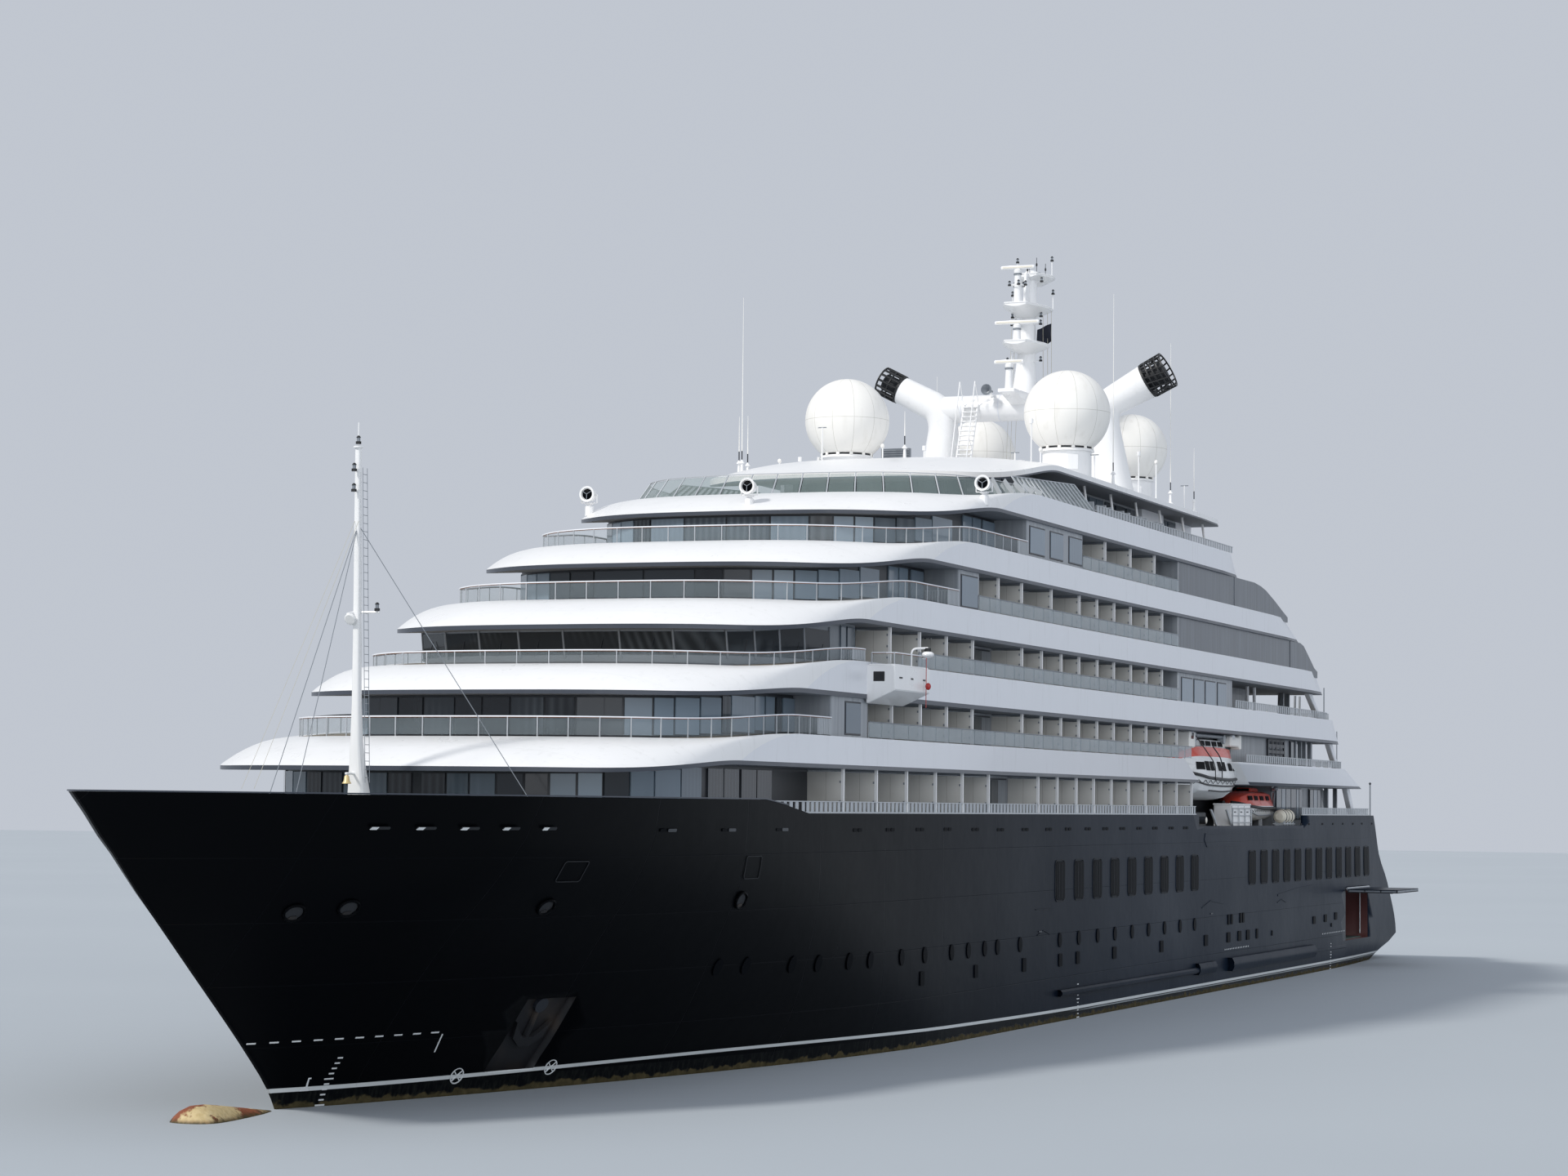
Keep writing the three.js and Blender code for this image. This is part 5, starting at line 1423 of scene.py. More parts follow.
class RailsOperator(bpy.types.Operator):
    """Make the glass rails, the balcony balustrades and the deck 10 windscreen"""

    bl_idname = "yacht.rails"
    bl_label = "Rails"

    def execute(self, context):
        for row in FRONT_RAILS:
            front_rail(*row)
        windscreen()
        for deck, forward, aft in ((6, -37.1, -68.7), (7, -34.1, -64.4)):
            piece = Piece(f"stern_slats_deck_{deck}")
            z = SLABS[deck]["top"]
            outer = HALF_BEAM - 0.14
            port = [(forward, outer, z), (aft + 5, outer, z), (aft + 0.1, outer - 0.4, z)]
            line = port + [(x, -y, height) for x, y, height in reversed(port)]
            slats(piece, line, 0.5, 0.6)
            piece.done(slot="rail_glass", replaces=(f"stern_rail_{deck}",))
        for name, side in SIDES:
            piece = Piece(f"bulwark_slats_{name}")
            ramp = [(x, side * (half_breadth(BULWARK_Z, x) - 0.12)) for x in (47.1, 46.4, 45.7, 45.0, 44.3)]
            for index, (x, y) in enumerate(ramp):
                low = BULWARK_Z + 0.42 - index * 0.1
                piece.box(about(x, 0.17), about(y, 0.02), (low, BULWARK_Z + 0.5), "slat_grey")
            piece.rail([(x, y, BULWARK_Z + 0.5) for x, y in ramp] + [(43.6, ramp[-1][1], BULWARK_Z + 0.5)],
                       0.07, 0.04, "bright_steel")
            for start, end in ((-77.3, -53.8), (-24.3, 43.6)):
                xs = [start + (end - start) * i / 24 for i in range(25)]
                line = [(x, side * (half_breadth(BULWARK_Z, x) - 0.2), BULWARK_Z) for x in xs]
                slats(piece, line, 0.5, 0.55)
                piece.rail(line, 0.1, 0.07, "bright_steel")
            piece.done(slot="steel", replaces=(f"bulwark_rail_{name}",))
        return {"FINISHED"}


def pipe(piece, points, radii, finish, sides=16):
    """A round tube along points, with a radius for each."""
    points = [Vector(point) for point in points]
    heading = (points[1] - points[0]).normalized()
    across = heading.orthogonal().normalized()
    rings = []
    for index, point in enumerate(points):
        ahead = points[min(index + 1, len(points) - 1)]
        behind = points[max(index - 1, 0)]
        turn = heading.rotation_difference((ahead - behind).normalized())
        heading = (ahead - behind).normalized()
        across = (turn @ across).normalized()
        beside = heading.cross(across)
        ring = [math.tau * i / sides for i in range(sides)]
        rings.append([point + (across * math.cos(a) + beside * math.sin(a)) * radii[index] for a in ring])
    return piece.tube(rings, finish)


def bent(points, reach=0.35, steps=6):
    """Rounds the corners of a line of points."""
    points = [Vector(point) for point in points]
    line = [points[0]]
    for before, corner, after in zip(points, points[1:], points[2:]):
        start, end = corner.lerp(before, reach), corner.lerp(after, reach)
        for index in range(steps + 1):
            t = index / steps
            line.append(start.lerp(corner, t).lerp(corner.lerp(end, t), t))
    return [*line, points[-1]]


# The bridge's window posts, as shares of the front from starboard to port
BRIDGE_POSTS = (-0.983, -0.621, -0.35, -0.186, -0.065, 0.001, 0.103, 0.264, 0.464, 0.709, 0.983)
BRIDGE = {"nose": 45.6, "lean": 0.7, "half": 9.5, "length": 9.0, "aft": 33.91, "low": 17.2, "top": 19.95}


def bridge_point(share, z):
    """A point of the bridge front, which leans forward as it rises."""
    x, y = front_arc(BRIDGE["nose"], BRIDGE["length"], BRIDGE["half"], share)
    rise = (z - BRIDGE["low"]) / 2.8
    return Vector((x + BRIDGE["lean"] * rise * (x - BRIDGE["aft"]) / (BRIDGE["nose"] - BRIDGE["aft"]), y, z))


def bridge_parts(first, last):
    """The shares where the panes between two posts begin: wide ones near the shoulders are halved."""
    count = 2 if abs(last - first) > 0.2 and max(abs(first), abs(last)) > 0.7 else 1
    return [mix(first, last, index / count) for index in range(count)]


def leaning_pane(piece, low_a, low_b, top_b, top_a):
    """A flat pane between four corners, with a gap all round. It gives the way it faces."""
    corners = []
    for corner, beside, over in (
        (low_a, low_b, top_a), (low_b, low_a, top_b), (top_b, top_a, low_b), (top_a, top_b, low_a),
    ):
        wide, tall = beside - corner, over - corner
        corners.append(corner + wide.normalized() * 0.06 + tall.normalized() * 0.06)
    outward = (corners[1] - corners[0]).cross(corners[3] - corners[0]).normalized()
    if outward.dot(Vector((1, 0.3 * low_a.y, 0))) < 0:
        outward.negate()
    piece.prism([corner + outward * 0.01 for corner in corners], outward * 0.03, "bridge_glass", tone=0.04)
    return outward


class BridgeOperator(bpy.types.Operator):
    """Make the bridge with its raked windows, and the wings that stand out of the sides"""

    bl_idname = "yacht.bridge"
    bl_label = "Bridge"

    def execute(self, context):
        piece = Piece("bridge_front")
        shares = []
        for first, last in zip(BRIDGE_POSTS, BRIDGE_POSTS[1:]):
            shares += bridge_parts(first, last)
        shares = [1.0, *reversed([*shares, BRIDGE_POSTS[-1]]), -1.0]
        above = SLABS[8]
        levels = (BRIDGE["low"], 17.9, 18.6, BRIDGE["top"])
        rings = []
        for z in levels:
            ring = [(BRIDGE["aft"] + 0.3, BRIDGE["half"], z)]
            for share in shares:
                roof = soffit_z(above, bridge_point(share, z).x) + 0.05
                ring.append(tuple(bridge_point(share, min(z, roof))))
            ring.append((BRIDGE["aft"] + 0.3, -BRIDGE["half"], z))
            rings.append(ring)
        piece.tube(rings, "frame_grey")
        for first, last in zip(BRIDGE_POSTS, BRIDGE_POSTS[1:]):
            stops = [*bridge_parts(first, last), last]
            for a, b in zip(stops, stops[1:]):
                tops = [min(soffit_z(above, bridge_point(share, 19.3).x) - 0.02, 19.5) for share in (a, b)]
                out = leaning_pane(
                    piece, bridge_point(a, 17.98), bridge_point(b, 17.98), bridge_point(b, tops[1]),
                    bridge_point(a, tops[0]))
                middle = bridge_point((a + b) / 2, 18.0) + out * 0.12
                piece.rod(middle, middle + Vector((0.1, 0.25, 0.75)), 0.018, "frame_dark", sides=5)
                for share in (a, b):
                    foot, head = bridge_point(share, 17.9), bridge_point(share, 19.6)
                    piece.rod(foot + out * 0.03, head + out * 0.03, 0.05, "frame_grey", sides=6)
        for side in (1, -1):
            y = side * (BRIDGE["half"] + 0.02)
            for start, end, tone in ((36.25, 35.55, 0.35), (35.4, 34.3, 0.25)):
                glaze(piece, ((start, y), (end, y)), 18.2, 19.75, tone)
            glaze(piece, ((31.0, side * (HOUSE_HALF + 0.06)), (29.6, side * (HOUSE_HALF + 0.06))), 18.15,
                  19.7, 0.1)
        piece.done(slot="white_paint", replaces=("wheelhouse", "wheelhouse_glass"))

        for name, side in SIDES:
            wing = Piece(f"wing_{name}")
            inner, outer = HALF_BEAM - 0.06, HALF_BEAM + 1.35
            section = ((inner, 16.2), (HALF_BEAM + 0.03, 16.2), (outer, 16.8), (outer, 17.95), (inner, 17.95))
            faces = wing.prism([(31.0, side * y, z) for y, z in section], (4.9, 0, 0), "gloss_white", 0.05)
            # The wing's downward faces take the grey of painted shade
            lower = [face for face in faces if face.is_valid and face.normal.z < -0.5]
            wing.paint(lower, "painted_soffit_shade")
            wing.box((35.84, 35.92), (side * 11.05, side * 11.6), (17.2, 17.65), "satin_black", 0.02)
            wing.box((35.9, 35.94), (side * 11.18, side * 11.47), (17.3, 17.55), "bay_shadow")
            for x in ((34.9, 35.3), (31.7, 32.0), (33.4, 33.7)):
                wing.box(x, (side * (outer - 0.01), side * (outer + 0.02)), (17.35, 17.42), "satin_black")
            y = side * (outer - 0.12)
            wing.rail([(35.8, side * 10.8, 17.95), (35.8, y, 17.95), (31.1, y, 17.95)], 0.08, 0.05,
                      "gloss_white")
            glass_fence(wing, [(35.7, side * 10.9, 17.95), (35.7, y, 17.95), (31.2, y, 17.95)], 0.6, 1.2,
                        lift=0.05)
            lamp = Vector((33.4, side * (outer - 0.1), 17.95))
            arm = bent([lamp, lamp + aloft(0.85), lamp + Vector((-0.6, side * 0.6, 0.9))])
            pipe(wing, arm, [0.05] * len(arm), "gloss_white", 8)
            end = arm[-1]
            wing.rod(end, end - aloft(0.25), 0.16, "satin_black", sides=10)
            wing.ball(end - aloft(0.3), (0.3, 0.3, 0.16), "gloss_white", 14, 8)
            post = Vector((31.9, side * (outer + 0.12), 17.0))
            wing.rod(post - aloft(0.9), post + aloft(1.5), 0.02, "lamp_red", sides=5)
            wing.ball(post + Vector((0, side * 0.1, 0.1)), (0.14, 0.14, 0.17), "lamp_red", 10, 8)
            wing.rod(post + Vector((0, -side * 0.2, 1.4)), post + aloft(1.4), 0.02, "gloss_white", sides=5)
            wing.done(slot="white_paint", replaces=(f"bridge_wing_{name}",))
        return {"FINISHED"}


# Searchlights on the brow of deck 10: their feet
SEARCHLIGHTS = ((23.4, -9.2, 26.55), (26.3, 0.9, 26.45), (18.3, 10.55, 27.1))


def searchlight(piece, x, y, z):
    """A searchlight on its pedestal: yoke, drum, white ring and dark lens."""
    size = bpy.context.scene.yacht_sizes.searchlight
    foot = placed(x, y, z) @ Matrix.Scale(size, 4)
    piece.lathe([(0, -0.4), (0.34, -0.4), (0.34, 0.3), (0.2, 0.4), (0.17, 0.55), (0.0, 0.55)], "gloss_white",
                foot, 12)
    piece.box((-0.3, 0.3), (-0.28, 0.28), (0.48, 0.62), "gloss_white", 0.03, foot)
    for side in (1, -1):
        piece.box((-0.1, 0.1), (side * 0.6, side * 0.66), (0.6, 1.25), "gloss_white", 0.02, foot)
    piece.box((-0.1, 0.1), (-0.66, 0.66), (0.57, 0.63), "gloss_white", 0.02, foot)
    facing = foot @ Matrix.Translation((0, 0, 1.22)) @ Matrix.Rotation(math.radians(88), 4, "Y")
    drum = [(0, -0.5), (0.3, -0.48), (0.46, -0.3), (0.52, 0.0), (0.58, 0.42), (0.62, 0.52), (0.6, 0.56),
            (0.46, 0.54),
            (0.42, 0.4), (0, 0.4)]
    piece.lathe(drum, "gloss_white", facing, 20)
    piece.lathe([(0, 0.41), (0.4, 0.41), (0.3, 0.47), (0, 0.5)], "hull_glass", facing, 20)
    for spoke in range(3):
        angle = math.tau * spoke / 3
        end = facing @ Vector((0.45 * math.cos(angle), 0.45 * math.sin(angle), 0.52))
        piece.rod(facing @ aloft(0.53), end, 0.02, "frame_grey", sides=5)


# Radomes: name, middle of the ball in x, y and z, and radius
RADOMES = (
    ("forward_port", -8.3, 6.9, 34.63, 2.54), ("forward_starboard", -8.3, -6.9, 34.63, 2.54),
    ("aft_port", -28.5, 5.15, 34.6, 2.3), ("aft_starboard", -28.5, -5.15, 34.6, 2.3),
)


def radome(name, x, y, z, radius):
    """A radome of twelve gores over a collar, a dark seal with tabs and a drum."""
    piece = Piece(f"dome_{name}")
    place = placed(x, y, z)
    profile = [(radius * math.cos(a), radius * math.sin(a))
               for a in (math.radians(i * 6 - 54) for i in range(25))]
    profile[-1] = (0, radius)
    faces = piece.lathe([(0, profile[0][1]), *profile], "radome_cream", place, 48)
    edges = []
    for edge in dict.fromkeys(edge for face in faces for edge in face.edges):
        a, b = (vert.co - Vector((x, y, z)) for vert in edge.verts)
        if math.hypot(a.x, a.y) < 0.3 or math.hypot(b.x, b.y) < 0.3:
            continue
        level = abs(a.z - b.z) < 1e-4
        turn = math.degrees(math.atan2(a.y, a.x)) % 30
        if (level and abs(a.z) < 0.05) or (not level and min(turn, 30 - turn) < 1):
            edges.append(edge)
    seams = bmesh.ops.bevel(
        piece.mesh, geom=edges, offset=0.014, offset_type="OFFSET", segments=1,
        profile=0.5, affect="EDGES", material=-1, clamp_overlap=True)["faces"]
    piece.paint(seams, "radome_seam")
    low = 30.4 - z
    neck = radius * math.cos(math.radians(-54))
    collar = [(0, low), (radius * 0.62, low), (radius * 0.62, low + 0.12), (radius * 0.57, low + 0.2),
              (radius * 0.57, -radius * 0.9), (radius * 0.64, -radius * 0.9), (neck + 0.03, -radius * 0.83),
              (0, -radius * 0.83)]
    piece.lathe(collar, "gloss_white", place, 32)
    piece.lathe(
        [(0, -radius * 0.845), (neck + 0.05, -radius * 0.845), (neck + 0.05, -radius * 0.8),
         (0, -radius * 0.8)],
                "satin_black", place, 32)
    for tab in range(12):
        angle = math.tau * tab / 12
        spot = Vector(
            (x + (neck + 0.05) * math.cos(angle), y + (neck + 0.05) * math.sin(angle), z - radius * 0.82))
        turn = Matrix.Translation(spot) @ Matrix.Rotation(angle, 4, "Z")
        piece.box((-0.04, 0.05), (-0.1, 0.1), (-0.09, 0.09), "radome_cream", 0.01, turn)
    hatch = placed(x, y, 0, 30)
    piece.box((radius * 0.52, radius * 0.59), (-0.35, 0.35), (31.2, 32.1), "gloss_white", 0.03, hatch)
    piece.done(slot="radome_shell", replaces=(f"radome_{name}",))


ARCH_X = -21.5
# Radius of the exhaust's open end, by side
OUTLETS = {1: 1.1, -1: 0.88}


def arch_line(side):
    """The exhaust's path from the roof to its open end, and the radius at each point."""
    foot = (ARCH_X - 0.4, 5.7 * side, 31.0)
    bend = (ARCH_X, 5.2 * side, 36.6)
    end = (ARCH_X, 8.1 * side, 38.1)
    points = bent([foot, bend, end], 0.28, 8)
    radii = [mix(1.45, 0.95, clamp((point.z - 31.0) / 4.6)) for point in points]
    for index, point in enumerate(points):
        outboard = clamp((abs(point.y) - 6.0) / 2.1)
        radii[index] = mix(radii[index], OUTLETS[side], outboard)
    return points, radii


class FunnelOperator(bpy.types.Operator):
    """Make the exhaust arch with its louvred ends, ladder and horns"""

    bl_idname = "yacht.funnel"
    bl_label = "Exhaust arch"

    def execute(self, context):
        piece = Piece("arch_tubes")
        for side in (1, -1):
            points, radii = arch_line(side)
            pipe(piece, points, radii, "gloss_white", 28)
            foot = placed(ARCH_X - 0.42, 5.7 * side, 0)
            piece.lathe([(0, 30.95), (1.75, 30.95), (1.75, 31.15), (1.5, 31.3), (0, 31.3)], "gloss_white",
                        foot, 28)
        cross = [(ARCH_X, y, 36.75) for y in (-5.2, -2.5, 0, 2.5, 5.2)]
        pipe(piece, cross, [0.85] * 5, "gloss_white", 28)
        for y in (-3.9, -1.4, 1.4, 3.9):
            ring = [(ARCH_X, y - 0.04, 36.75), (ARCH_X, y + 0.04, 36.75)]
            pipe(piece, ring, [0.87, 0.87], "fascia_white", 28)
        bottom, top = Vector((-19.6, -3.6, 31.1)), Vector((-20.6, -3.15, 36.9))
        for offset in (-0.5, 0.5):
            shift = Vector((0, offset, 0))
            piece.rod(bottom + shift, top + shift * 0.9, 0.07, "gloss_white", sides=6)
            lift = Vector((0.75, offset, 0))
            piece.rod(bottom + lift, top + lift + aloft(1.4), 0.04, "gloss_white", sides=6)
            for share in (0.2, 0.5, 0.8, 1.0):
                spot = bottom.lerp(top, share)
                piece.rod(spot + shift, spot + lift + aloft(1.4 * share), 0.025, "gloss_white", sides=5)
        for tread in range(19):
            spot = bottom.lerp(top, (tread + 0.5) / 19)
            piece.box(about(spot.x, 0.14), about(spot.y, 0.48), about(spot.z, 0.035),
                      "gloss_white", 0.01)
        for y in (-1.9, 1.6):
            facing = placed(ARCH_X + 0.9, y, 37.75, 90, "Y")
            piece.lathe(
                [(0, -0.4), (0.09, -0.4), (0.09, 0.1), (0.16, 0.4), (0.36, 0.75), (0.33, 0.75), (0, 0.3)],
                        "frame_grey", facing, 14)
            piece.rod((ARCH_X + 0.6, y, 37.4), (ARCH_X + 0.6, y, 37.8), 0.07, "gloss_white", sides=8)
        piece.done(slot="white_paint", replaces=("exhaust_arch",))

        for name, side in SIDES:
            louvre = Piece(f"outlet_{name}")
            radius = OUTLETS[side]
            start = Vector((ARCH_X, 8.1 * side, 38.1))
            along = Vector((0, side, 0.517)).normalized()
            turn = along.to_track_quat("Z", "Y").to_matrix().to_4x4()
            place = Matrix.Translation(start) @ turn
            long = 1.5
            louvre.lathe(
                [(0, 0.01), (radius + 0.03, 0.01), (radius + 0.03, 0.14), (radius * 0.8, 0.14), (0, 0.14)],
                         "satin_black", place, 28)
            core = [(0, 0.12), (radius * 0.62, 0.12), (radius * 0.62, long - 0.2), (0, long - 0.2)]
            louvre.lathe(core, "bay_shadow", place, 20)
            bars = 18 if side > 0 else 14
            for bar in range(bars):
                angle = math.tau * bar / bars
                rim = Vector((math.cos(angle), math.sin(angle), 0)) * radius
                skew = Vector((-math.sin(angle), math.cos(angle), 0)) * (0.3 if side > 0 else 0.0)
                louvre.rod(place @ (rim + aloft(0.1)), place @ (rim + skew + aloft(long)),
                           0.055 if side > 0 else 0.075, "satin_black", sides=6)
            rings = (0.45, 0.8, 1.15, long) if side > 0 else (0.75, long)
            for height in rings:
                band = [(radius - 0.06, height - 0.06), (radius + 0.05, height - 0.06),
                        (radius + 0.05, height + 0.02),
                        (radius - 0.06, height + 0.02), (radius - 0.06, height - 0.06)]
                louvre.lathe(band, "satin_black", place, 28)
            louvre.done(slot="black_paint", replaces=(f"exhaust_louvre_{name}",))
        return {"FINISHED"}


class DomesOperator(bpy.types.Operator):
    """Make the radomes and the searchlights"""

    bl_idname = "yacht.domes"
    bl_label = "Radomes and lamps"

    def execute(self, context):
        for row in RADOMES:
            radome(*row)
        lamps = Piece("searchlights")
        for row in SEARCHLIGHTS:
            searchlight(lamps, *row)
        lamps.done(slot="white_paint")
        return {"FINISHED"}


def local_plate(piece, place, outline, depth, finish, out=0.0):
    """A flat outline of distances along and up, standing out of a place on the hull."""
    points = [place @ Vector((along, out, up)) for along, up in outline]
    return piece.prism(points, place.to_3x3() @ Vector((0, depth, 0)), finish)


def oval(wide, high, count=18):
    turns = [math.tau * i / count for i in range(count)]
    return [(math.cos(turn) * wide / 2, math.sin(turn) * high / 2) for turn in turns]


def rounded(wide, high, corner, steps=4):
    """A rectangle with round corners."""
    outline = []
    for across, up, start in ((1, 1, 0), (-1, 1, 1), (-1, -1, 2), (1, -1, 3)):
        for step in range(steps + 1):
            turn = math.pi / 2 * (start + step / steps)
            outline.append((
                across * (wide / 2 - corner) + corner * math.cos(turn),
                up * (high / 2 - corner) + corner * math.sin(turn),
            ))
    return outline


def row_of(first, last, count):
    return [mix(first, last, index / (count - 1)) for index in range(count)]


# Rows of tall windows: first and last middle, count, width, low and high edge
TALL_WINDOWS = ((5.4, -23.3, 9, 1.55, 6.54, 8.6), (-38.25, -75.2, 12, 1.72, 6.65, 8.75))
# Oval ports: their x and height over the waterline
OVAL_PORTS = (
    (49.2, 4.66), (47.0, 4.65), (43.0, 4.55), (40.5, 4.5), (37.3, 4.48), (34.9, 4.45), (30.9, 4.42),
    (27.6, 4.4),
    (23.6, 4.38), (21.0, 4.38), (18.4, 4.38), (16.3, 4.38), (12.5, 4.38), (5.4, 4.38), (1.8, 4.38),
    (-1.9, 4.38),
    (-5.4, 4.38), (-9, 4.38), (-12.6, 4.38), (-16.2, 4.38), (-19.8, 4.38), (-23.3, 4.38),
)
# Small upright ports: x, middle height, width and height
SMALL_PORTS = (
    (28.0, 3.3, 0.59, 0.688), (19.8, 3.3, 0.54, 0.652), (11.8, 3.3, 0.59, 0.724), (5.3, 3.3, 0.64, 0.688),
    (2.0, 3.3, 0.64, 0.688), (-5.3, 3.3, 0.74, 0.688), (-15.5, 3.3, 0.74, 0.688), (-26.1, 3.3, 0.84, 0.688),
    (-31.9, 3.3, 0.84, 0.652), (-34.8, 3.3, 0.84, 0.652), (-37.1, 3.3, 0.84, 0.652),
    (-39.6, 3.3, 0.49, 0.652),
    (-56.8, 3.71, 0.79, 0.544), (-60.5, 3.74, 0.79, 0.544), (-64.0, 3.81, 0.79, 0.544),
    (-43.9, 3.2, 0.24, 0.364), (-62.5, 3.2, 0.29, 0.292), (-31.9, 4.44, 0.46, 0.652),
    (-32.7, 4.44, 0.46, 0.652), (-35.1, 4.46, 0.46, 0.652), (-35.8, 4.46, 0.46, 0.652),
)
# Pairs of scuppers under the bulwark, x and height; single ones aft, and slots forward, by x
SCUPPERS = (
    (37.0, 10.4), (32.6, 10.4), (28.4, 10.4), (24.3, 10.4), (20.0, 10.38),
    (15.9, 10.35), (11.7, 10.35), (7.5, 10.35), (3.9, 10.35), (0.1, 10.35), (-3.4, 10.35), (-6.9, 10.35),
    (-10.5, 10.35), (-14, 10.35), (-17.7, 10.35), (-21.1, 10.35),
)
SCUPPERS_AFT = (-52.7, -55.2, -59.6, -63.1, -66.6, -70.3, -73.7, -77.6)
BOW_SLOTS = (73.1, 71.4, 69.7, 67.9, 65.9)
LONG_SLOTS = (57.5, 52.0, 46.3)
# Mooring chocks in the flare: x and height
CHOCKS = ((74.1, 7.46), (72.2, 7.61), (63.1, 7.51), (49.5, 7.5))
# Rubbing strakes: ends in x, low and high edge, how far they stand out
STRAKES = (
    (-23.8, 5.5, 1.35, 1.7, 0.3), (-26.9, -23.8, 1.25, 1.95, 0.35),
    (-55.0, -32.0, 1.15, 2.0, 0.45), (-66.7, -55.0, 1.3, 1.7, 0.3),
)
# Lines of hatches and ledges on the plating: corner points in x and z, width
HULL_LINES = (
    (((-25.9, 9.97), (-35.3, 9.97)), 0.06), (((-26.3, 9.15), (-35.3, 9.15)), 0.06),
    (((-25.9, 9.97), (-25.7, 9.6), (-26.3, 9.15)), 0.06),
    (((9.8, 1.95), (9.8, 6.11), (6.8, 6.11), (6.8, 1.95)), 0.05),
    (((-45.6, 5.71), (-51.0, 6.0), (-56.4, 6.16)), 0.14),
    (((-25.1, 5.35), (-27.3, 5.75), (-30.6, 5.5)), 0.06),
    (((9.5, 4.75), (8.3, 4.98), (7.2, 4.75)), 0.05), (((-45.5, 5.2), (-46.7, 5.42), (-48.0, 5.2)), 0.05),
)


def hull_strip(piece, points, side, width):
    """A thin bead that follows the plating."""
    ends = [Vector((x, 0, z)) for x, z in points]
    for a, b in zip(ends, ends[1:]):
        count = max(1, round((b - a).length / 3))
        stops = [a.lerp(b, index / count) for index in range(count + 1)]
        for start, end in zip(stops, stops[1:]):
            feet = [on_hull(stop.x, stop.z, side, 0.01).translation for stop in (start, end)]
            place = between(*feet)
            half = (feet[1] - feet[0]).length / 2
            piece.box((-half, half), (-0.02, 0.02), (-width / 2, width / 2), "hull_navy", place=place)


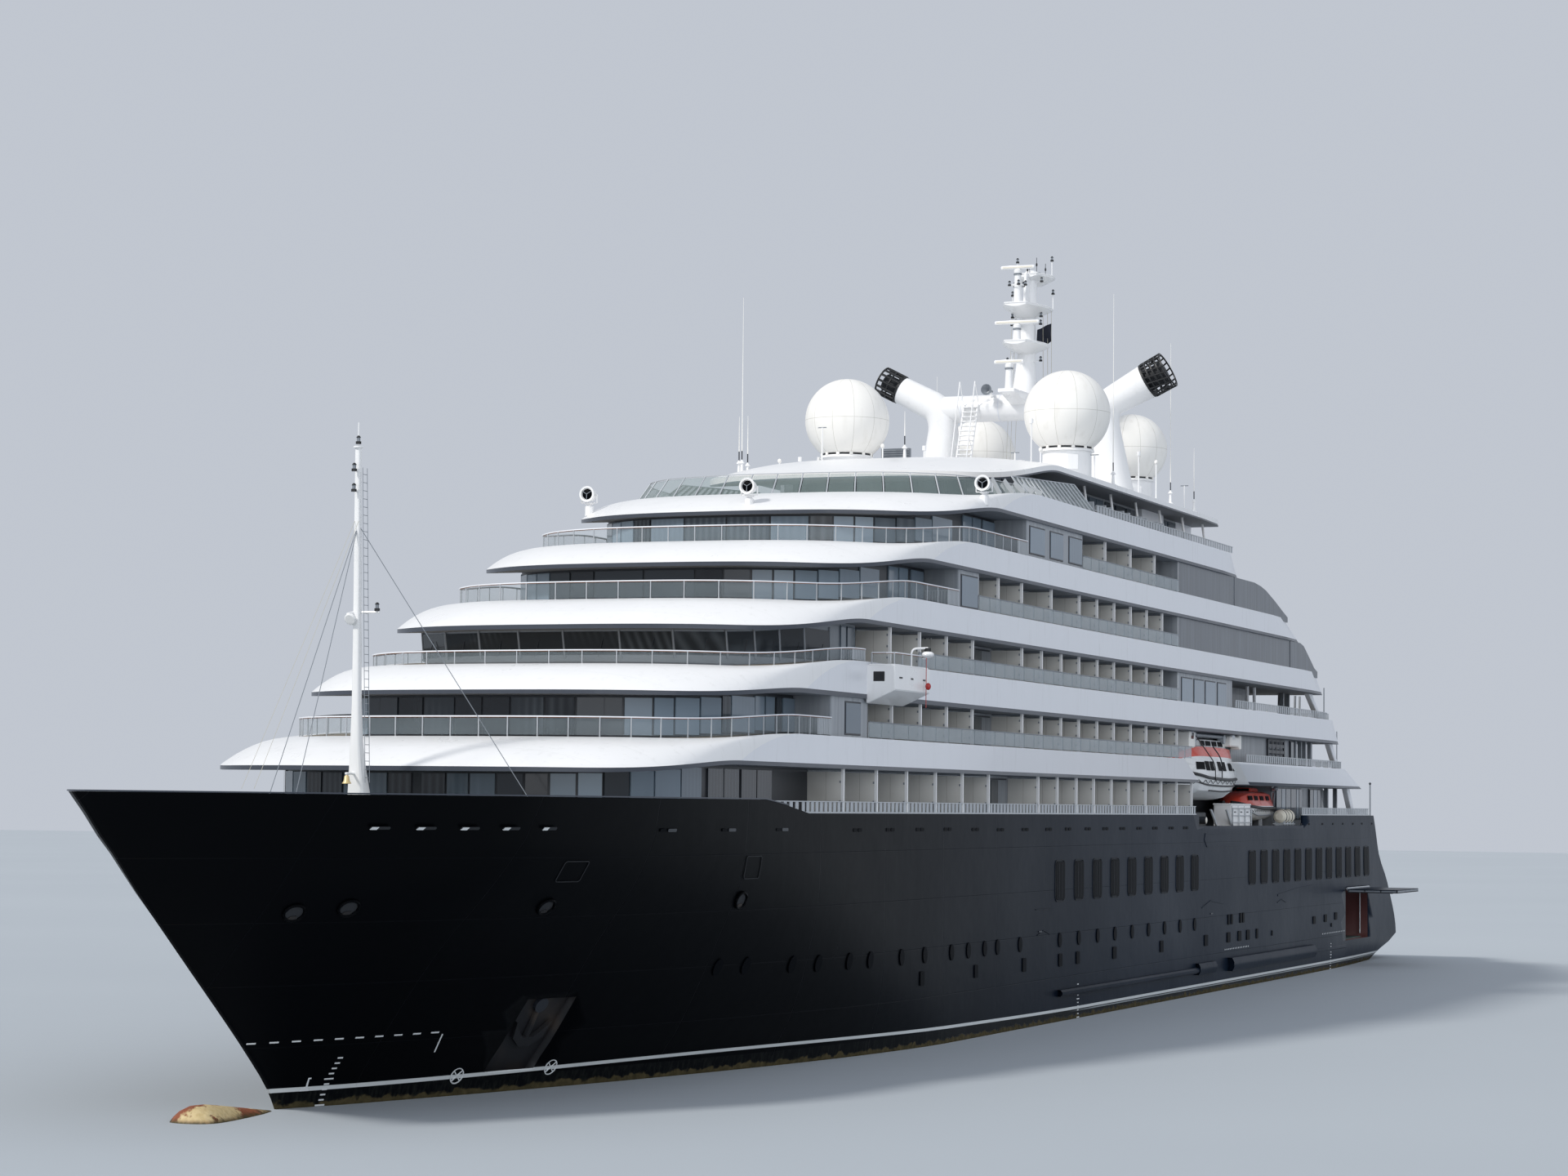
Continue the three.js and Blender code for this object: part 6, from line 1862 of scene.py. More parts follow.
class HullFittingsOperator(bpy.types.Operator):
    """Make the bulb, the skeg, the strakes, the anchors, and the windows and marks of the topsides"""

    bl_idname = "yacht.hull_fittings"
    bl_label = "Hull fittings"

    def execute(self, context):
        bulb = Piece("forefoot_bulb")
        rings = []
        for back in (16.75, 14, 12, 10, 8, 6.5, 5, 4, 3, 2.2, 1.6, 1.1, 0.8, 0.55, 0.4, 0.24, 0.12, 0.05,
                     0.0):
            axis = -1.55 - 0.128 * back
            full = max(0.03, (1 - max(0.0, 1 - back / 5) ** 12) ** 0.5)
            high = min(2.35, 5.15 + axis) * full
            turns = [math.tau * i / 32 for i in range(32)]
            rings.append([
                (76.75 - back, 1.5 * full * math.cos(turn), axis + high * math.sin(turn)) for turn in turns])
        bulb.tube(rings, "bulb_worn_red")
        bulb.side_plate([(-34, -5.17), (-40, -5.19), (-66, -4.4), (-70, -1.6), (-50, -1.2)], (-0.35, 0.35),
                        "hull_navy")
        bulb.done(slot="hull_paint")

        for name, side in SIDES:
            strakes = Piece(f"rub_strakes_{name}")
            for start, end, low, high, out in STRAKES:
                inner, outer = HALF_BEAM - 0.1, HALF_BEAM + out
                section = [
                    (inner, low), (mix(inner, outer, 0.75), low), (outer, mix(low, high, 0.3)),
                    (outer, mix(low, high, 0.7)), (mix(inner, outer, 0.75), high), (inner, high),
                ]
                if end < -54:
                    section = [(y - 0.28, z) for y, z in section]
                rings = []
                for x, share in ((start, 0.0), (start - 0.8, 1), (end + 0.3, 1), (end, 0.0)):
                    rings.append([(x, side * mix(section[0][0], y, share), z) for y, z in section])
                strakes.tube(rings, "hull_navy")
            strakes.done(slot="hull_paint")

            ports = Piece(f"hull_windows_{name}")
            for first, last, count, wide, low, high in TALL_WINDOWS:
                for x in row_of(first, last, count):
                    place = on_hull(x, (low + high) / 2, side, 0)
                    local_plate(ports, place, rounded(wide, high - low, 0.22), 0.03, "hull_glass", 0.02)
                    for along in (-wide * 0.17, wide * 0.17):
                        ports.box(about(along, 0.03), (0.04, 0.058),
                                  ((low - high) / 2 + 0.1, (high - low) / 2 - 0.1),
                                  "bay_shadow", place=place)
                    rim = rounded(wide + 0.14, high - low + 0.14, 0.28)
                    rim = [place @ Vector((along, 0.02, up)) for along, up in rim]
                    ports.wire(rim, 0.03, "bay_shadow", closed=True)
            for x, z in OVAL_PORTS:
                place = on_hull(x, z, side, 0)
                local_plate(ports, place, oval(0.62, 0.8), 0.03, "hull_glass", 0.02)
            for x, z, wide, high in SMALL_PORTS:
                place = on_hull(x, z, side, 0)
                local_plate(ports, place, rounded(wide, high, 0.08, 2), 0.03, "hull_glass", 0.02)
            ports.done(slot="window_glass_dark")

            marks = Piece(f"hull_marks_{name}")
            # Scuppers and slots are dark plates that stand for the painted shade inside the openings
            for x, z in SCUPPERS:
                for offset in (-0.32, 0.32):
                    place = on_hull(x + offset, z, side, 0)
                    local_plate(marks, place, rounded(0.5, 0.17, 0.08, 2), 0.02, "hull_glass")
            for x in SCUPPERS_AFT:
                local_plate(marks, on_hull(x, 10.53, side, 0), rounded(0.45, 0.14, 0.06, 2), 0.02,
                            "hull_glass")
            for x in LONG_SLOTS:
                for offset, wide, tint in ((0.4, 0.5, "hull_glass"), (-0.35, 0.7, "frame_dark")):
                    local_plate(marks, on_hull(x + offset, 10.45, side, 0), rounded(wide, 0.13, 0.05, 2),
                                0.02, tint)
            for x in BOW_SLOTS:
                place = on_hull(x, 10.53, side, 0)
                local_plate(marks, place, rounded(0.85, 0.13, 0.06, 3), 0.02, "bay_shadow")
                local_plate(marks, place, ((0.42, -0.06), (0.36, 0.06), (0.08, 0.06), (0.14, -0.06)), 0.04,
                            "hull_marking_white")
            for x, z in CHOCKS:
                place = on_hull(x, z, side, 0)
                ring = [place @ Vector((along, 0.04, up)) for along, up in oval(0.85, 0.7, 20)]
                marks.wire(ring, 0.06, "hull_navy", 6, closed=True)
                local_plate(marks, place, oval(0.72, 0.58), 0.02, "bay_shadow")
                local_plate(marks, place, ((-0.25, -0.33), (0.25, -0.33), (0.12, -0.16), (-0.15, -0.13)),
                            0.05, "pocket_rust")
            for x in (63.0, 49.1):
                place = on_hull(x, 8.87, side, 0)
                hatch = [place @ Vector((along, 0.01, up)) for along, up in rounded(1.5, 0.95, 0.12)]
                marks.wire(hatch, 0.02, "bay_shadow", 4, closed=True)
            for points, width in HULL_LINES:
                hull_strip(marks, points, side, width)
            for x in row_of(72.3, 64.4, 10):
                place = on_hull(x, mix(2.57, 2.64, (72.3 - x) / 7.9), side, 0)
                local_plate(marks, place, ((-0.2, -0.03), (0.2, -0.03), (0.2, 0.03), (-0.2, 0.03)), 0.015,
                            "hull_marking_white")
            place = on_hull(63.9, 2.2, side, 0)
            local_plate(marks, place, ((-0.03, -0.42), (0.03, -0.42), (0.03, 0.42), (-0.03, 0.42)), 0.015,
                        "hull_marking_white")
            for base in (68.25, 1.9, -62.4):
                for step in range(10):
                    z = 0.05 + step * 0.2
                    place = on_hull(base, z, side, 0)
                    wide = 0.22 if step % 5 == 0 else 0.12
                    outline = ((-wide, -0.03), (wide, -0.03), (wide, 0.03), (-wide, 0.03))
                    local_plate(marks, place, outline, 0.015, "hull_marking_white")
            for x, z in ((61.9, 0.8), (56.8, 0.86)):
                place = on_hull(x, z, side, 0.02)
                circle = [place @ Vector((along, 0.0, up)) for along, up in oval(0.66, 0.66, 20)]
                marks.wire(circle, 0.03, "hull_marking_white", 4, closed=True)
                for rise in (1, -1):
                    ends = [place @ Vector((along, 0.0, up * rise)) for along,
                            up in ((-0.22, -0.22), (0.22, 0.22))]
                    marks.rod(ends[0], ends[1], 0.03, "hull_marking_white", sides=4)
            sign = on_hull(69.1, 0.75, side, 0.01)
            boot = ((0.3, -0.12), (0.22, 0.02), (0.02, 0.06), (0.0, 0.42), (-0.14, 0.42), (-0.14, 0.36),
                    (-0.06, 0.36),
                    (-0.06, 0.02), (-0.16, -0.12))
            local_plate(marks, sign, boot, 0.015, "hull_marking_white")
            for first, last, z in ((-31.0, -37.2, 2.55), (-59.6, -67.0, 2.64)):
                for x in row_of(first, last, 15):
                    local_plate(marks, on_hull(x, z, side, 0), rounded(0.13, 0.09, 0.03, 1), 0.015,
                                "hull_marking_white")
            for z in (0.48, 0.68):
                local_plate(marks, on_hull(-20.3, z + 0.9, side, 0), rounded(0.9, 0.07, 0.02, 1), 0.015,
                            "hull_marking_white")
            for x in (9.0, -27.5):
                marks.box(about(x, 0.25), (side * (HALF_BEAM - 0.05), side * (HALF_BEAM + 0.04)), (4.9, 4.98),
                          "frame_dark")
            marks.done(slot="hull_paint")

            anchor = Piece(f"anchor_{name}")
            place = on_hull(59.15, 2.3, side, -0.28)
            anchor.rod(place @ aloft(1.3), place @ Vector((0, 0.05, -0.5)), 0.13, "pocket_rust", 0.16, 8)
            crown = [(-1.0, 0.55), (-0.85, -0.2), (-0.3, -0.62), (0.3, -0.62), (0.85, -0.2), (1.0, 0.55),
                     (0.62, 0.1),
                     (0.3, -0.18), (-0.3, -0.18), (-0.62, 0.1)]
            local_plate(anchor, place, crown, 0.18, "pocket_rust", 0.02)
            anchor.rod(place @ Vector((0, -0.05, 1.3)), place @ Vector((0, 0.16, 1.3)), 0.34, "frame_dark",
                       sides=16)
            anchor.done(slot="hull_paint")
        return {"FINISHED"}


def mast_x(z):
    """The mast's axis, which rakes aft."""
    return -21.7 - 1.5 * (z - 37.2) / 8.4


# Mast platforms: height, reach ahead of the mast, reach behind it, half-width
PLATFORMS = ((40.8, 2.6, 1.3, 1.35), (43.2, 3.0, 1.5, 1.4), (45.4, 0.9, 1.9, 1.2))
# Sections of a platform from its tail to its tip: share of the length, of the width and of the keel's depth
PLATFORM_SHAPE = ((0.0, 0.62, 0.3), (0.12, 0.9, 0.55), (0.3, 1.0, 0.9), (0.5, 1.0, 1.0), (0.75, 0.8, 0.6),
                  (1.0, 0.5, 0.25))
# Radar scanners: name, x, foot and top of the post, length of the bar
SCANNERS = (
    ("lower", -18.6, 37.5, 38.9, 1.9), ("middle", -20.2, 40.75, 41.6, 2.9),
    ("upper", -20.3, 43.15, 45.1, 2.2),
)


def platform(piece, z, ahead, behind, half):
    """A boat-shaped platform with a keel under it and a low lip round its deck."""
    x = mast_x(z)
    rings = []
    for along, wide, deep in PLATFORM_SHAPE:
        at, w, d = mix(x - behind, x + ahead, along), half * wide, 0.55 * deep
        rings.append(
            [(at, -w, z), (at, w, z), (at, w, z - 0.12), (at, w * 0.3, z - 0.1 - d),
             (at, -w * 0.3, z - 0.1 - d),
                      (at, -w, z - 0.12)])
    piece.tube(rings, "gloss_white")
    edge = [Vector(ring[1]) for ring in rings] + [Vector(ring[0]) for ring in reversed(rings)]
    piece.wire(edge, 0.045, "gloss_white", 6)


def signal_lamp(piece, at, arm):
    """A lamp with a dark cap at the end of an arm."""
    at, arm = Vector(at), Vector(arm)
    piece.rod(at, at + arm, 0.035, "gloss_white", sides=6)
    end = at + arm
    piece.rod(end - aloft(0.05), end + aloft(0.05), 0.11, "satin_black", sides=10)
    piece.rod(end + aloft(0.05), end + aloft(0.2), 0.07, "frame_grey", sides=10)
    piece.rod(end + aloft(0.2), end + aloft(0.28), 0.1, "satin_black", 0.04, sides=10)


def whip(piece, foot, height):
    """A whip aerial on a conical foot."""
    foot = Vector(foot)
    cone = 0.9
    place = Matrix.Translation(foot)
    piece.lathe(
        [(0, 0), (0.2, 0), (0.2, 0.08), (0.1, 0.14), (0.07, cone * 0.75), (0.17, cone * 0.78), (0.03, cone),
         (0, cone)],
                "gloss_white", place, 12)
    tip = foot + Vector((0.02, 0, height))
    piece.rod(foot + aloft(cone), foot + Vector((0.005, 0, cone + 0.5)), 0.035, "frame_dark", sides=6)
    piece.rod(foot + Vector((0.005, 0, cone + 0.5)), tip, 0.03, "radome_cream", 0.01, sides=6)


# Whip aerials on the roof and the decks: foot and height
WHIPS = (
    ((4.2, -8.6, 30.2), 10.2), ((2.6, -8.9, 30.2), 3.6), ((3.9, -8.9, 30.2), 3.4), ((-11.5, 8.8, 30.6), 11.5),
    ((-24.2, 8.9, 30.6), 10.2), ((-30.4, 8.8, 30.6), 4.2), ((3.0, 0.8, 30.9), 2.8),
    ((-30.4, -8.8, 30.6), 9.5),
)
# Short poles with lamps or cameras round the roof's edge: x, y, height
ROOF_POLES = (
    (0.3, 7.4, 2.3), (1.1, 8.2, 0.6), (0.8, 6.6, 0.5), (3.4, 2.1, 0.6), (-0.8, -1.9, 1.3), (3.2, -4.1, 2.0),
    (0.5, -6.5, 0.5), (-1.6, -8.6, 0.7), (-7.9, 8.7, 1.2), (-16.4, 9.0, 2.1), (-20.4, 9.0, 2.0),
    (-27.6, 8.9, 1.2),
    (-8.8, -8.9, 1.5), (-13.8, -9.0, 1.2), (-19.0, -9.0, 1.6), (-24.6, -9.0, 1.2),
)


class MastOperator(bpy.types.Operator):
    """Make the radar mast with its flag and scanners, the whip aerials and the poles of the roof"""

    bl_idname = "yacht.mast"
    bl_label = "Radar mast"

    def execute(self, context):
        mast = Piece("mast_tapered")
        heights = (36.9, 37.25, 37.9, 39.0, 40.2, 41.0, 42.5, 44.0, 45.6)
        radii = (1.0, 0.86, 0.76, 0.66, 0.57, 0.5, 0.46, 0.42, 0.4)
        pipe(mast, [(mast_x(z), 0, z) for z in heights], radii, "gloss_white", 24)
        for row in PLATFORMS:
            platform(mast, *row)
        for _, x, foot, top, _ in SCANNERS:
            mast.rod((x, 0, foot - 0.05), (x, 0, top), 0.27, "gloss_white", 0.2, 16)
            mast.lathe([(0, top - 0.1), (0.27, top - 0.1), (0.27, top - 0.01), (0, top - 0.01)], "frame_grey",
                       placed(x, 0, 0), 16)
        mast.side_plate([(-21.9, 36.5), (-18.9, 37.25), (-18.0, 37.3), (-18.0, 37.55), (-21.7, 37.6)],
                        (-0.55, 0.55),
                        "gloss_white", 0.04)
        mast.side_plate([(-22.2, 43.0), (-21.6, 43.1), (-21.9, 45.4), (-22.9, 45.4)], (-0.08, 0.08),
                        "gloss_white", 0.02)
        ring = [(-20.3 + 0.42 * math.cos(t), 0.42 * math.sin(t), 44.35)
                for t in (math.tau * i / 16 for i in range(17))]
        mast.wire(ring, 0.03, "gloss_white")
        for turn in (0.4, 1.5, 2.7, 3.8, 5.0):
            signal_lamp(mast, (-20.3, 0, 44.35), (0.52 * math.cos(turn), 0.52 * math.sin(turn), 0))
        for z, reach in ((39.7, 1.1), (42.1, 0.95), (42.6, 0.95), (44.9, 0.85)):
            for side in (1, -1):
                signal_lamp(mast, (mast_x(z) + 0.2, side * 0.4, z), (0.25, side * (reach - 0.4), 0))
        for z, y in ((43.2, 1.35), (45.4, 1.15)):
            for side in (1, -1):
                foot = Vector((mast_x(z) - 0.7, side * y, z))
                mast.rod(foot, foot + aloft(1.0), 0.035, "gloss_white", sides=6)
                signal_lamp(mast, foot + aloft(0.95), (0, 0, 0.05))
        for along, tall in ((-1.4, 0.95), (-1.0, 0.6), (-0.1, 1.15), (0.5, 0.5)):
            foot = Vector((mast_x(45.4) + along, 0.5 * math.cos(along * 9), 45.4))
            mast.rod(foot, foot + aloft(tall), 0.02, "frame_dark", sides=5)
            mast.ball(foot + aloft(tall * 0.6), (0.06, 0.06, 0.12), "satin_black", 8, 6)
        mast.box((mast_x(45.4) - 1.5, mast_x(45.4) - 0.9), (-0.25, 0.3), (45.5, 45.75), "frame_grey", 0.04)
        for rung in range(22):
            z = 37.9 + rung * 0.34
            x = mast_x(z)
            reach = 0.74 if z < 39 else 0.62
            mast.rod((x - 0.02, -reach - 0.16, z), (x + 0.4, -reach - 0.16, z), 0.02, "gloss_white", sides=5)
        for along in (-0.02, 0.4):
            mast.rod((mast_x(37.7) + along, -0.9, 37.7), (mast_x(45.2) + along, -0.78, 45.2), 0.025,
                     "gloss_white", sides=5)
        for side in (1, -1):
            for reach in (0.75, 1.05, 1.3):
                top = (mast_x(43.2) - 0.5, side * reach, 43.1)
                mast.rod(top, (mast_x(38) - 0.9, side * (reach + 0.25), 31.2), 0.014, "rope_fibre", sides=4)
        mast.done(slot="white_paint", replaces=("radar_mast",))

        flag = Piece("signal_flag")
        rows = []
        for step in range(9):
            drop = step / 8
            row = []
            for across in range(9):
                out = across / 8
                sway = 0.1 * math.sin(out * 6 + drop * 2.5)
                row.append(
                    (mast_x(42) - 0.6 + sway, 1.35 - 0.95 * out,
                     42.25 - 1.15 * drop - 0.35 * out * (1 + 0.4 * drop)))
            rows.append(row)
        cloth = flag.sheet(rows, "flag_cloth")
        bmesh.ops.solidify(flag.mesh, geom=cloth, thickness=0.015)
        flag.paint(flag.mesh.faces, "flag_cloth")
        flag.done()

        for name, x, _, top, length in SCANNERS:
            scanner = Piece(f"scanner_{name}")
            place = placed(x, 0, top)
            scanner.lathe([(0, 0.005), (0.24, 0.005), (0.25, 0.2), (0.15, 0.28), (0, 0.28)], "gloss_white",
                          place, 18)
            half = length / 2
            profile = [(-0.1, 0.27), (0.1, 0.27), (0.13, 0.36), (0.08, 0.49), (-0.08, 0.49), (-0.13, 0.36)]
            rings = []
            for along, share in ((-half, 0.7), (-half + 0.06, 1.0), (half - 0.06, 1.0), (half, 0.7)):
                rings.append(
                    [place @ Vector((u * share, along, 0.38 + (v - 0.38) * share)) for u, v in profile])
            scanner.tube(rings, "gloss_white")
            scanner.box((0.12, 0.14), (-half + 0.12, half - 0.12), (0.33, 0.43), "lamp_cream", place=place)
            scanner.done(body=f"radar_scanner_{name}", slot="white_paint",
                         replaces=(f"radar_scanner_{name}",))

        poles = Piece("roof_poles")
        for foot, height in WHIPS:
            whip(poles, foot, height)
        for index, (x, y, tall) in enumerate(ROOF_POLES):
            foot = Vector((x, y, 30.4))
            top = foot + aloft(tall + 0.5)
            poles.rod(foot, top, 0.045, "gloss_white", sides=7)
            if index % 3 == 0:
                poles.rod(top - aloft(0.1), top + aloft(0.16), 0.11, "gloss_white", sides=10)
            elif index % 3 == 1:
                poles.ball(top, (0.12, 0.12, 0.14), "radome_cream", 10, 8)
            else:
                poles.rod(top - Vector((0, 0.25, 0)), top + Vector((0, 0.25, 0)), 0.03, "frame_grey", sides=5)
        for x, y in ((-12.9, 5.4), (-12.9, -5.4)):
            poles.box(about(x, 0.1), about(y, 0.95), (31.0, 33.4), "frame_grey", 0.02)
            for slat in range(16):
                z = 31.15 + slat * 0.14
                poles.box((x + 0.08, x + 0.16), about(y, 0.88), (z, z + 0.06), "house_grey", 0.01)
        for x, y in ((-3.2, 0.0), (-15.8, 0.0), (-27.5, 0.0)):
            poles.box(about(x, 0.9), about(y, 1.1), (31.0, 31.5), "fascia_white", 0.06)
        poles.box((-19.4, -16.6), (-1.6, 1.6), (31.0, 32.3), "fascia_white", 0.08)
        for y in (-1.0, 0.0, 1.0):
            poles.rod((-18.0, y, 32.2), (-18.0, y, 33.0), 0.2, "gloss_white", 0.26, 12)
        poles.done(slot="white_paint")
        return {"FINISHED"}


# Feet of the foremast's stays: x, y
STAYS = ((70.8, 0.64), (70.8, -0.64), (64.4, 8.5))
# Bollards of the foredeck: x, y. Those off the middle stand on both sides
BOLLARDS = ((73.5, 1.6), (66.0, 5.6), (61.6, 6.9), (74.9, 0.2))


class ForedeckOperator(bpy.types.Operator):
    """Make the foremast with its bell, lamps and stays, the windlasses and the gear of the foredeck"""

    bl_idname = "yacht.foredeck"
    bl_label = "Foredeck"

    def execute(self, context):
        mast = Piece("foremast_tapered")
        levels = ((10.18, 63.8, 0.64), (10.9, 63.95, 0.54), (11.8, 64.15, 0.4), (12.8, 64.3, 0.3),
                  (13.8, 64.4, 0.23),
                  (15.2, 64.45, 0.18), (18, 64.52, 0.15), (22, 64.62, 0.13), (25.3, 64.7, 0.11))
        rings = []
        for z, x, reach in levels:
            square = rounded(reach * 1.9, reach * 1.9, reach * 0.55, 3)
            rings.append([(x + u, v, z) for u, v in square])
        mast.tube(rings, "gloss_white")
        mast.lathe([(0, 25.3), (0.2, 25.3), (0.2, 25.36), (0, 25.36)], "gloss_white", placed(64.7, 0, 0), 14)
        mast.rod((64.5, -0.2, 18.85), (64.5, 0.95, 18.85), 0.05, "gloss_white", sides=8)
        signal_lamp(mast, (64.5, 0.85, 18.85), (0, 0, 0.1))
        horn = placed(64.9, -0.12, 18.55, 118, "Y") @ Matrix.Scale(0.72, 4)
        mast.lathe([(0, -0.3), (0.12, -0.3), (0.3, -0.14), (0.34, 0.0), (0.28, 0.04), (0, 0.04)],
                   "gloss_white", horn, 16)
        mast.rod((64.5, -0.1, 18.85), (64.95, -0.2, 18.75), 0.07, "gloss_white", sides=8)
        for z in (25.4, 24.4, 23.6):
            signal_lamp(mast, (64.7, 0, z), (0.3, 0, 0) if z < 25 else (0, 0, 0.1))
        mast.rod((64.7, 0, 25.3), (64.7, 0, 26.3), 0.03, "gloss_white", sides=6)
        bell = placed(65.1, -0.02, 12.2) @ Matrix.Scale(0.62, 4)
        mast.lathe(
            [(0, 0.45), (0.1, 0.45), (0.16, 0.36), (0.2, 0.1), (0.3, -0.06), (0.28, -0.08), (0.12, 0.1),
             (0, 0.1)],
                   "bell_cream", bell, 18)
        mast.rod((64.4, -0.02, 12.55), (65.18, -0.02, 12.55), 0.05, "gloss_white", sides=8)
        mast.rod((65.1, -0.02, 12.58), (65.1, -0.02, 12.44), 0.03, "gloss_white", sides=6)
        mast.rod((65.1, -0.02, 12.3), (65.1, -0.02, 12.08), 0.02, "frame_dark", sides=6)
        for rung in range(38):
            z = 12.4 + rung * 0.32
            x = mix(64.4, 64.68, (z - 13) / 12)
            reach = mix(0.5, 0.3, clamp((z - 12) / 12))
            mast.rod((x - 0.18, reach, z), (x + 0.18, reach, z), 0.013, "frame_grey", sides=5)
        for along in (-0.18, 0.18):
            mast.rod((64.4 + along, 0.5, 12.2), (64.68 + along, 0.3, 24.5), 0.013, "frame_grey", sides=5)
        for x, y in STAYS:
            foot, head = Vector((x, y, 10.22)), Vector((64.6, 0.0, 22.3))
            mast.rod(foot, head, 0.016, "frame_grey", sides=5)
            mast.rod(foot, foot.lerp(head, 0.05), 0.035, "bright_steel", sides=6)
            mast.box(about(x, 0.12), about(y, 0.03), (10.19, 10.4), "bright_steel", 0.01)
        for y in (-0.25, 0.28):
            mast.rod((72.6, y, 11.9), (64.6, y * 0.3, 22.6), 0.01, "rope_fibre", sides=4)
        mast.done(slot="white_paint", replaces=("foremast",))

        for name, side in SIDES:
            winch = Piece(f"winch_{name}")
            y = 2.6 * side
            winch.box((67.2, 69.4), about(y, 1.1), (10.2, 10.42), "deck_grey_green", 0.03)
            for edge in (-0.95, 0.95):
                winch.side_plate([(67.5, 10.4), (69.1, 10.4), (68.75, 11.35), (67.9, 11.35)],
                                 (y + edge - 0.08, y + edge + 0.08),
                                 "slat_grey", 0.03)
            across = placed(68.3, y, 11.15, 90, "X")
            drum = [(0, -1.32), (0.3, -1.32), (0.34, -1.28), (0.2, -1.2), (0.2, -1.0), (0.52, -0.85),
                    (0.52, -0.75),
                    (0.3, -0.7), (0.3, 0.1), (0.52, 0.15), (0.52, 0.25), (0.3, 0.3), (0.3, 0.7), (0.52, 0.75),
                    (0.52, 0.85),
                    (0.2, 1.0), (0.2, 1.2), (0.34, 1.28), (0.3, 1.32), (0, 1.32)]
            winch.lathe(drum, "slat_grey", across, 20)
            winch.lathe([(0, -0.68), (0.42, -0.68), (0.42, 0.08), (0, 0.08)], "rope_fibre", across, 20)
            winch.box((67.55, 68.05), about(y, 0.35), (10.4, 11.0), "fascia_white", 0.05)
            winch.box((68.75, 69.3), (y + side * 0.2 - 0.3, y + side * 0.2 + 0.3), (10.4, 10.95),
                      "frame_grey", 0.05)
            winch.done(slot="steel", replaces=(f"windlass_{name}",))

        gear = Piece("foredeck_gear")
        for x, y in BOLLARDS:
            for side in ((1, -1) if y > 0.5 else (1,)):
                base = Vector((x, y * side, 10.2))
                gear.box(about(x, 0.6), about(base.y, 0.25), (10.2, 10.28), "satin_black", 0.02)
                for along in (-0.35, 0.35):
                    gear.lathe([(0, 0), (0.17, 0), (0.17, 0.55), (0.23, 0.6), (0.23, 0.66), (0, 0.7)],
                               "satin_black",
                               Matrix.Translation(base + Vector((along, 0, 0.05))), 14)
        for side in (1, -1):
            for index in range(16):
                spot = Vector((69.6 + index * 0.16, side * (2.6 - index * 0.06), 10.32))
                turn = Matrix.Translation(spot) @ Matrix.Rotation(math.radians(90 * (index % 2)), 4, "X")
                gear.lathe([(0.09, -0.03), (0.13, -0.03), (0.13, 0.03), (0.09, 0.03), (0.09, -0.03)],
                           "frame_dark", turn, 8)
            gear.lathe([(0, 10.2), (0.34, 10.2), (0.3, 10.42), (0.22, 10.42), (0.2, 10.3), (0, 10.3)],
                       "satin_black",
                       placed(72.2, side * 1.5, 0), 16)
            gear.box((60.8, 62.2), (side * 3.2 - 0.7, side * 3.2 + 0.7), (10.2, 10.65), "fascia_white", 0.08)
            gear.lathe([(0, 10.2), (0.22, 10.2), (0.22, 10.9), (0.42, 11.0), (0.42, 11.15), (0, 11.3)],
                       "gloss_white",
                       placed(66.3, side * 3.9, 0), 16)
            rope = [
                (63.4 + 0.42 * math.cos(t) * (1 - i * 0.004),
                 side * 5.3 + 0.42 * math.sin(t) * (1 - i * 0.004), 10.28 + i * 0.006)
                    for i, t in enumerate(math.tau * step / 12 for step in range(48))]
            pipe(gear, rope, [0.05] * len(rope), "rope_fibre", 6)
            for x in (76.4, 71.2, 66.6, 62.6):
                y = half_breadth(10.2, x) - 0.45
                gear.box(about(x, 0.05), (side * y - 0.1, side * y + 0.1), (10.2, 11.2), "gloss_white", 0.02)
        cap = [(x, y) for x, y, _ in hull_line(BULWARK_Z, 0.12) if x > 44]
        for side in (1, -1):
            line = [(x, side * y, sheer_z(x) + 0.01) for x, y in cap]
            gear.rail(line, 0.3, 0.05, "lip_blue_grey")
        gear.done(slot="steel")
        return {"FINISHED"}


# Boats: middle x, y, keel, sheer and roof heights, length, half-breadth and half-width of the roof
TENDER = {"x": -30.2, "y": 8.55, "keel": 12.1, "sheer": 13.75, "top": 15.6, "length": 12.0, "half": 1.85,
          "roof": 1.6}
RESCUE_BOAT = {
    "x": -46.7, "y": 8.05, "keel": 10.75, "sheer": 11.55, "top": 12.75, "length": 9.4, "half": 1.35,
    "roof": 1.15,
}
BOAT_KNOTS = (-0.5, -0.45, -0.2, 0.2, 0.38, 0.5)
BOAT_FULLNESS = (0.7, 0.88, 1.0, 0.96, 0.62, 0.06)
BOAT_RISE = (0.06, 0.02, 0.0, 0.02, 0.15, 0.5)
BOAT_DROP = (0.25, 0.08, 0.0, 0.0, 0.3, 1.0)


def boat_section(boat, along):
    """Half a section of a boat, from the keel up: y from its middle, and z."""
    full = curve(BOAT_KNOTS, BOAT_FULLNESS, along)
    rise = curve(BOAT_KNOTS, BOAT_RISE, along)
    drop = curve(BOAT_KNOTS, BOAT_DROP, along)
    width = boat["half"] * full
    low, sheer, top = boat["keel"], boat["sheer"] + 0.35 * max(0.0, along - 0.2), boat["top"] - drop
    roof = boat["roof"] * full * 0.85
    deep = mix(low, sheer, rise)
    return [
        (0.06, deep), (width * 0.45, mix(deep, sheer, 0.1)), (width * 0.8, mix(deep, sheer, 0.35)),
        (width * 0.96, mix(deep, sheer, 0.7)), (width, sheer), (width * 0.97, sheer + 0.22),
        (mix(width * 0.97, roof, 0.55), mix(sheer + 0.22, top, 0.55)), (roof + 0.05, top - 0.12),
        (roof * 0.75, top),
        (0.05, top + 0.02),
    ]


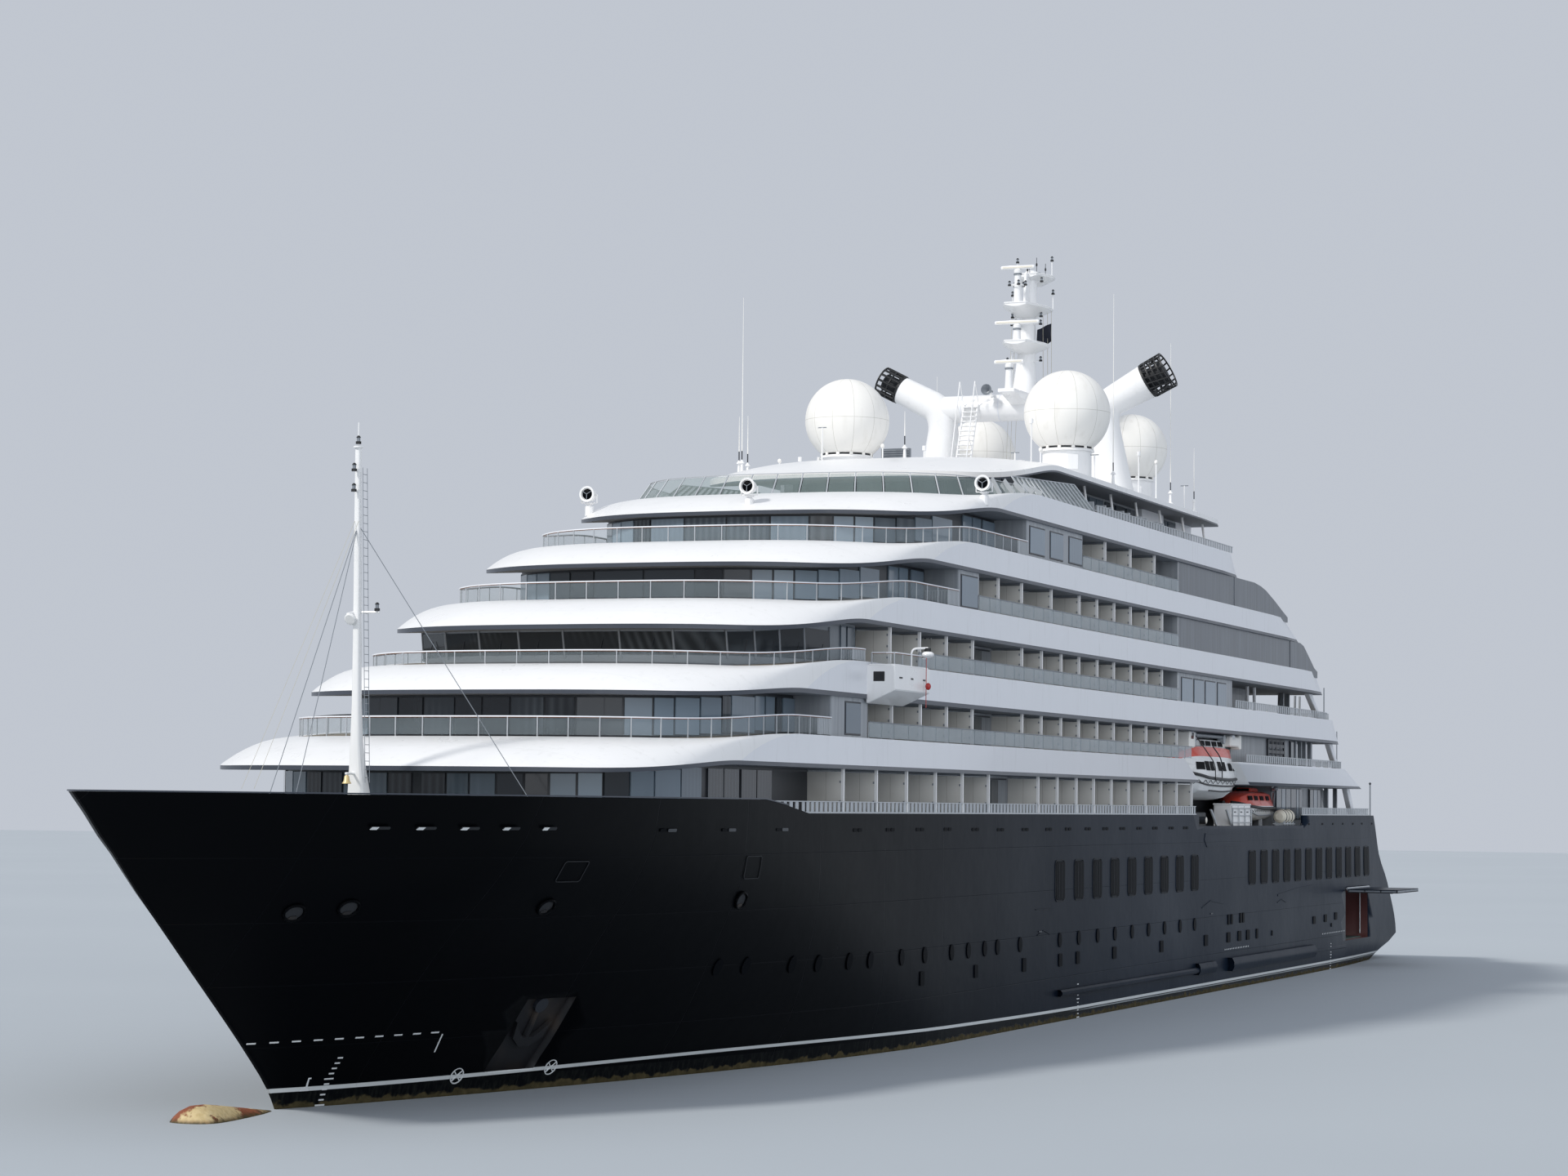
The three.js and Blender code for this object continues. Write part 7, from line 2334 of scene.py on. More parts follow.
def boat_body(piece, boat, side, paint_for):
    """The closed shell of a boat, painted by the height of each face over its sheer."""
    rings = []
    for step in range(25):
        along = -0.5 + step / 24
        half = boat_section(boat, along)
        x = boat["x"] + along * boat["length"]
        port = [
            (x + (boat["x"] - x) * 0.04 * (z > boat["sheer"] + 0.3), boat["y"] * side + y, z) for y,
            z in half]
        starboard = [(px, 2 * boat["y"] * side - y, z) for px, y, z in reversed(port)]
        rings.append(port + starboard)
    faces = piece.tube(rings, "boat_white")
    for face in faces:
        piece.paint([face], paint_for(face.calc_center_median()))


def boat_point(boat, side, along, z, outboard=1, out=0.0):
    """A point on a boat's side at a height."""
    half = boat_section(boat, along)
    y = half[-1][0]
    for (ya, za), (yb, zb) in zip(half[:-1], half[1:-1]):
        if za <= z <= zb:
            y = mix(ya, yb, (z - za) / (zb - za))
    return Vector((boat["x"] + along * boat["length"], boat["y"] * side + outboard * side * (y + out), z))


def boat_pane(piece, boat, side, shares, low, high, outboard, lean):
    """A window on a boat's side."""
    a, b = shares
    corners = [
        boat_point(boat, side, a, low, outboard, 0.015), boat_point(boat, side, b, low, outboard, 0.015),
        boat_point(boat, side, b + lean, high, outboard, 0.015),
        boat_point(boat, side, a + lean, high, outboard, 0.015),
    ]
    piece.prism(corners, (0, outboard * side * 0.03, 0), "hull_glass", tone=0.12)


def boat_line(piece, boat, side, heights, radius, finish):
    """A rubbing line along both sides of a boat; heights are pairs of share and z."""
    for outboard in (1, -1):
        knots = [share for share, _ in heights]
        values = [z for _, z in heights]
        shares = row_of(knots[0], knots[-1], 24)
        line = [boat_point(boat, side, share, curve(knots, values, share), outboard, radius * 0.4)
                for share in shares]
        pipe(piece, line, [radius] * len(line), finish, 8)


class BoatsOperator(bpy.types.Operator):
    """Make the tenders, their davits, the rescue boats, the raft canisters and the lockers"""

    bl_idname = "yacht.boats"
    bl_label = "Boats"

    def execute(self, context):
        for name, side in SIDES:
            boat = TENDER
            tender = Piece(f"boat_tender_{name}")

            def tender_paint(point):
                if point.z < 12.95:
                    return "hull_marking_white"
                if 14.62 < point.z < 15.3:
                    return "boat_orange"
                return "boat_white"

            boat_body(tender, boat, side, tender_paint)
            for outboard in (1, -1):
                for shares, low, high, lean in (
                    ((0.19, 0.29), 14.02, 14.5, -0.01), ((0.1, 0.165), 13.98, 14.56, 0.0),
                    ((0.02, 0.08), 13.98, 14.56, 0.0),
                    ((-0.12, -0.06), 13.98, 14.56, 0.0), ((-0.2, -0.14), 13.98, 14.56, 0.0),
                    ((-0.35, -0.27), 14.02, 14.5, 0.0), ((-0.42, -0.385), 14.02, 14.45, 0.0),
                ):
                    boat_pane(tender, boat, side, shares, low, high, outboard, lean)
            for heights, radius in (
                (((-0.5, 13.5), (-0.25, 13.42), (0.1, 13.5), (0.46, 13.95)), 0.1),
                (((-0.49, 13.05), (-0.2, 13.0), (0.1, 13.05), (0.4, 13.4)), 0.06),
                (((-0.48, 12.72), (-0.2, 12.66), (0.05, 12.7)), 0.05),
            ):
                boat_line(tender, boat, side, heights, radius, "satin_black")
            for index in range(9):
                share = -0.45 + index * 0.09
                for outboard in (1, -1):
                    top = boat_point(boat, side, share, 13.36, outboard, 0.03)
                    low = boat_point(boat, side, share + 0.045, 13.12, outboard, 0.08)
                    end = boat_point(boat, side, share + 0.09, 13.36, outboard, 0.03)
                    tender.wire([top, low, end], 0.018, "satin_black")
            y = boat["y"] * side
            cabin = []
            for x, half, top in ((-35.1, 0.95, 15.6), (-33.9, 1.15, 15.92), (-30.0, 1.15, 15.96),
                                 (-28.6, 1.05, 15.92), (-27.0, 0.85, 15.55)):
                cabin.append(
                    [(x, y - half - 0.15, 15.45), (x, y + half + 0.15, 15.45), (x, y + half, top),
                     (x, y - half, top)])
            tender.tube(cabin, "boat_white")
            for outboard in (1, -1):
                for start, end in ((-33.6, -32.5), (-32.2, -31.1), (-30.8, -29.7), (-29.4, -28.7)):
                    low = y + outboard * side * 1.26
                    top = low - outboard * side * 0.09
                    pane = [(start, low, 15.56), (end, low, 15.56), (end - 0.12, top, 15.87),
                            (start - 0.12, top, 15.87)]
                    tender.prism(pane, (0, outboard * side * 0.03, 0), "hull_glass", tone=0.3)
            for along in (-3.9, 3.9):
                x = boat["x"] + along
                tender.rod((x, y, 15.2), (x, y, 16.04), 0.06, "frame_dark", sides=8)
                tender.box(about(x, 0.2), about(y, 0.15), (15.5, 15.78), "frame_dark", 0.03)
            tender.rod((boat["x"] - 6.0, y, 12.75), (boat["x"] - 6.35, y, 12.9), 0.2, "frame_grey", sides=10)
            for turn in range(4):
                end = Vector(
                    (boat["x"] - 6.38, y + 0.32 * math.cos(turn * math.pi / 2),
                     12.88 + 0.32 * math.sin(turn * math.pi / 2)))
                tender.rod((boat["x"] - 6.34, y, 12.88), end, 0.07, "cast_bronze", 0.03, 6)
            for outboard in (1, -1):
                rail = [boat_point(boat, side, share, 13.72, outboard, 0.02) for share in (-0.5, -0.46, -0.4)]
                for spot in rail:
                    tender.rod(spot, spot + aloft(0.5), 0.025, "bright_steel", sides=5)
                tender.rail([spot + aloft(0.5) for spot in rail], 0.05, 0.04, "bright_steel")
            bmesh.ops.scale(
                tender.mesh, vec=(1.1, 1, 1), space=placed(-boat["x"], 0, 0), verts=tender.mesh.verts)
            tender.done(slot="boat_shell", replaces=(f"tender_{name}",))

            davits = Piece(f"boat_davits_{name}")
            for along in (-5.3, 5.3):
                x = boat["x"] + along
                davits.box(about(x, 0.35), (side * 6.25, side * 6.7), (10.2, 16.38), "fascia_white", 0.05)
                davits.box(about(x, 0.35), (side * 6.25, side * 10.2), (16.05, 16.38), "fascia_white", 0.05)
            for x, inner, outer, z, finish, bevel in (
                ((-35.5, -24.9), 8.35, 8.75, (16.08, 16.38), "fascia_white", 0.04),
                ((-25.5, -24.2), 9.35, 10.2, (15.35, 16.38), "radome_cream", 0.08),
                ((-25.0, -24.5), 10.16, 10.24, (15.9, 16.1), "bay_red", 0.02),
                ((-37.3, -34.7), 9.3, 10.2, (15.6, 16.3), "radome_cream", 0.08),
                ((-37.5, -37.0), 9.4, 10.22, (15.45, 16.4), "radome_cream", 0.06),
            ):
                davits.box(x, (side * inner, side * outer), z, finish, bevel)
            davits.rod((-34.7, side * 9.8, 16.2), (-27.0, side * 9.8, 16.2), 0.12, "frame_grey", sides=10)
            for x in (-26.5, -34.0):
                davits.rod((x, side * 9.55, 16.05), (x, side * 9.95, 16.05), 0.3, "slat_grey", sides=16)
            for start, end in (((-26.3, 16.05), (-26.6, 15.4)), ((-34.1, 16.05), (-34.1, 15.4))):
                davits.rod((start[0], side * 9.7, start[1]), (end[0], side * 9.2, end[1]), 0.025,
                           "satin_black", sides=5)
            for line, radius in (
                (((-25.6, 10.22, 16.1), (-27.4, 10.42, 15.2), (-29.4, 10.5, 14.4), (-29.5, 10.5, 13.4)),
                 0.035),
                (((-30.0, 10.2, 15.5), (-30.8, 10.45, 14.9), (-31.2, 10.5, 14.4), (-31.2, 10.5, 13.5)), 0.04),
            ):
                line = bent([(x, side * y, z) for x, y, z in line], 0.4)
                pipe(davits, line, [radius] * len(line), "satin_black", 6)
            for x, z in (((-52.0, -23.6), (10.2, 13.1)), ((-36.9, -23.3), (13.1, 16.3))):
                davits.box(x, (side * 6.16, side * 6.24), z, "bay_shadow")
            for top, low in ((-29.8, -31.7), (-33.9, -35.5)):
                davits.side_plate([(top, 11.5), (top - 0.35, 11.5), (low - 0.35, 10.22), (low, 10.22)],
                                  (side * 10.0, side * 10.12), "slat_grey", 0.03)
            davits.rod((-28.3, side * 9.6, 10.8), (-28.3, side * 10.2, 10.8), 0.24, "frame_dark", sides=16)
            davits.ball((-28.3, side * 10.2, 10.8), (0.2, 0.06, 0.2), "lamp_cream", 16, 8)
            for x in (-25.3, -26.9):
                davits.rod((x, side * 9.3, 10.2), (x, side * 9.3, 11.2), 0.18, "frame_dark", sides=12)
            davits.box((-32.9, -30.2), (side * 7.4, side * 9.0), (10.2, 11.3), "frame_dark", 0.06)
            davits.done(slot="white_paint", replaces=(f"tender_davits_{name}",))

            boat = RESCUE_BOAT
            rescue = Piece(f"boat_rescue_{name}")

            def rescue_paint(point):
                return "boat_orange" if point.z > 11.85 else "boat_white"

            boat_body(rescue, boat, side, rescue_paint)
            boat_line(rescue, boat, side, ((-0.49, 11.62), (-0.1, 11.6), (0.25, 11.72), (0.46, 12.0)), 0.11,
                      "satin_black")
            boat_line(rescue, boat, side, ((-0.48, 11.2), (0.0, 11.12), (0.38, 11.45)), 0.04, "frame_grey")
            for outboard in (1, -1):
                for index in range(14):
                    share = -0.44 + index * 0.055
                    ends = [boat_point(boat, side, share + shift, z, outboard, out)
                            for shift, z,
                            out in ((0, 11.52, 0.08), (0.026, 11.36, 0.09), (0.052, 11.52, 0.08))]
                    rescue.wire(ends, 0.018, "satin_black")
                for shares in ((-0.3, -0.2), (-0.12, -0.02), (0.05, 0.14), (0.2, 0.28)):
                    boat_pane(rescue, boat, side, shares, 12.15, 12.45, outboard, -0.01)
            y = boat["y"] * side
            rescue.box((-48.9, -46.6), about(y, 0.55), (12.7, 13.0), "boat_orange", 0.12)
            rescue.box((-46.62, -46.58), about(y, 0.45), (12.78, 12.95), "hull_glass", tone=0.2)
            rescue.rod((-49.6, y, 12.7), (-49.6, y, 13.05), 0.05, "frame_grey", sides=8)
            for along in (-2.6, 2.6):
                x = boat["x"] + along
                for across in (-0.6, 0.6):
                    rescue.side_plate([(x - 0.2, 10.2), (x + 0.2, 10.2), (x + 0.12, 11.1), (x - 0.12, 11.1)],
                                      (y + across - 0.1, y + across + 0.1), "slat_grey", 0.02)
                rescue.box(about(x, 0.2), about(y, 0.7), (10.2, 10.36), "slat_grey", 0.03)
            rescue.done(slot="boat_shell", replaces=(f"rescue_boat_{name}",))

            crane = Piece(f"rescue_crane_{name}")
            crane.rod((-52.6, side * 8.6, 10.2), (-52.6, side * 8.6, 12.3), 0.28, "slat_grey", 0.22, 16)
            arm = bent([(-52.6, side * 8.6, 12.2), (-52.4, side * 8.8, 12.9), (-48.6, side * 9.9, 13.0)], 0.3,
                       5)
            pipe(crane, arm, row_of(0.2, 0.12, len(arm)), "fascia_white", 10)
            crane.rod((-52.0, side * 8.9, 11.4), (-50.6, side * 9.3, 12.75), 0.1, "frame_grey", sides=10)
            crane.ball((-48.6, side * 9.9, 12.98), (0.24, 0.2, 0.16), "frame_grey", 12, 8)
            crane.rod((-48.6, side * 9.9, 12.9), (-48.6, side * 9.7, 12.3), 0.02, "satin_black", sides=5)
            crane.box((-53.1, -52.2), (side * 8.3, side * 8.9), (10.2, 10.9), "fascia_white", 0.05)
            crane.done(slot="white_paint")

            rafts = Piece(f"raft_canisters_{name}")
            y = 9.93 * side
            for aft, ahead in ((-50.9, -49.5), (-52.6, -51.2)):
                lying = placed((aft + ahead) / 2, y, 11.05, 90, "Y")
                half = (ahead - aft) / 2
                profile = [(0, -half), (0.26, -half + 0.02), (0.42, -half + 0.14), (0.49, -half + 0.34),
                           (0.49, -0.05),
                           (0.52, -0.04), (0.52, 0.04), (0.49, 0.05), (0.49, half - 0.34),
                           (0.42, half - 0.14),
                           (0.26, half - 0.02), (0, half)]
                rafts.lathe(profile, "raft_cream", lying, 28)
                for strap in (-half * 0.5, half * 0.5):
                    rafts.lathe(
                        [(0.47, strap - 0.04), (0.505, strap - 0.04), (0.505, strap + 0.04),
                         (0.47, strap + 0.04),
                                 (0.47, strap - 0.04)], "frame_dark", lying, 28)
                for x in (aft + 0.3, ahead - 0.3):
                    rafts.side_plate(
                        [(x - 0.08, 10.2), (x + 0.08, 10.2), (x + 0.08, 10.75), (x - 0.08, 10.75)],
                                     about(y, 0.36), "slat_grey", 0.02)
            for height in (10.24, 10.5):
                for across in (-0.36, 0.34):
                    rafts.box((-52.8, -49.3), (y + across - 0.04, y + across + 0.04), (height, height + 0.08),
                              "slat_grey", 0.01)
            rafts.done(slot="raft_shell", replaces=(f"life_rafts_{name}",))

            locker = Piece(f"store_locker_{name}")
            for x, inner, outer, z, bevel in (
                ((-40.4, -35.2), 8.9, 10.12, (10.2, 11.82), 0.06),
                ((-40.45, -35.15), 8.86, 10.16, (11.78, 11.9), 0.04),
            ):
                locker.box(x, (side * inner, side * outer), z, "gloss_white", bevel)
            for x in (-35.25, -36.95, -38.65, -40.35):
                locker.rod((x, side * 10.2, 10.2), (x, side * 10.2, 11.6), 0.035, "bright_steel", sides=6)
                locker.box(about(x, 0.015), (side * 10.1, side * 10.135), (10.3, 11.75), "frame_grey")
            for z in (10.65, 11.1, 11.58):
                locker.rod((-40.4, side * 10.2, z), (-35.2, side * 10.2, z), 0.03, "bright_steel", sides=6)
            for x in (-36.1, -37.8, -39.5):
                locker.box(about(x, 0.2), (side * 10.12, side * 10.16), (11.3, 11.38), "frame_dark", 0.01)
            locker.done(slot="white_paint", replaces=(f"deck_locker_{name}",))
        return {"FINISHED"}


# The pods: x and y of the axis they steer about, and height of the shaft
POD_X = -71
POD_Y = 4.6
SHAFT_Z = -3.35


class PodsOperator(bpy.types.Operator):
    """Make the steering pods and their propellers under the stern"""

    bl_idname = "yacht.pods"
    bl_label = "Pods"

    def execute(self, context):
        for name, side in SIDES:
            y = POD_Y * side
            pod = Piece(f"drive_pod_{name}")
            pod.lathe([(0, -1.75), (0.62, -1.75), (0.85, -1.6), (0.85, -1.054), (0, -1.054)], "hull_navy",
                      placed(POD_X, y, 0), 32)
            rings = []
            for z, fore, aft, half in ((-1.55, 0.95, -1.05, 0.36), (-2.0, 0.9, -1.15, 0.3),
                                       (-2.6, 0.9, -1.25, 0.26),
                                       (-3.1, 1.0, -1.35, 0.3)):
                ring = []
                for step in range(20):
                    turn = math.tau * step / 20
                    x = mix(aft, fore, (math.cos(turn) + 1) / 2)
                    ring.append(
                        (-71.1 + x, y + half * math.sin(turn) * (1.25 if math.cos(turn) > 0 else 0.8), z))
                rings.append(ring)
            pod.tube(rings, "hull_navy")
            body = placed(POD_X, y, SHAFT_Z, 90, "Y")
            profile = [(0, -2.68), (0.16, -2.6), (0.4, -2.25), (0.6, -1.8), (0.71, -1.2), (0.73, -0.5),
                       (0.7, 0.4),
                       (0.64, 1.2), (0.55, 1.9), (0.5, 2.19), (0, 2.19)]
            pod.lathe(profile, "hull_navy", body, 32)
            pod.side_plate([(-73.3, -3.9), (-72.4, -4.0), (-71.9, -4.35), (-72.8, -4.35)], about(y, 0.06),
                           "hull_navy", 0.02)
            for turn in range(10):
                angle = math.tau * turn / 10
                spot = Vector((POD_X + 0.74 * math.cos(angle), y + 0.74 * math.sin(angle), -1.72))
                pod.rod(spot, spot - aloft(0.05), 0.05, "bright_steel", sides=6)
            pod.rod((-71.2, y + 0.55, -3.3), (-71.2, y + 0.72, -3.3), 0.12, "bright_steel", sides=8)
            pod.done(body=f"pod_{name}", slot="hull_paint", replaces=(f"pod_{name}",))

            screw = Piece(f"screw_{name}")
            centre = Vector((-68.38, y, SHAFT_Z))
            place = Matrix.Translation(centre) @ Matrix.Rotation(math.radians(90), 4, "Y")
            screw.lathe(
                [(0, -0.42), (0.42, -0.42), (0.43, -0.2), (0.38, 0.2), (0.3, 0.36), (0.24, 0.5), (0.12, 0.64),
                 (0, 0.68)],
                        "cast_bronze", place, 28)
            for blade in range(4):
                turn = Matrix.Rotation(math.tau * blade / 4 + 0.4, 4, "X")
                rows = {1: [], -1: []}
                for step in range(11):
                    reach = mix(0.25, 1.7, step / 10)
                    share = clamp((reach - 0.25) / 1.45)
                    swell = math.sin(math.pi * min(1.0, share * 0.72 + 0.14))
                    chord = 0.26 + 0.62 * swell * (1 - share ** 6) ** 0.5
                    pitch = mix(0.95, 0.42, share) * side
                    for face in (1, -1):
                        row = []
                        for along in row_of(-1.0, 1.0, 7):
                            thick = 0.06 * (1 - share * 0.75) * (1 - along * along) * face
                            across = chord * 0.5 * along + 0.1 * share * share
                            row.append(turn @ Vector((
                                across * math.sin(pitch) + thick * math.cos(pitch),
                                across * math.cos(pitch) - thick * math.sin(pitch), reach)) + centre)
                        rows[face].append(row)
                rings = [upper + list(reversed(lower))[1:-1] for upper, lower in zip(rows[1], rows[-1])]
                screw.tube(rings, "cast_bronze")
            screw.done(body=f"propeller_{name}", slot="bronze", replaces=(f"propeller_{name}",))
        return {"FINISHED"}


# The shell doors: ends of the bay and of the leaf in x, and the hinge's y and z
BAY_X = (-75.5, -67.5)
LEAF_X = (-75.44, -67.56)
HINGE_Y = 10.81
HINGE_Z = 5.75


def door_leaf(piece, side, opened):
    """A shell door in the frame of its hinge: along runs down the leaf, out is its outer face."""
    def at(along, depth):
        if opened:
            return side * (HINGE_Y + along), HINGE_Z - depth
        return side * (HINGE_Y - depth), HINGE_Z - along

    def slab(x, along, depth, finish, bevel=0.0):
        y0, z0 = at(along[0], depth[0])
        y1, z1 = at(along[1], depth[1])
        piece.box(x, (min(y0, y1), max(y0, y1)), (min(z0, z1), max(z0, z1)), finish, bevel)

    slab(LEAF_X, (0.06, 3.79), (0.06, 0.14), "hull_navy", 0.02)
    slab(LEAF_X, (0.06, 3.79), (0.24, 0.31), "bay_shadow")
    for x in (-75.44, -73.87, -72.29, -70.71, -69.13, -67.64):
        slab((x, x + 0.08), (0.06, 3.79), (0.13, 0.25), "frame_grey")
    for along in (0.08, 1.3, 2.5, 3.7):
        slab(LEAF_X, (along, along + 0.08), (0.13, 0.25), "frame_grey")
    slab(LEAF_X, (0.01, 0.12), (0.0, 0.15), "frame_grey")
    for x in (-74.9, -68.3):
        slab(about(x, 0.12), (3.0, 3.3), (0.3, 0.36), "bright_steel", 0.02)
    piece.rod((-75.48, side * HINGE_Y, HINGE_Z), (-67.52, side * HINGE_Y, HINGE_Z), 0.07, "bright_steel",
              sides=12)


class DoorsOperator(bpy.types.Operator):
    """Make the shell doors, their hinge lugs and the gear inside the bays"""

    bl_idname = "yacht.doors"
    bl_label = "Shell doors"

    def execute(self, context):
        for name, side in SIDES:
            door = Piece(f"door_{name}")
            door_leaf(door, side, side > 0)
            door.done(body=f"shell_door_{name}", slot="hull_paint", replaces=(f"shell_door_{name}",))

            bay = Piece(f"bay_gear_{name}")
            for x in (-75.58, -67.42):
                bay.box(about(x, 0.075), (side * 10.2, side * 10.42), (5.65, 5.82), "frame_grey", 0.02)
            bay.box(BAY_X, (side * 7.75, side * 10.2), (1.9, 1.98), "deck_grey_green")
            for x in (-74.4, -72.6, -70.8, -69.0):
                bay.box((x, x + 0.14), (side * 7.76, side * 7.92), (2.0, 5.7), "bay_shadow")
            for z in (3.1, 4.4):
                bay.box(BAY_X, (side * 7.76, side * 7.86), (z, z + 0.1), "bay_shadow")
            bay.box((-70.6, -69.4), (side * 7.9, side * 8.05), (2.0, 4.1), "frame_grey", 0.03)
            for x, tall in ((-74.6, 1.1), (-73.6, 0.8), (-68.6, 1.3)):
                bay.box(about(x, 0.4), (side * 8.0, side * 8.7), (1.98, 1.98 + tall), "bay_red", 0.05)
            for x in (-73.0, -70.5):
                bay.rod((x, side * 9.2, 5.6), (x, side * 9.2, 5.45), 0.18, "lamp_cream", sides=12)
            for x in (-75.36, -67.64):
                bay.rod((x, side * 10.15, 2.2), (x, side * 10.15, 5.4), 0.05, "bright_steel", sides=8)
            bay.done(slot="hull_paint")
        return {"FINISHED"}


# Raked stern columns: foot and head in x and z
COLUMNS = (((-74.9, 10.2), (-71.4, 13.2)), ((-68.4, 14.6), (-65.4, 16.42)), ((-62.6, 18.1), (-58.6, 19.9)))
# Windows of the houses at the stern: y, first and last x, low and high edge, x of the posts between
AFT_WINDOWS = (
    (8.94, -52.5, -60.6, 10.9, 13.0, (-54.1, -55.4, -57.0, -58.7, -59.6)),
    (8.94, -63.1, -67.9, 10.9, 13.0, (-64.3, -65.6, -66.8)),
    (9.64, -53.9, -54.9, 14.85, 16.3, ()),
)
# Posts of the open stern: y, x, foot and head heights, width
STERN_POSTS = (
    (9.6, -55.6, 14.6, 16.42, 0.34), (9.6, -57.3, 14.6, 16.42, 0.22), (9.6, -58.7, 14.6, 16.42, 0.3),
    (9.6, -60.5, 14.6, 16.42, 0.42), (8.3, -57.3, 18.1, 19.9, 0.3), (8.3, -59.1, 18.1, 19.9, 0.16),
    (8.9, -72.3, 10.2, 13.2, 0.3), (8.9, -69.2, 10.2, 13.2, 0.3),
)


def lattice(piece, y, x, z, across, up, bar, finish):
    """A screen of square openings."""
    for index in range(across + 1):
        at = mix(x[0], x[1], index / across)
        piece.box(about(at, bar / 2), about(y, 0.05), z, finish)
    for index in range(up + 1):
        at = mix(z[0], z[1], index / up)
        piece.box((min(x), max(x)), about(y, 0.04), about(at, bar / 2), finish)


# Stairs of the open stern: foot and head in x, y, foot and head in z, number of treads
STERN_STAIRS = (
    ((-66.6, -69.6), 5.2, (10.25, 13.1), 11), ((-60.2, -63.0), 5.4, (14.7, 18.0), 12),
    ((-50.8, -53.6), 5.6, (18.2, 21.3), 12),
)


def stair(piece, side, x, y, z, steps):
    """A straight stair with stringers and handrails; x and z are foot and head pairs."""
    for step in range(steps):
        share = (step + 0.5) / steps
        at = Vector((mix(x[0], x[1], share), y * side, mix(z[0], z[1], share)))
        piece.box(about(at.x, 0.14), about(at.y, 0.42), (at.z - 0.03, at.z + 0.02), "slat_grey", 0.01)
    for edge in (-0.45, 0.45):
        foot = Vector((x[0], y * side + edge, z[0]))
        head = Vector((x[1], y * side + edge, z[1]))
        piece.rod(foot, head, 0.07, "gloss_white", sides=6)
        rise = aloft(0.95)
        piece.rod(foot + rise, head + rise, 0.035, "gloss_white", sides=6)
        for share in (0.0, 0.25, 0.5, 0.75, 1.0):
            spot = foot.lerp(head, share)
            piece.rod(spot, spot + rise, 0.025, "gloss_white", sides=5)


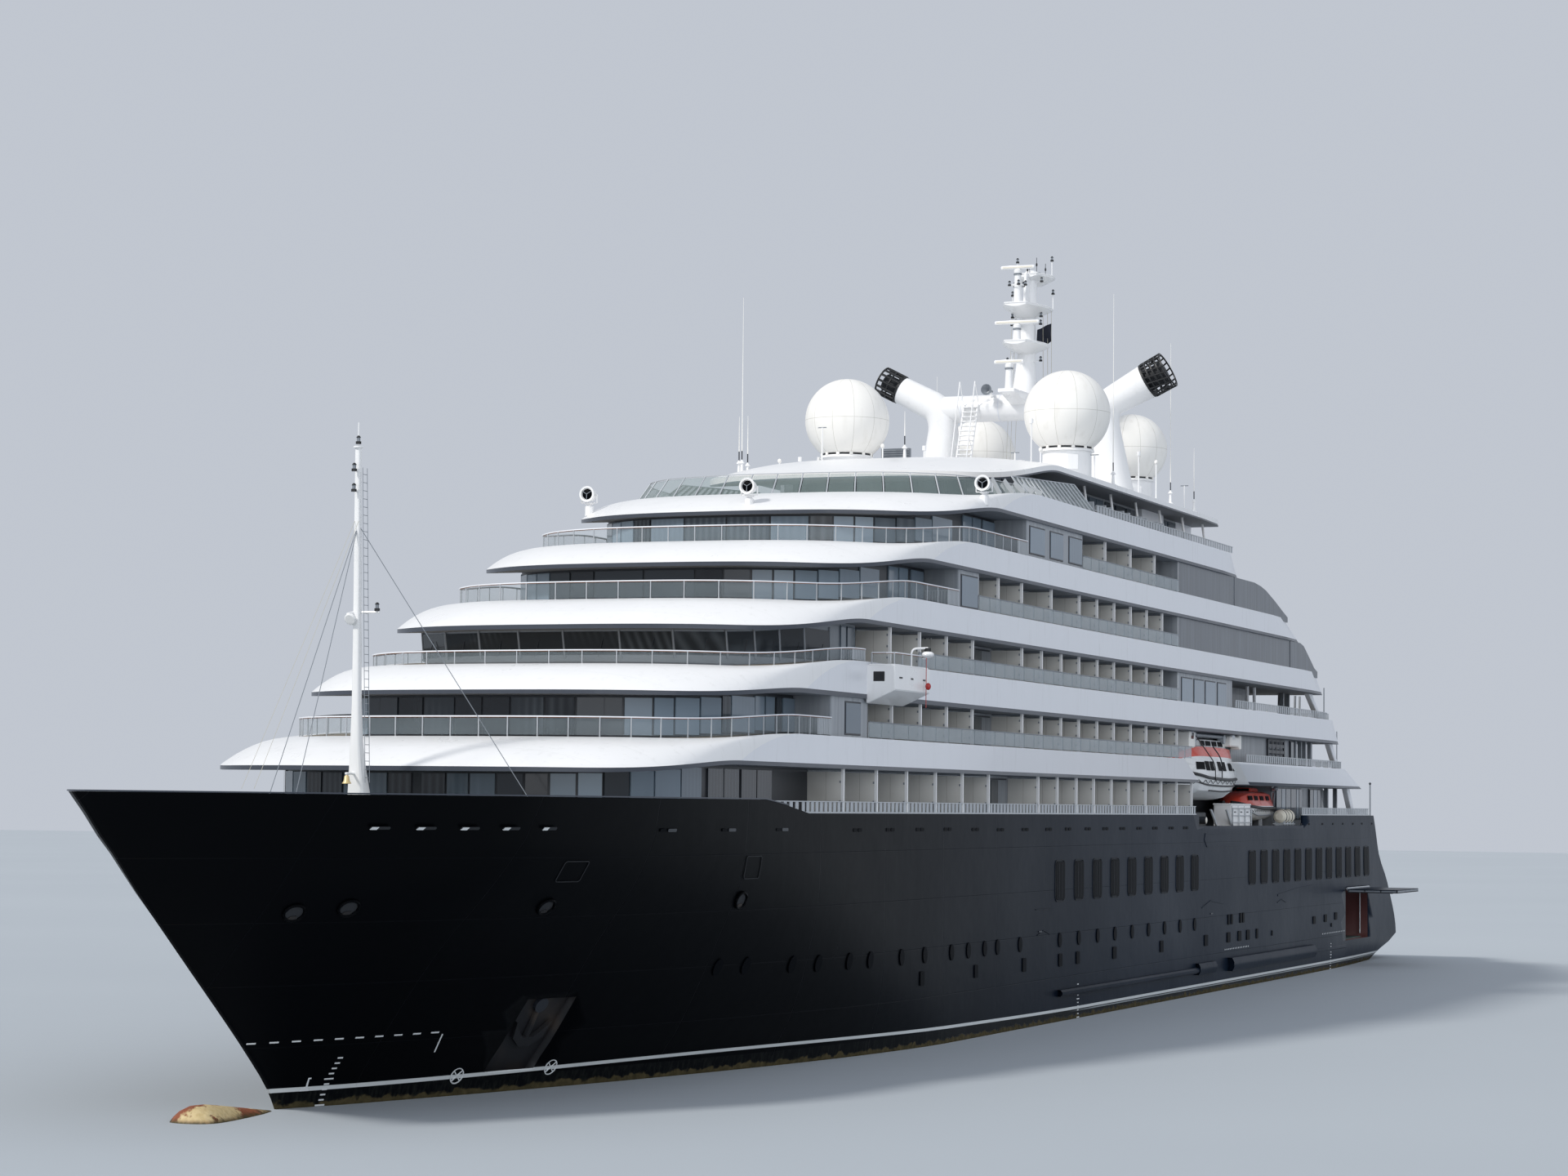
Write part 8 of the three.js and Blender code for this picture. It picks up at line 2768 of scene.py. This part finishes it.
class SternOperator(bpy.types.Operator):
    """Make the stern columns, windows, stairs and poles, the helideck, and the lamps of the brows"""

    bl_idname = "yacht.stern"
    bl_label = "Stern"

    def execute(self, context):
        for name, side in SIDES:
            stern = Piece(f"stern_columns_{name}")
            for (foot_x, foot_z), (head_x, head_z) in COLUMNS:
                stern.side_plate(
                    [(foot_x, foot_z), (foot_x + 0.9, foot_z), (head_x + 0.5, head_z),
                     (head_x - 0.5, head_z)],
                                 (side * 9.7, side * 10.1), "fascia_white", 0.05)
            for y, x, low, high, wide in STERN_POSTS:
                stern.box(about(x, wide / 2), (side * (y - 0.15), side * (y + 0.15)), (low, high),
                          "frame_grey", 0.03)
            for y, first, last, low, high, posts in AFT_WINDOWS:
                stern.box((last, first), (side * (y - 0.03), side * (y + 0.03)), (low - 0.08, high + 0.08),
                          "frame_dark")
                edges = (first, *posts, last)
                for index, (a, b) in enumerate(zip(edges, edges[1:])):
                    glaze(stern, ((a - 0.04, side * (y + 0.05)), (b + 0.04, side * (y + 0.05))), low, high,
                          (0.1, 0.5, 0.2)[index % 3])
            lattice(stern, side * 9.68, (-47.2, -52.0), (14.7, 16.35), 4, 4, 0.22, "frame_dark")
            for x in (-47.6, -49.7):
                lattice(stern, side * 9.66, (x, x - 1.6), (14.75, 16.3), 4, 3, 0.1, "lip_blue_grey")
            for x in (-57.3, -59.1, -62.4, -63.9):
                stern.rod((x - 0.7, side * 7.9, 18.15), (x, side * 8.1, 19.9), 0.09, "slat_grey", sides=8)
            for x in (-43.6, -45.6):
                stern.rod((x - 0.9, side * 8.9, 18.15), (x, side * 9.1, 19.9), 0.11, "fascia_white", sides=8)
            stern.rod((-80.4, side * 9.9, 8.4), (-80.4, side * 9.9, 13.6), 0.06, "frame_grey", sides=8)
            stern.ball((-80.4, side * 9.9, 13.62), (0.1, 0.1, 0.1), "frame_dark", 10, 8)
            for x, low, high, radius in ((-68.3, 14.7, 17.4, 0.04), (-63.9, 18.1, 20.5, 0.045)):
                stern.rod((x, side * 9.9, low), (x, side * 9.9, high), radius, "frame_grey", sides=6)
            stern.box((-77.9, -74.2), (side * 4.5, side * 9.4), (10.2, 10.34), "deck_grey_green", 0.02)
            for x in (-76.8, -73.9, -61.5):
                for along in (-0.35, 0.35):
                    stern.lathe([(0, 0), (0.17, 0), (0.17, 0.5), (0.23, 0.56), (0.23, 0.62), (0, 0.66)],
                                "satin_black",
                                placed(x + along, side * 9.7, 10.25), 12)
            for row in STERN_STAIRS:
                stair(stern, side, *row)
            stern.box((-80.02, -78.35), (side * 7.8, side * 10.3), (8.15, 9.85), "gloss_white", 0.08)
            for start, end, tone in ((-78.45, -79.0, 0.2), (-79.1, -79.7, 0.1)):
                glaze(stern, ((start, side * 10.33), (end, side * 10.33)), 8.6, 9.5, tone)
            stern.done(slot="white_paint")

        deck = Piece("landing_deck")
        place = placed(HELIDECK_X, 0, 0)
        deck.lathe([(0, 24.76), (5.9, 24.76), (6.2, 24.86), (6.2, 25.02), (6.16, 25.05), (0, 25.054)],
                   "helideck_green", place, 64)
        for turn in range(20):
            angle = math.tau * turn / 20
            spot = Vector((HELIDECK_X + 6.05 * math.cos(angle), 6.05 * math.sin(angle), 25.05))
            deck.rod(spot, spot + aloft(0.06), 0.1, "lamp_cream", sides=10)
        turns = row_of(math.radians(95), math.radians(265), 25)
        rim = [Vector((HELIDECK_X + 6.45 * math.cos(t), 6.45 * math.sin(t), 24.82)) for t in turns]
        deck.wire(rim, 0.03, "frame_grey")
        deck.done(slot="deck_paint", replaces=("helideck",))

        fittings = Piece("brow_lamps")
        for x, y in ((58.2, -4.7), (59.2, -1.6), (59.1, 2.4), (57.9, 5.4), (51.6, -4.2), (52.2, 0.6),
                     (51.4, 4.6)):
            low = 12.86 if x > 55 else 16.06
            fittings.box(about(x, 0.22), about(y, 0.28), (low - 0.12, low + 0.14), "frame_grey", 0.03)
        for side in (1, -1):
            for deck_level, x_start, x_end in ((18.1, 24.6, 21.4), (21.4, 16.2, 13.0), (24.75, 5.4, 2.2)):
                y, head_z = side * 8.95, deck_level + 2.4
                for offset in (0.0, 0.16):
                    foot = Vector((x_start, y + side * offset, deck_level))
                    head = Vector((x_end, y + side * offset, head_z))
                    fittings.rod(foot, head, 0.04, "gloss_white", sides=6)
                rise = aloft(0.9)
                for index in range(7):
                    spot = Vector((mix(x_start, x_end, index / 6), y, mix(deck_level, head_z, index / 6)))
                    fittings.rod(spot, spot + rise, 0.025, "gloss_white", sides=5)
                foot, head = Vector((x_start, y, deck_level)) + rise, Vector((x_end, y, head_z)) + rise
                fittings.rod(foot, head, 0.035, "gloss_white", sides=6)
        fittings.done(slot="white_paint")
        return {"FINISHED"}


class LoungeOperator(bpy.types.Operator):
    """Make the deck 10 house under the canopy, its posts and furniture, and the bridge desk"""

    bl_idname = "yacht.lounge"
    bl_label = "Deck 10"

    def execute(self, context):
        house = Piece("lounge_deck_10")
        slab = SLABS[11]
        points = [(-31, 7.4), *[front_arc(6, 9, 7.4, share) for share in eased(14)]]
        ring = [(x, y) for x, y in points] + [(x, -y) for x, y in reversed(points)]
        low = [(x, y, 28.05) for x, y in ring]
        high = [(x, y, min(30.4, soffit_z(slab, x) + 0.1)) for x, y in ring]
        house.tube([low, high], "house_grey")
        windows = [front_arc(6.05, 9, 7.46, share) for share in row_of(0.02, 0.98, 9)]
        for side in (1, -1):
            for index, (a, b) in enumerate(zip(windows, windows[1:])):
                top = min(soffit_z(slab, a[0]), soffit_z(slab, b[0]), 30.0) - 0.12
                glaze(house, ((a[0], side * a[1]), (b[0], side * b[1])), 28.55, top,
                      (0.15, 0.45, 0.25)[index % 3])
            for first, last, tone in (
                (-4.5, -7.5, 0.3), (-7.7, -10.7, 0.2), (-10.9, -13.9, 0.4), (-14.4, -16.4, 0.05),
                (-16.6, -18.8, 0.05),
                (-19.0, -21.0, 0.1), (-26.6, -28.6, 0.3), (-28.8, -30.7, 0.2),
            ):
                glaze(house, ((first, side * 7.46), (last, side * 7.46)), 28.6, 29.95, tone)
            for x, y, z in (((-26.3, -21.4), (6.6, 7.9), (28.1, 30.25)),
                            ((-35.1, -31.1), (5.9, 7.4), (28.15, 30.2))):
                house.box(x, (side * y[0], side * y[1]), z, "fascia_white", 0.08)
            for x in (-6.0, -11.5, -17.0, -22.5, -28.0, -33.2):
                house.rod((x, side * 8.9, 28.1), (x, side * 8.6, 30.3), 0.08, "gloss_white", sides=10)
            for x in row_of(-2.6, -17.8, 5):
                for seat in (0, 1):
                    at = x - seat * 1.3
                    house.box((at - 0.85, at + 0.35), (side * 9.3, side * 9.95), (28.42, 28.52), "slat_grey",
                              0.02)
                    house.box((at + 0.3, at + 0.42), (side * 9.3, side * 9.95), (28.45, 28.95), "slat_grey",
                              0.03)
                    for leg in (at - 0.8, at + 0.3):
                        house.box(about(leg, 0.03), (side * 9.35, side * 9.9), (28.13, 28.43), "frame_grey")
        for y in (-5, -2.5, 0, 2.5, 5):
            house.box((7.2, 7.9), about(y, 0.5), (28.0, 28.5), "fascia_white", 0.08)
        house.done(slot="window_glass_dark", replaces=("deck_house_10",))

        desk = Piece("bridge_desk")
        desk.side_plate([(42.4, 17.4), (43.5, 17.4), (43.5, 18.5), (43.1, 18.6), (42.4, 18.3)], (-5.5, 5.5),
                        "satin_black", 0.03)
        for y in row_of(-4.5, 4.5, 6):
            desk.box((42.6, 43.2), about(y, 0.6), (18.45, 18.55), "frame_dark", 0.02)
        desk.done(slot="black_paint", replaces=("bridge_console",))
        return {"FINISHED"}


# The photograph's camera: place, yaw from astern, pitch and roll, focal length in pixels
CAMERA_PLACE = (180.36, 63.77, 11.52)
CAMERA_TURN = (21.59, 3.69, 0.60)
CAMERA_FOCUS = 4111.8
IMAGE_WIDTH = 1920


class StageOperator(bpy.types.Operator):
    """Set the pale floor, the soft light and the camera of the photograph's angle"""

    bl_idname = "yacht.stage"
    bl_label = "Studio"

    def execute(self, context):
        world = bpy.data.worlds.new("studio_air")
        world.use_nodes = True
        air = world.node_tree.nodes["Background"]
        air.inputs["Color"].default_value = colour("#cad0da")
        air.inputs["Strength"].default_value = 0.9
        context.scene.world = world
        context.scene.view_settings.view_transform = "Standard"

        bpy.ops.mesh.primitive_plane_add(size=160)
        floor = context.object
        floor.name = "studio_floor"
        pale = Finish("studio_floor_pale", "#aab1b7", 0.9)
        pale.feed("Base Color", pale.blend(pale.noise(0.02), colour("#a9b0b7"), colour("#b1b8be")))
        floor.data.materials.append(pale.material)

        sun = bpy.data.lights.new("studio_key", "SUN")
        sun.energy = 2.3
        sun.angle = math.radians(8)
        sun.color = (1.0, 0.97, 0.92)
        key = bpy.data.objects.new("studio_key", sun)
        key.rotation_euler = Vector((0.62, -0.42, 0.66)).to_track_quat("Z", "Y").to_euler()
        context.collection.objects.link(key)
        soft = bpy.data.lights.new("studio_fill", "SUN")
        soft.energy = 0.8
        soft.angle = math.radians(60)
        soft.color = (0.93, 0.96, 1.0)
        fill = bpy.data.objects.new("studio_fill", soft)
        fill.rotation_euler = Vector((0.74, 0.62, 0.16)).to_track_quat("Z", "Y").to_euler()
        context.collection.objects.link(fill)

        yaw, pitch, roll = (math.radians(angle) for angle in CAMERA_TURN)
        ahead = Vector((-math.cos(yaw) * math.cos(pitch), -math.sin(yaw) * math.cos(pitch), math.sin(pitch)))
        right = ahead.cross(aloft(1)).normalized()
        up = right.cross(ahead)
        level_right = right * math.cos(roll) + up * math.sin(roll)
        level_up = up * math.cos(roll) - right * math.sin(roll)
        lens = bpy.data.cameras.new("photo_camera")
        lens.sensor_width = 36
        lens.lens = 36 * CAMERA_FOCUS / IMAGE_WIDTH
        lens.clip_end = 200
        camera = bpy.data.objects.new("photo_camera", lens)
        rows = Matrix((level_right, level_up, -ahead)).transposed().to_4x4()
        camera.matrix_world = Matrix.Translation(Vector(CAMERA_PLACE) * MODEL) @ rows
        context.collection.objects.link(camera)
        context.scene.camera = camera
        return {"FINISHED"}


STEPS = (
    HullOperator, HullFittingsOperator, SlabsOperator, HousesOperator, RailsOperator, BridgeOperator,
    FunnelOperator,
    DomesOperator, MastOperator, ForedeckOperator, BoatsOperator, PodsOperator, DoorsOperator, SternOperator,
    LoungeOperator,
)


class YachtPanel(bpy.types.Panel):
    """The yacht's steps in the sidebar"""

    bl_idname = "VIEW3D_PT_yacht"
    bl_label = "Expedition Yacht"
    bl_space_type = "VIEW_3D"
    bl_region_type = "UI"
    bl_category = "Yacht"

    def draw(self, context):
        column = self.layout.column(align=True)
        for group in (context.scene.yacht_sizes, context.scene.yacht_colours):
            for name in group.__annotations__:
                column.prop(group, name)
        for step in (*STEPS, StageOperator):
            column.operator(step.bl_idname)


CLASSES = (YachtSizes, YachtColours, *STEPS, StageOperator, YachtPanel)


def register():
    for item in CLASSES:
        bpy.utils.register_class(item)
    bpy.types.Scene.yacht_sizes = bpy.props.PointerProperty(type=YachtSizes)
    bpy.types.Scene.yacht_colours = bpy.props.PointerProperty(type=YachtColours)


def unregister():
    del bpy.types.Scene.yacht_colours
    del bpy.types.Scene.yacht_sizes
    for item in reversed(CLASSES):
        bpy.utils.unregister_class(item)


def main():
    register()
    for step in (*STEPS, StageOperator):
        group, action = step.bl_idname.split(".")
        getattr(getattr(bpy.ops, group), action)()


if __name__ == "__main__":
    main()
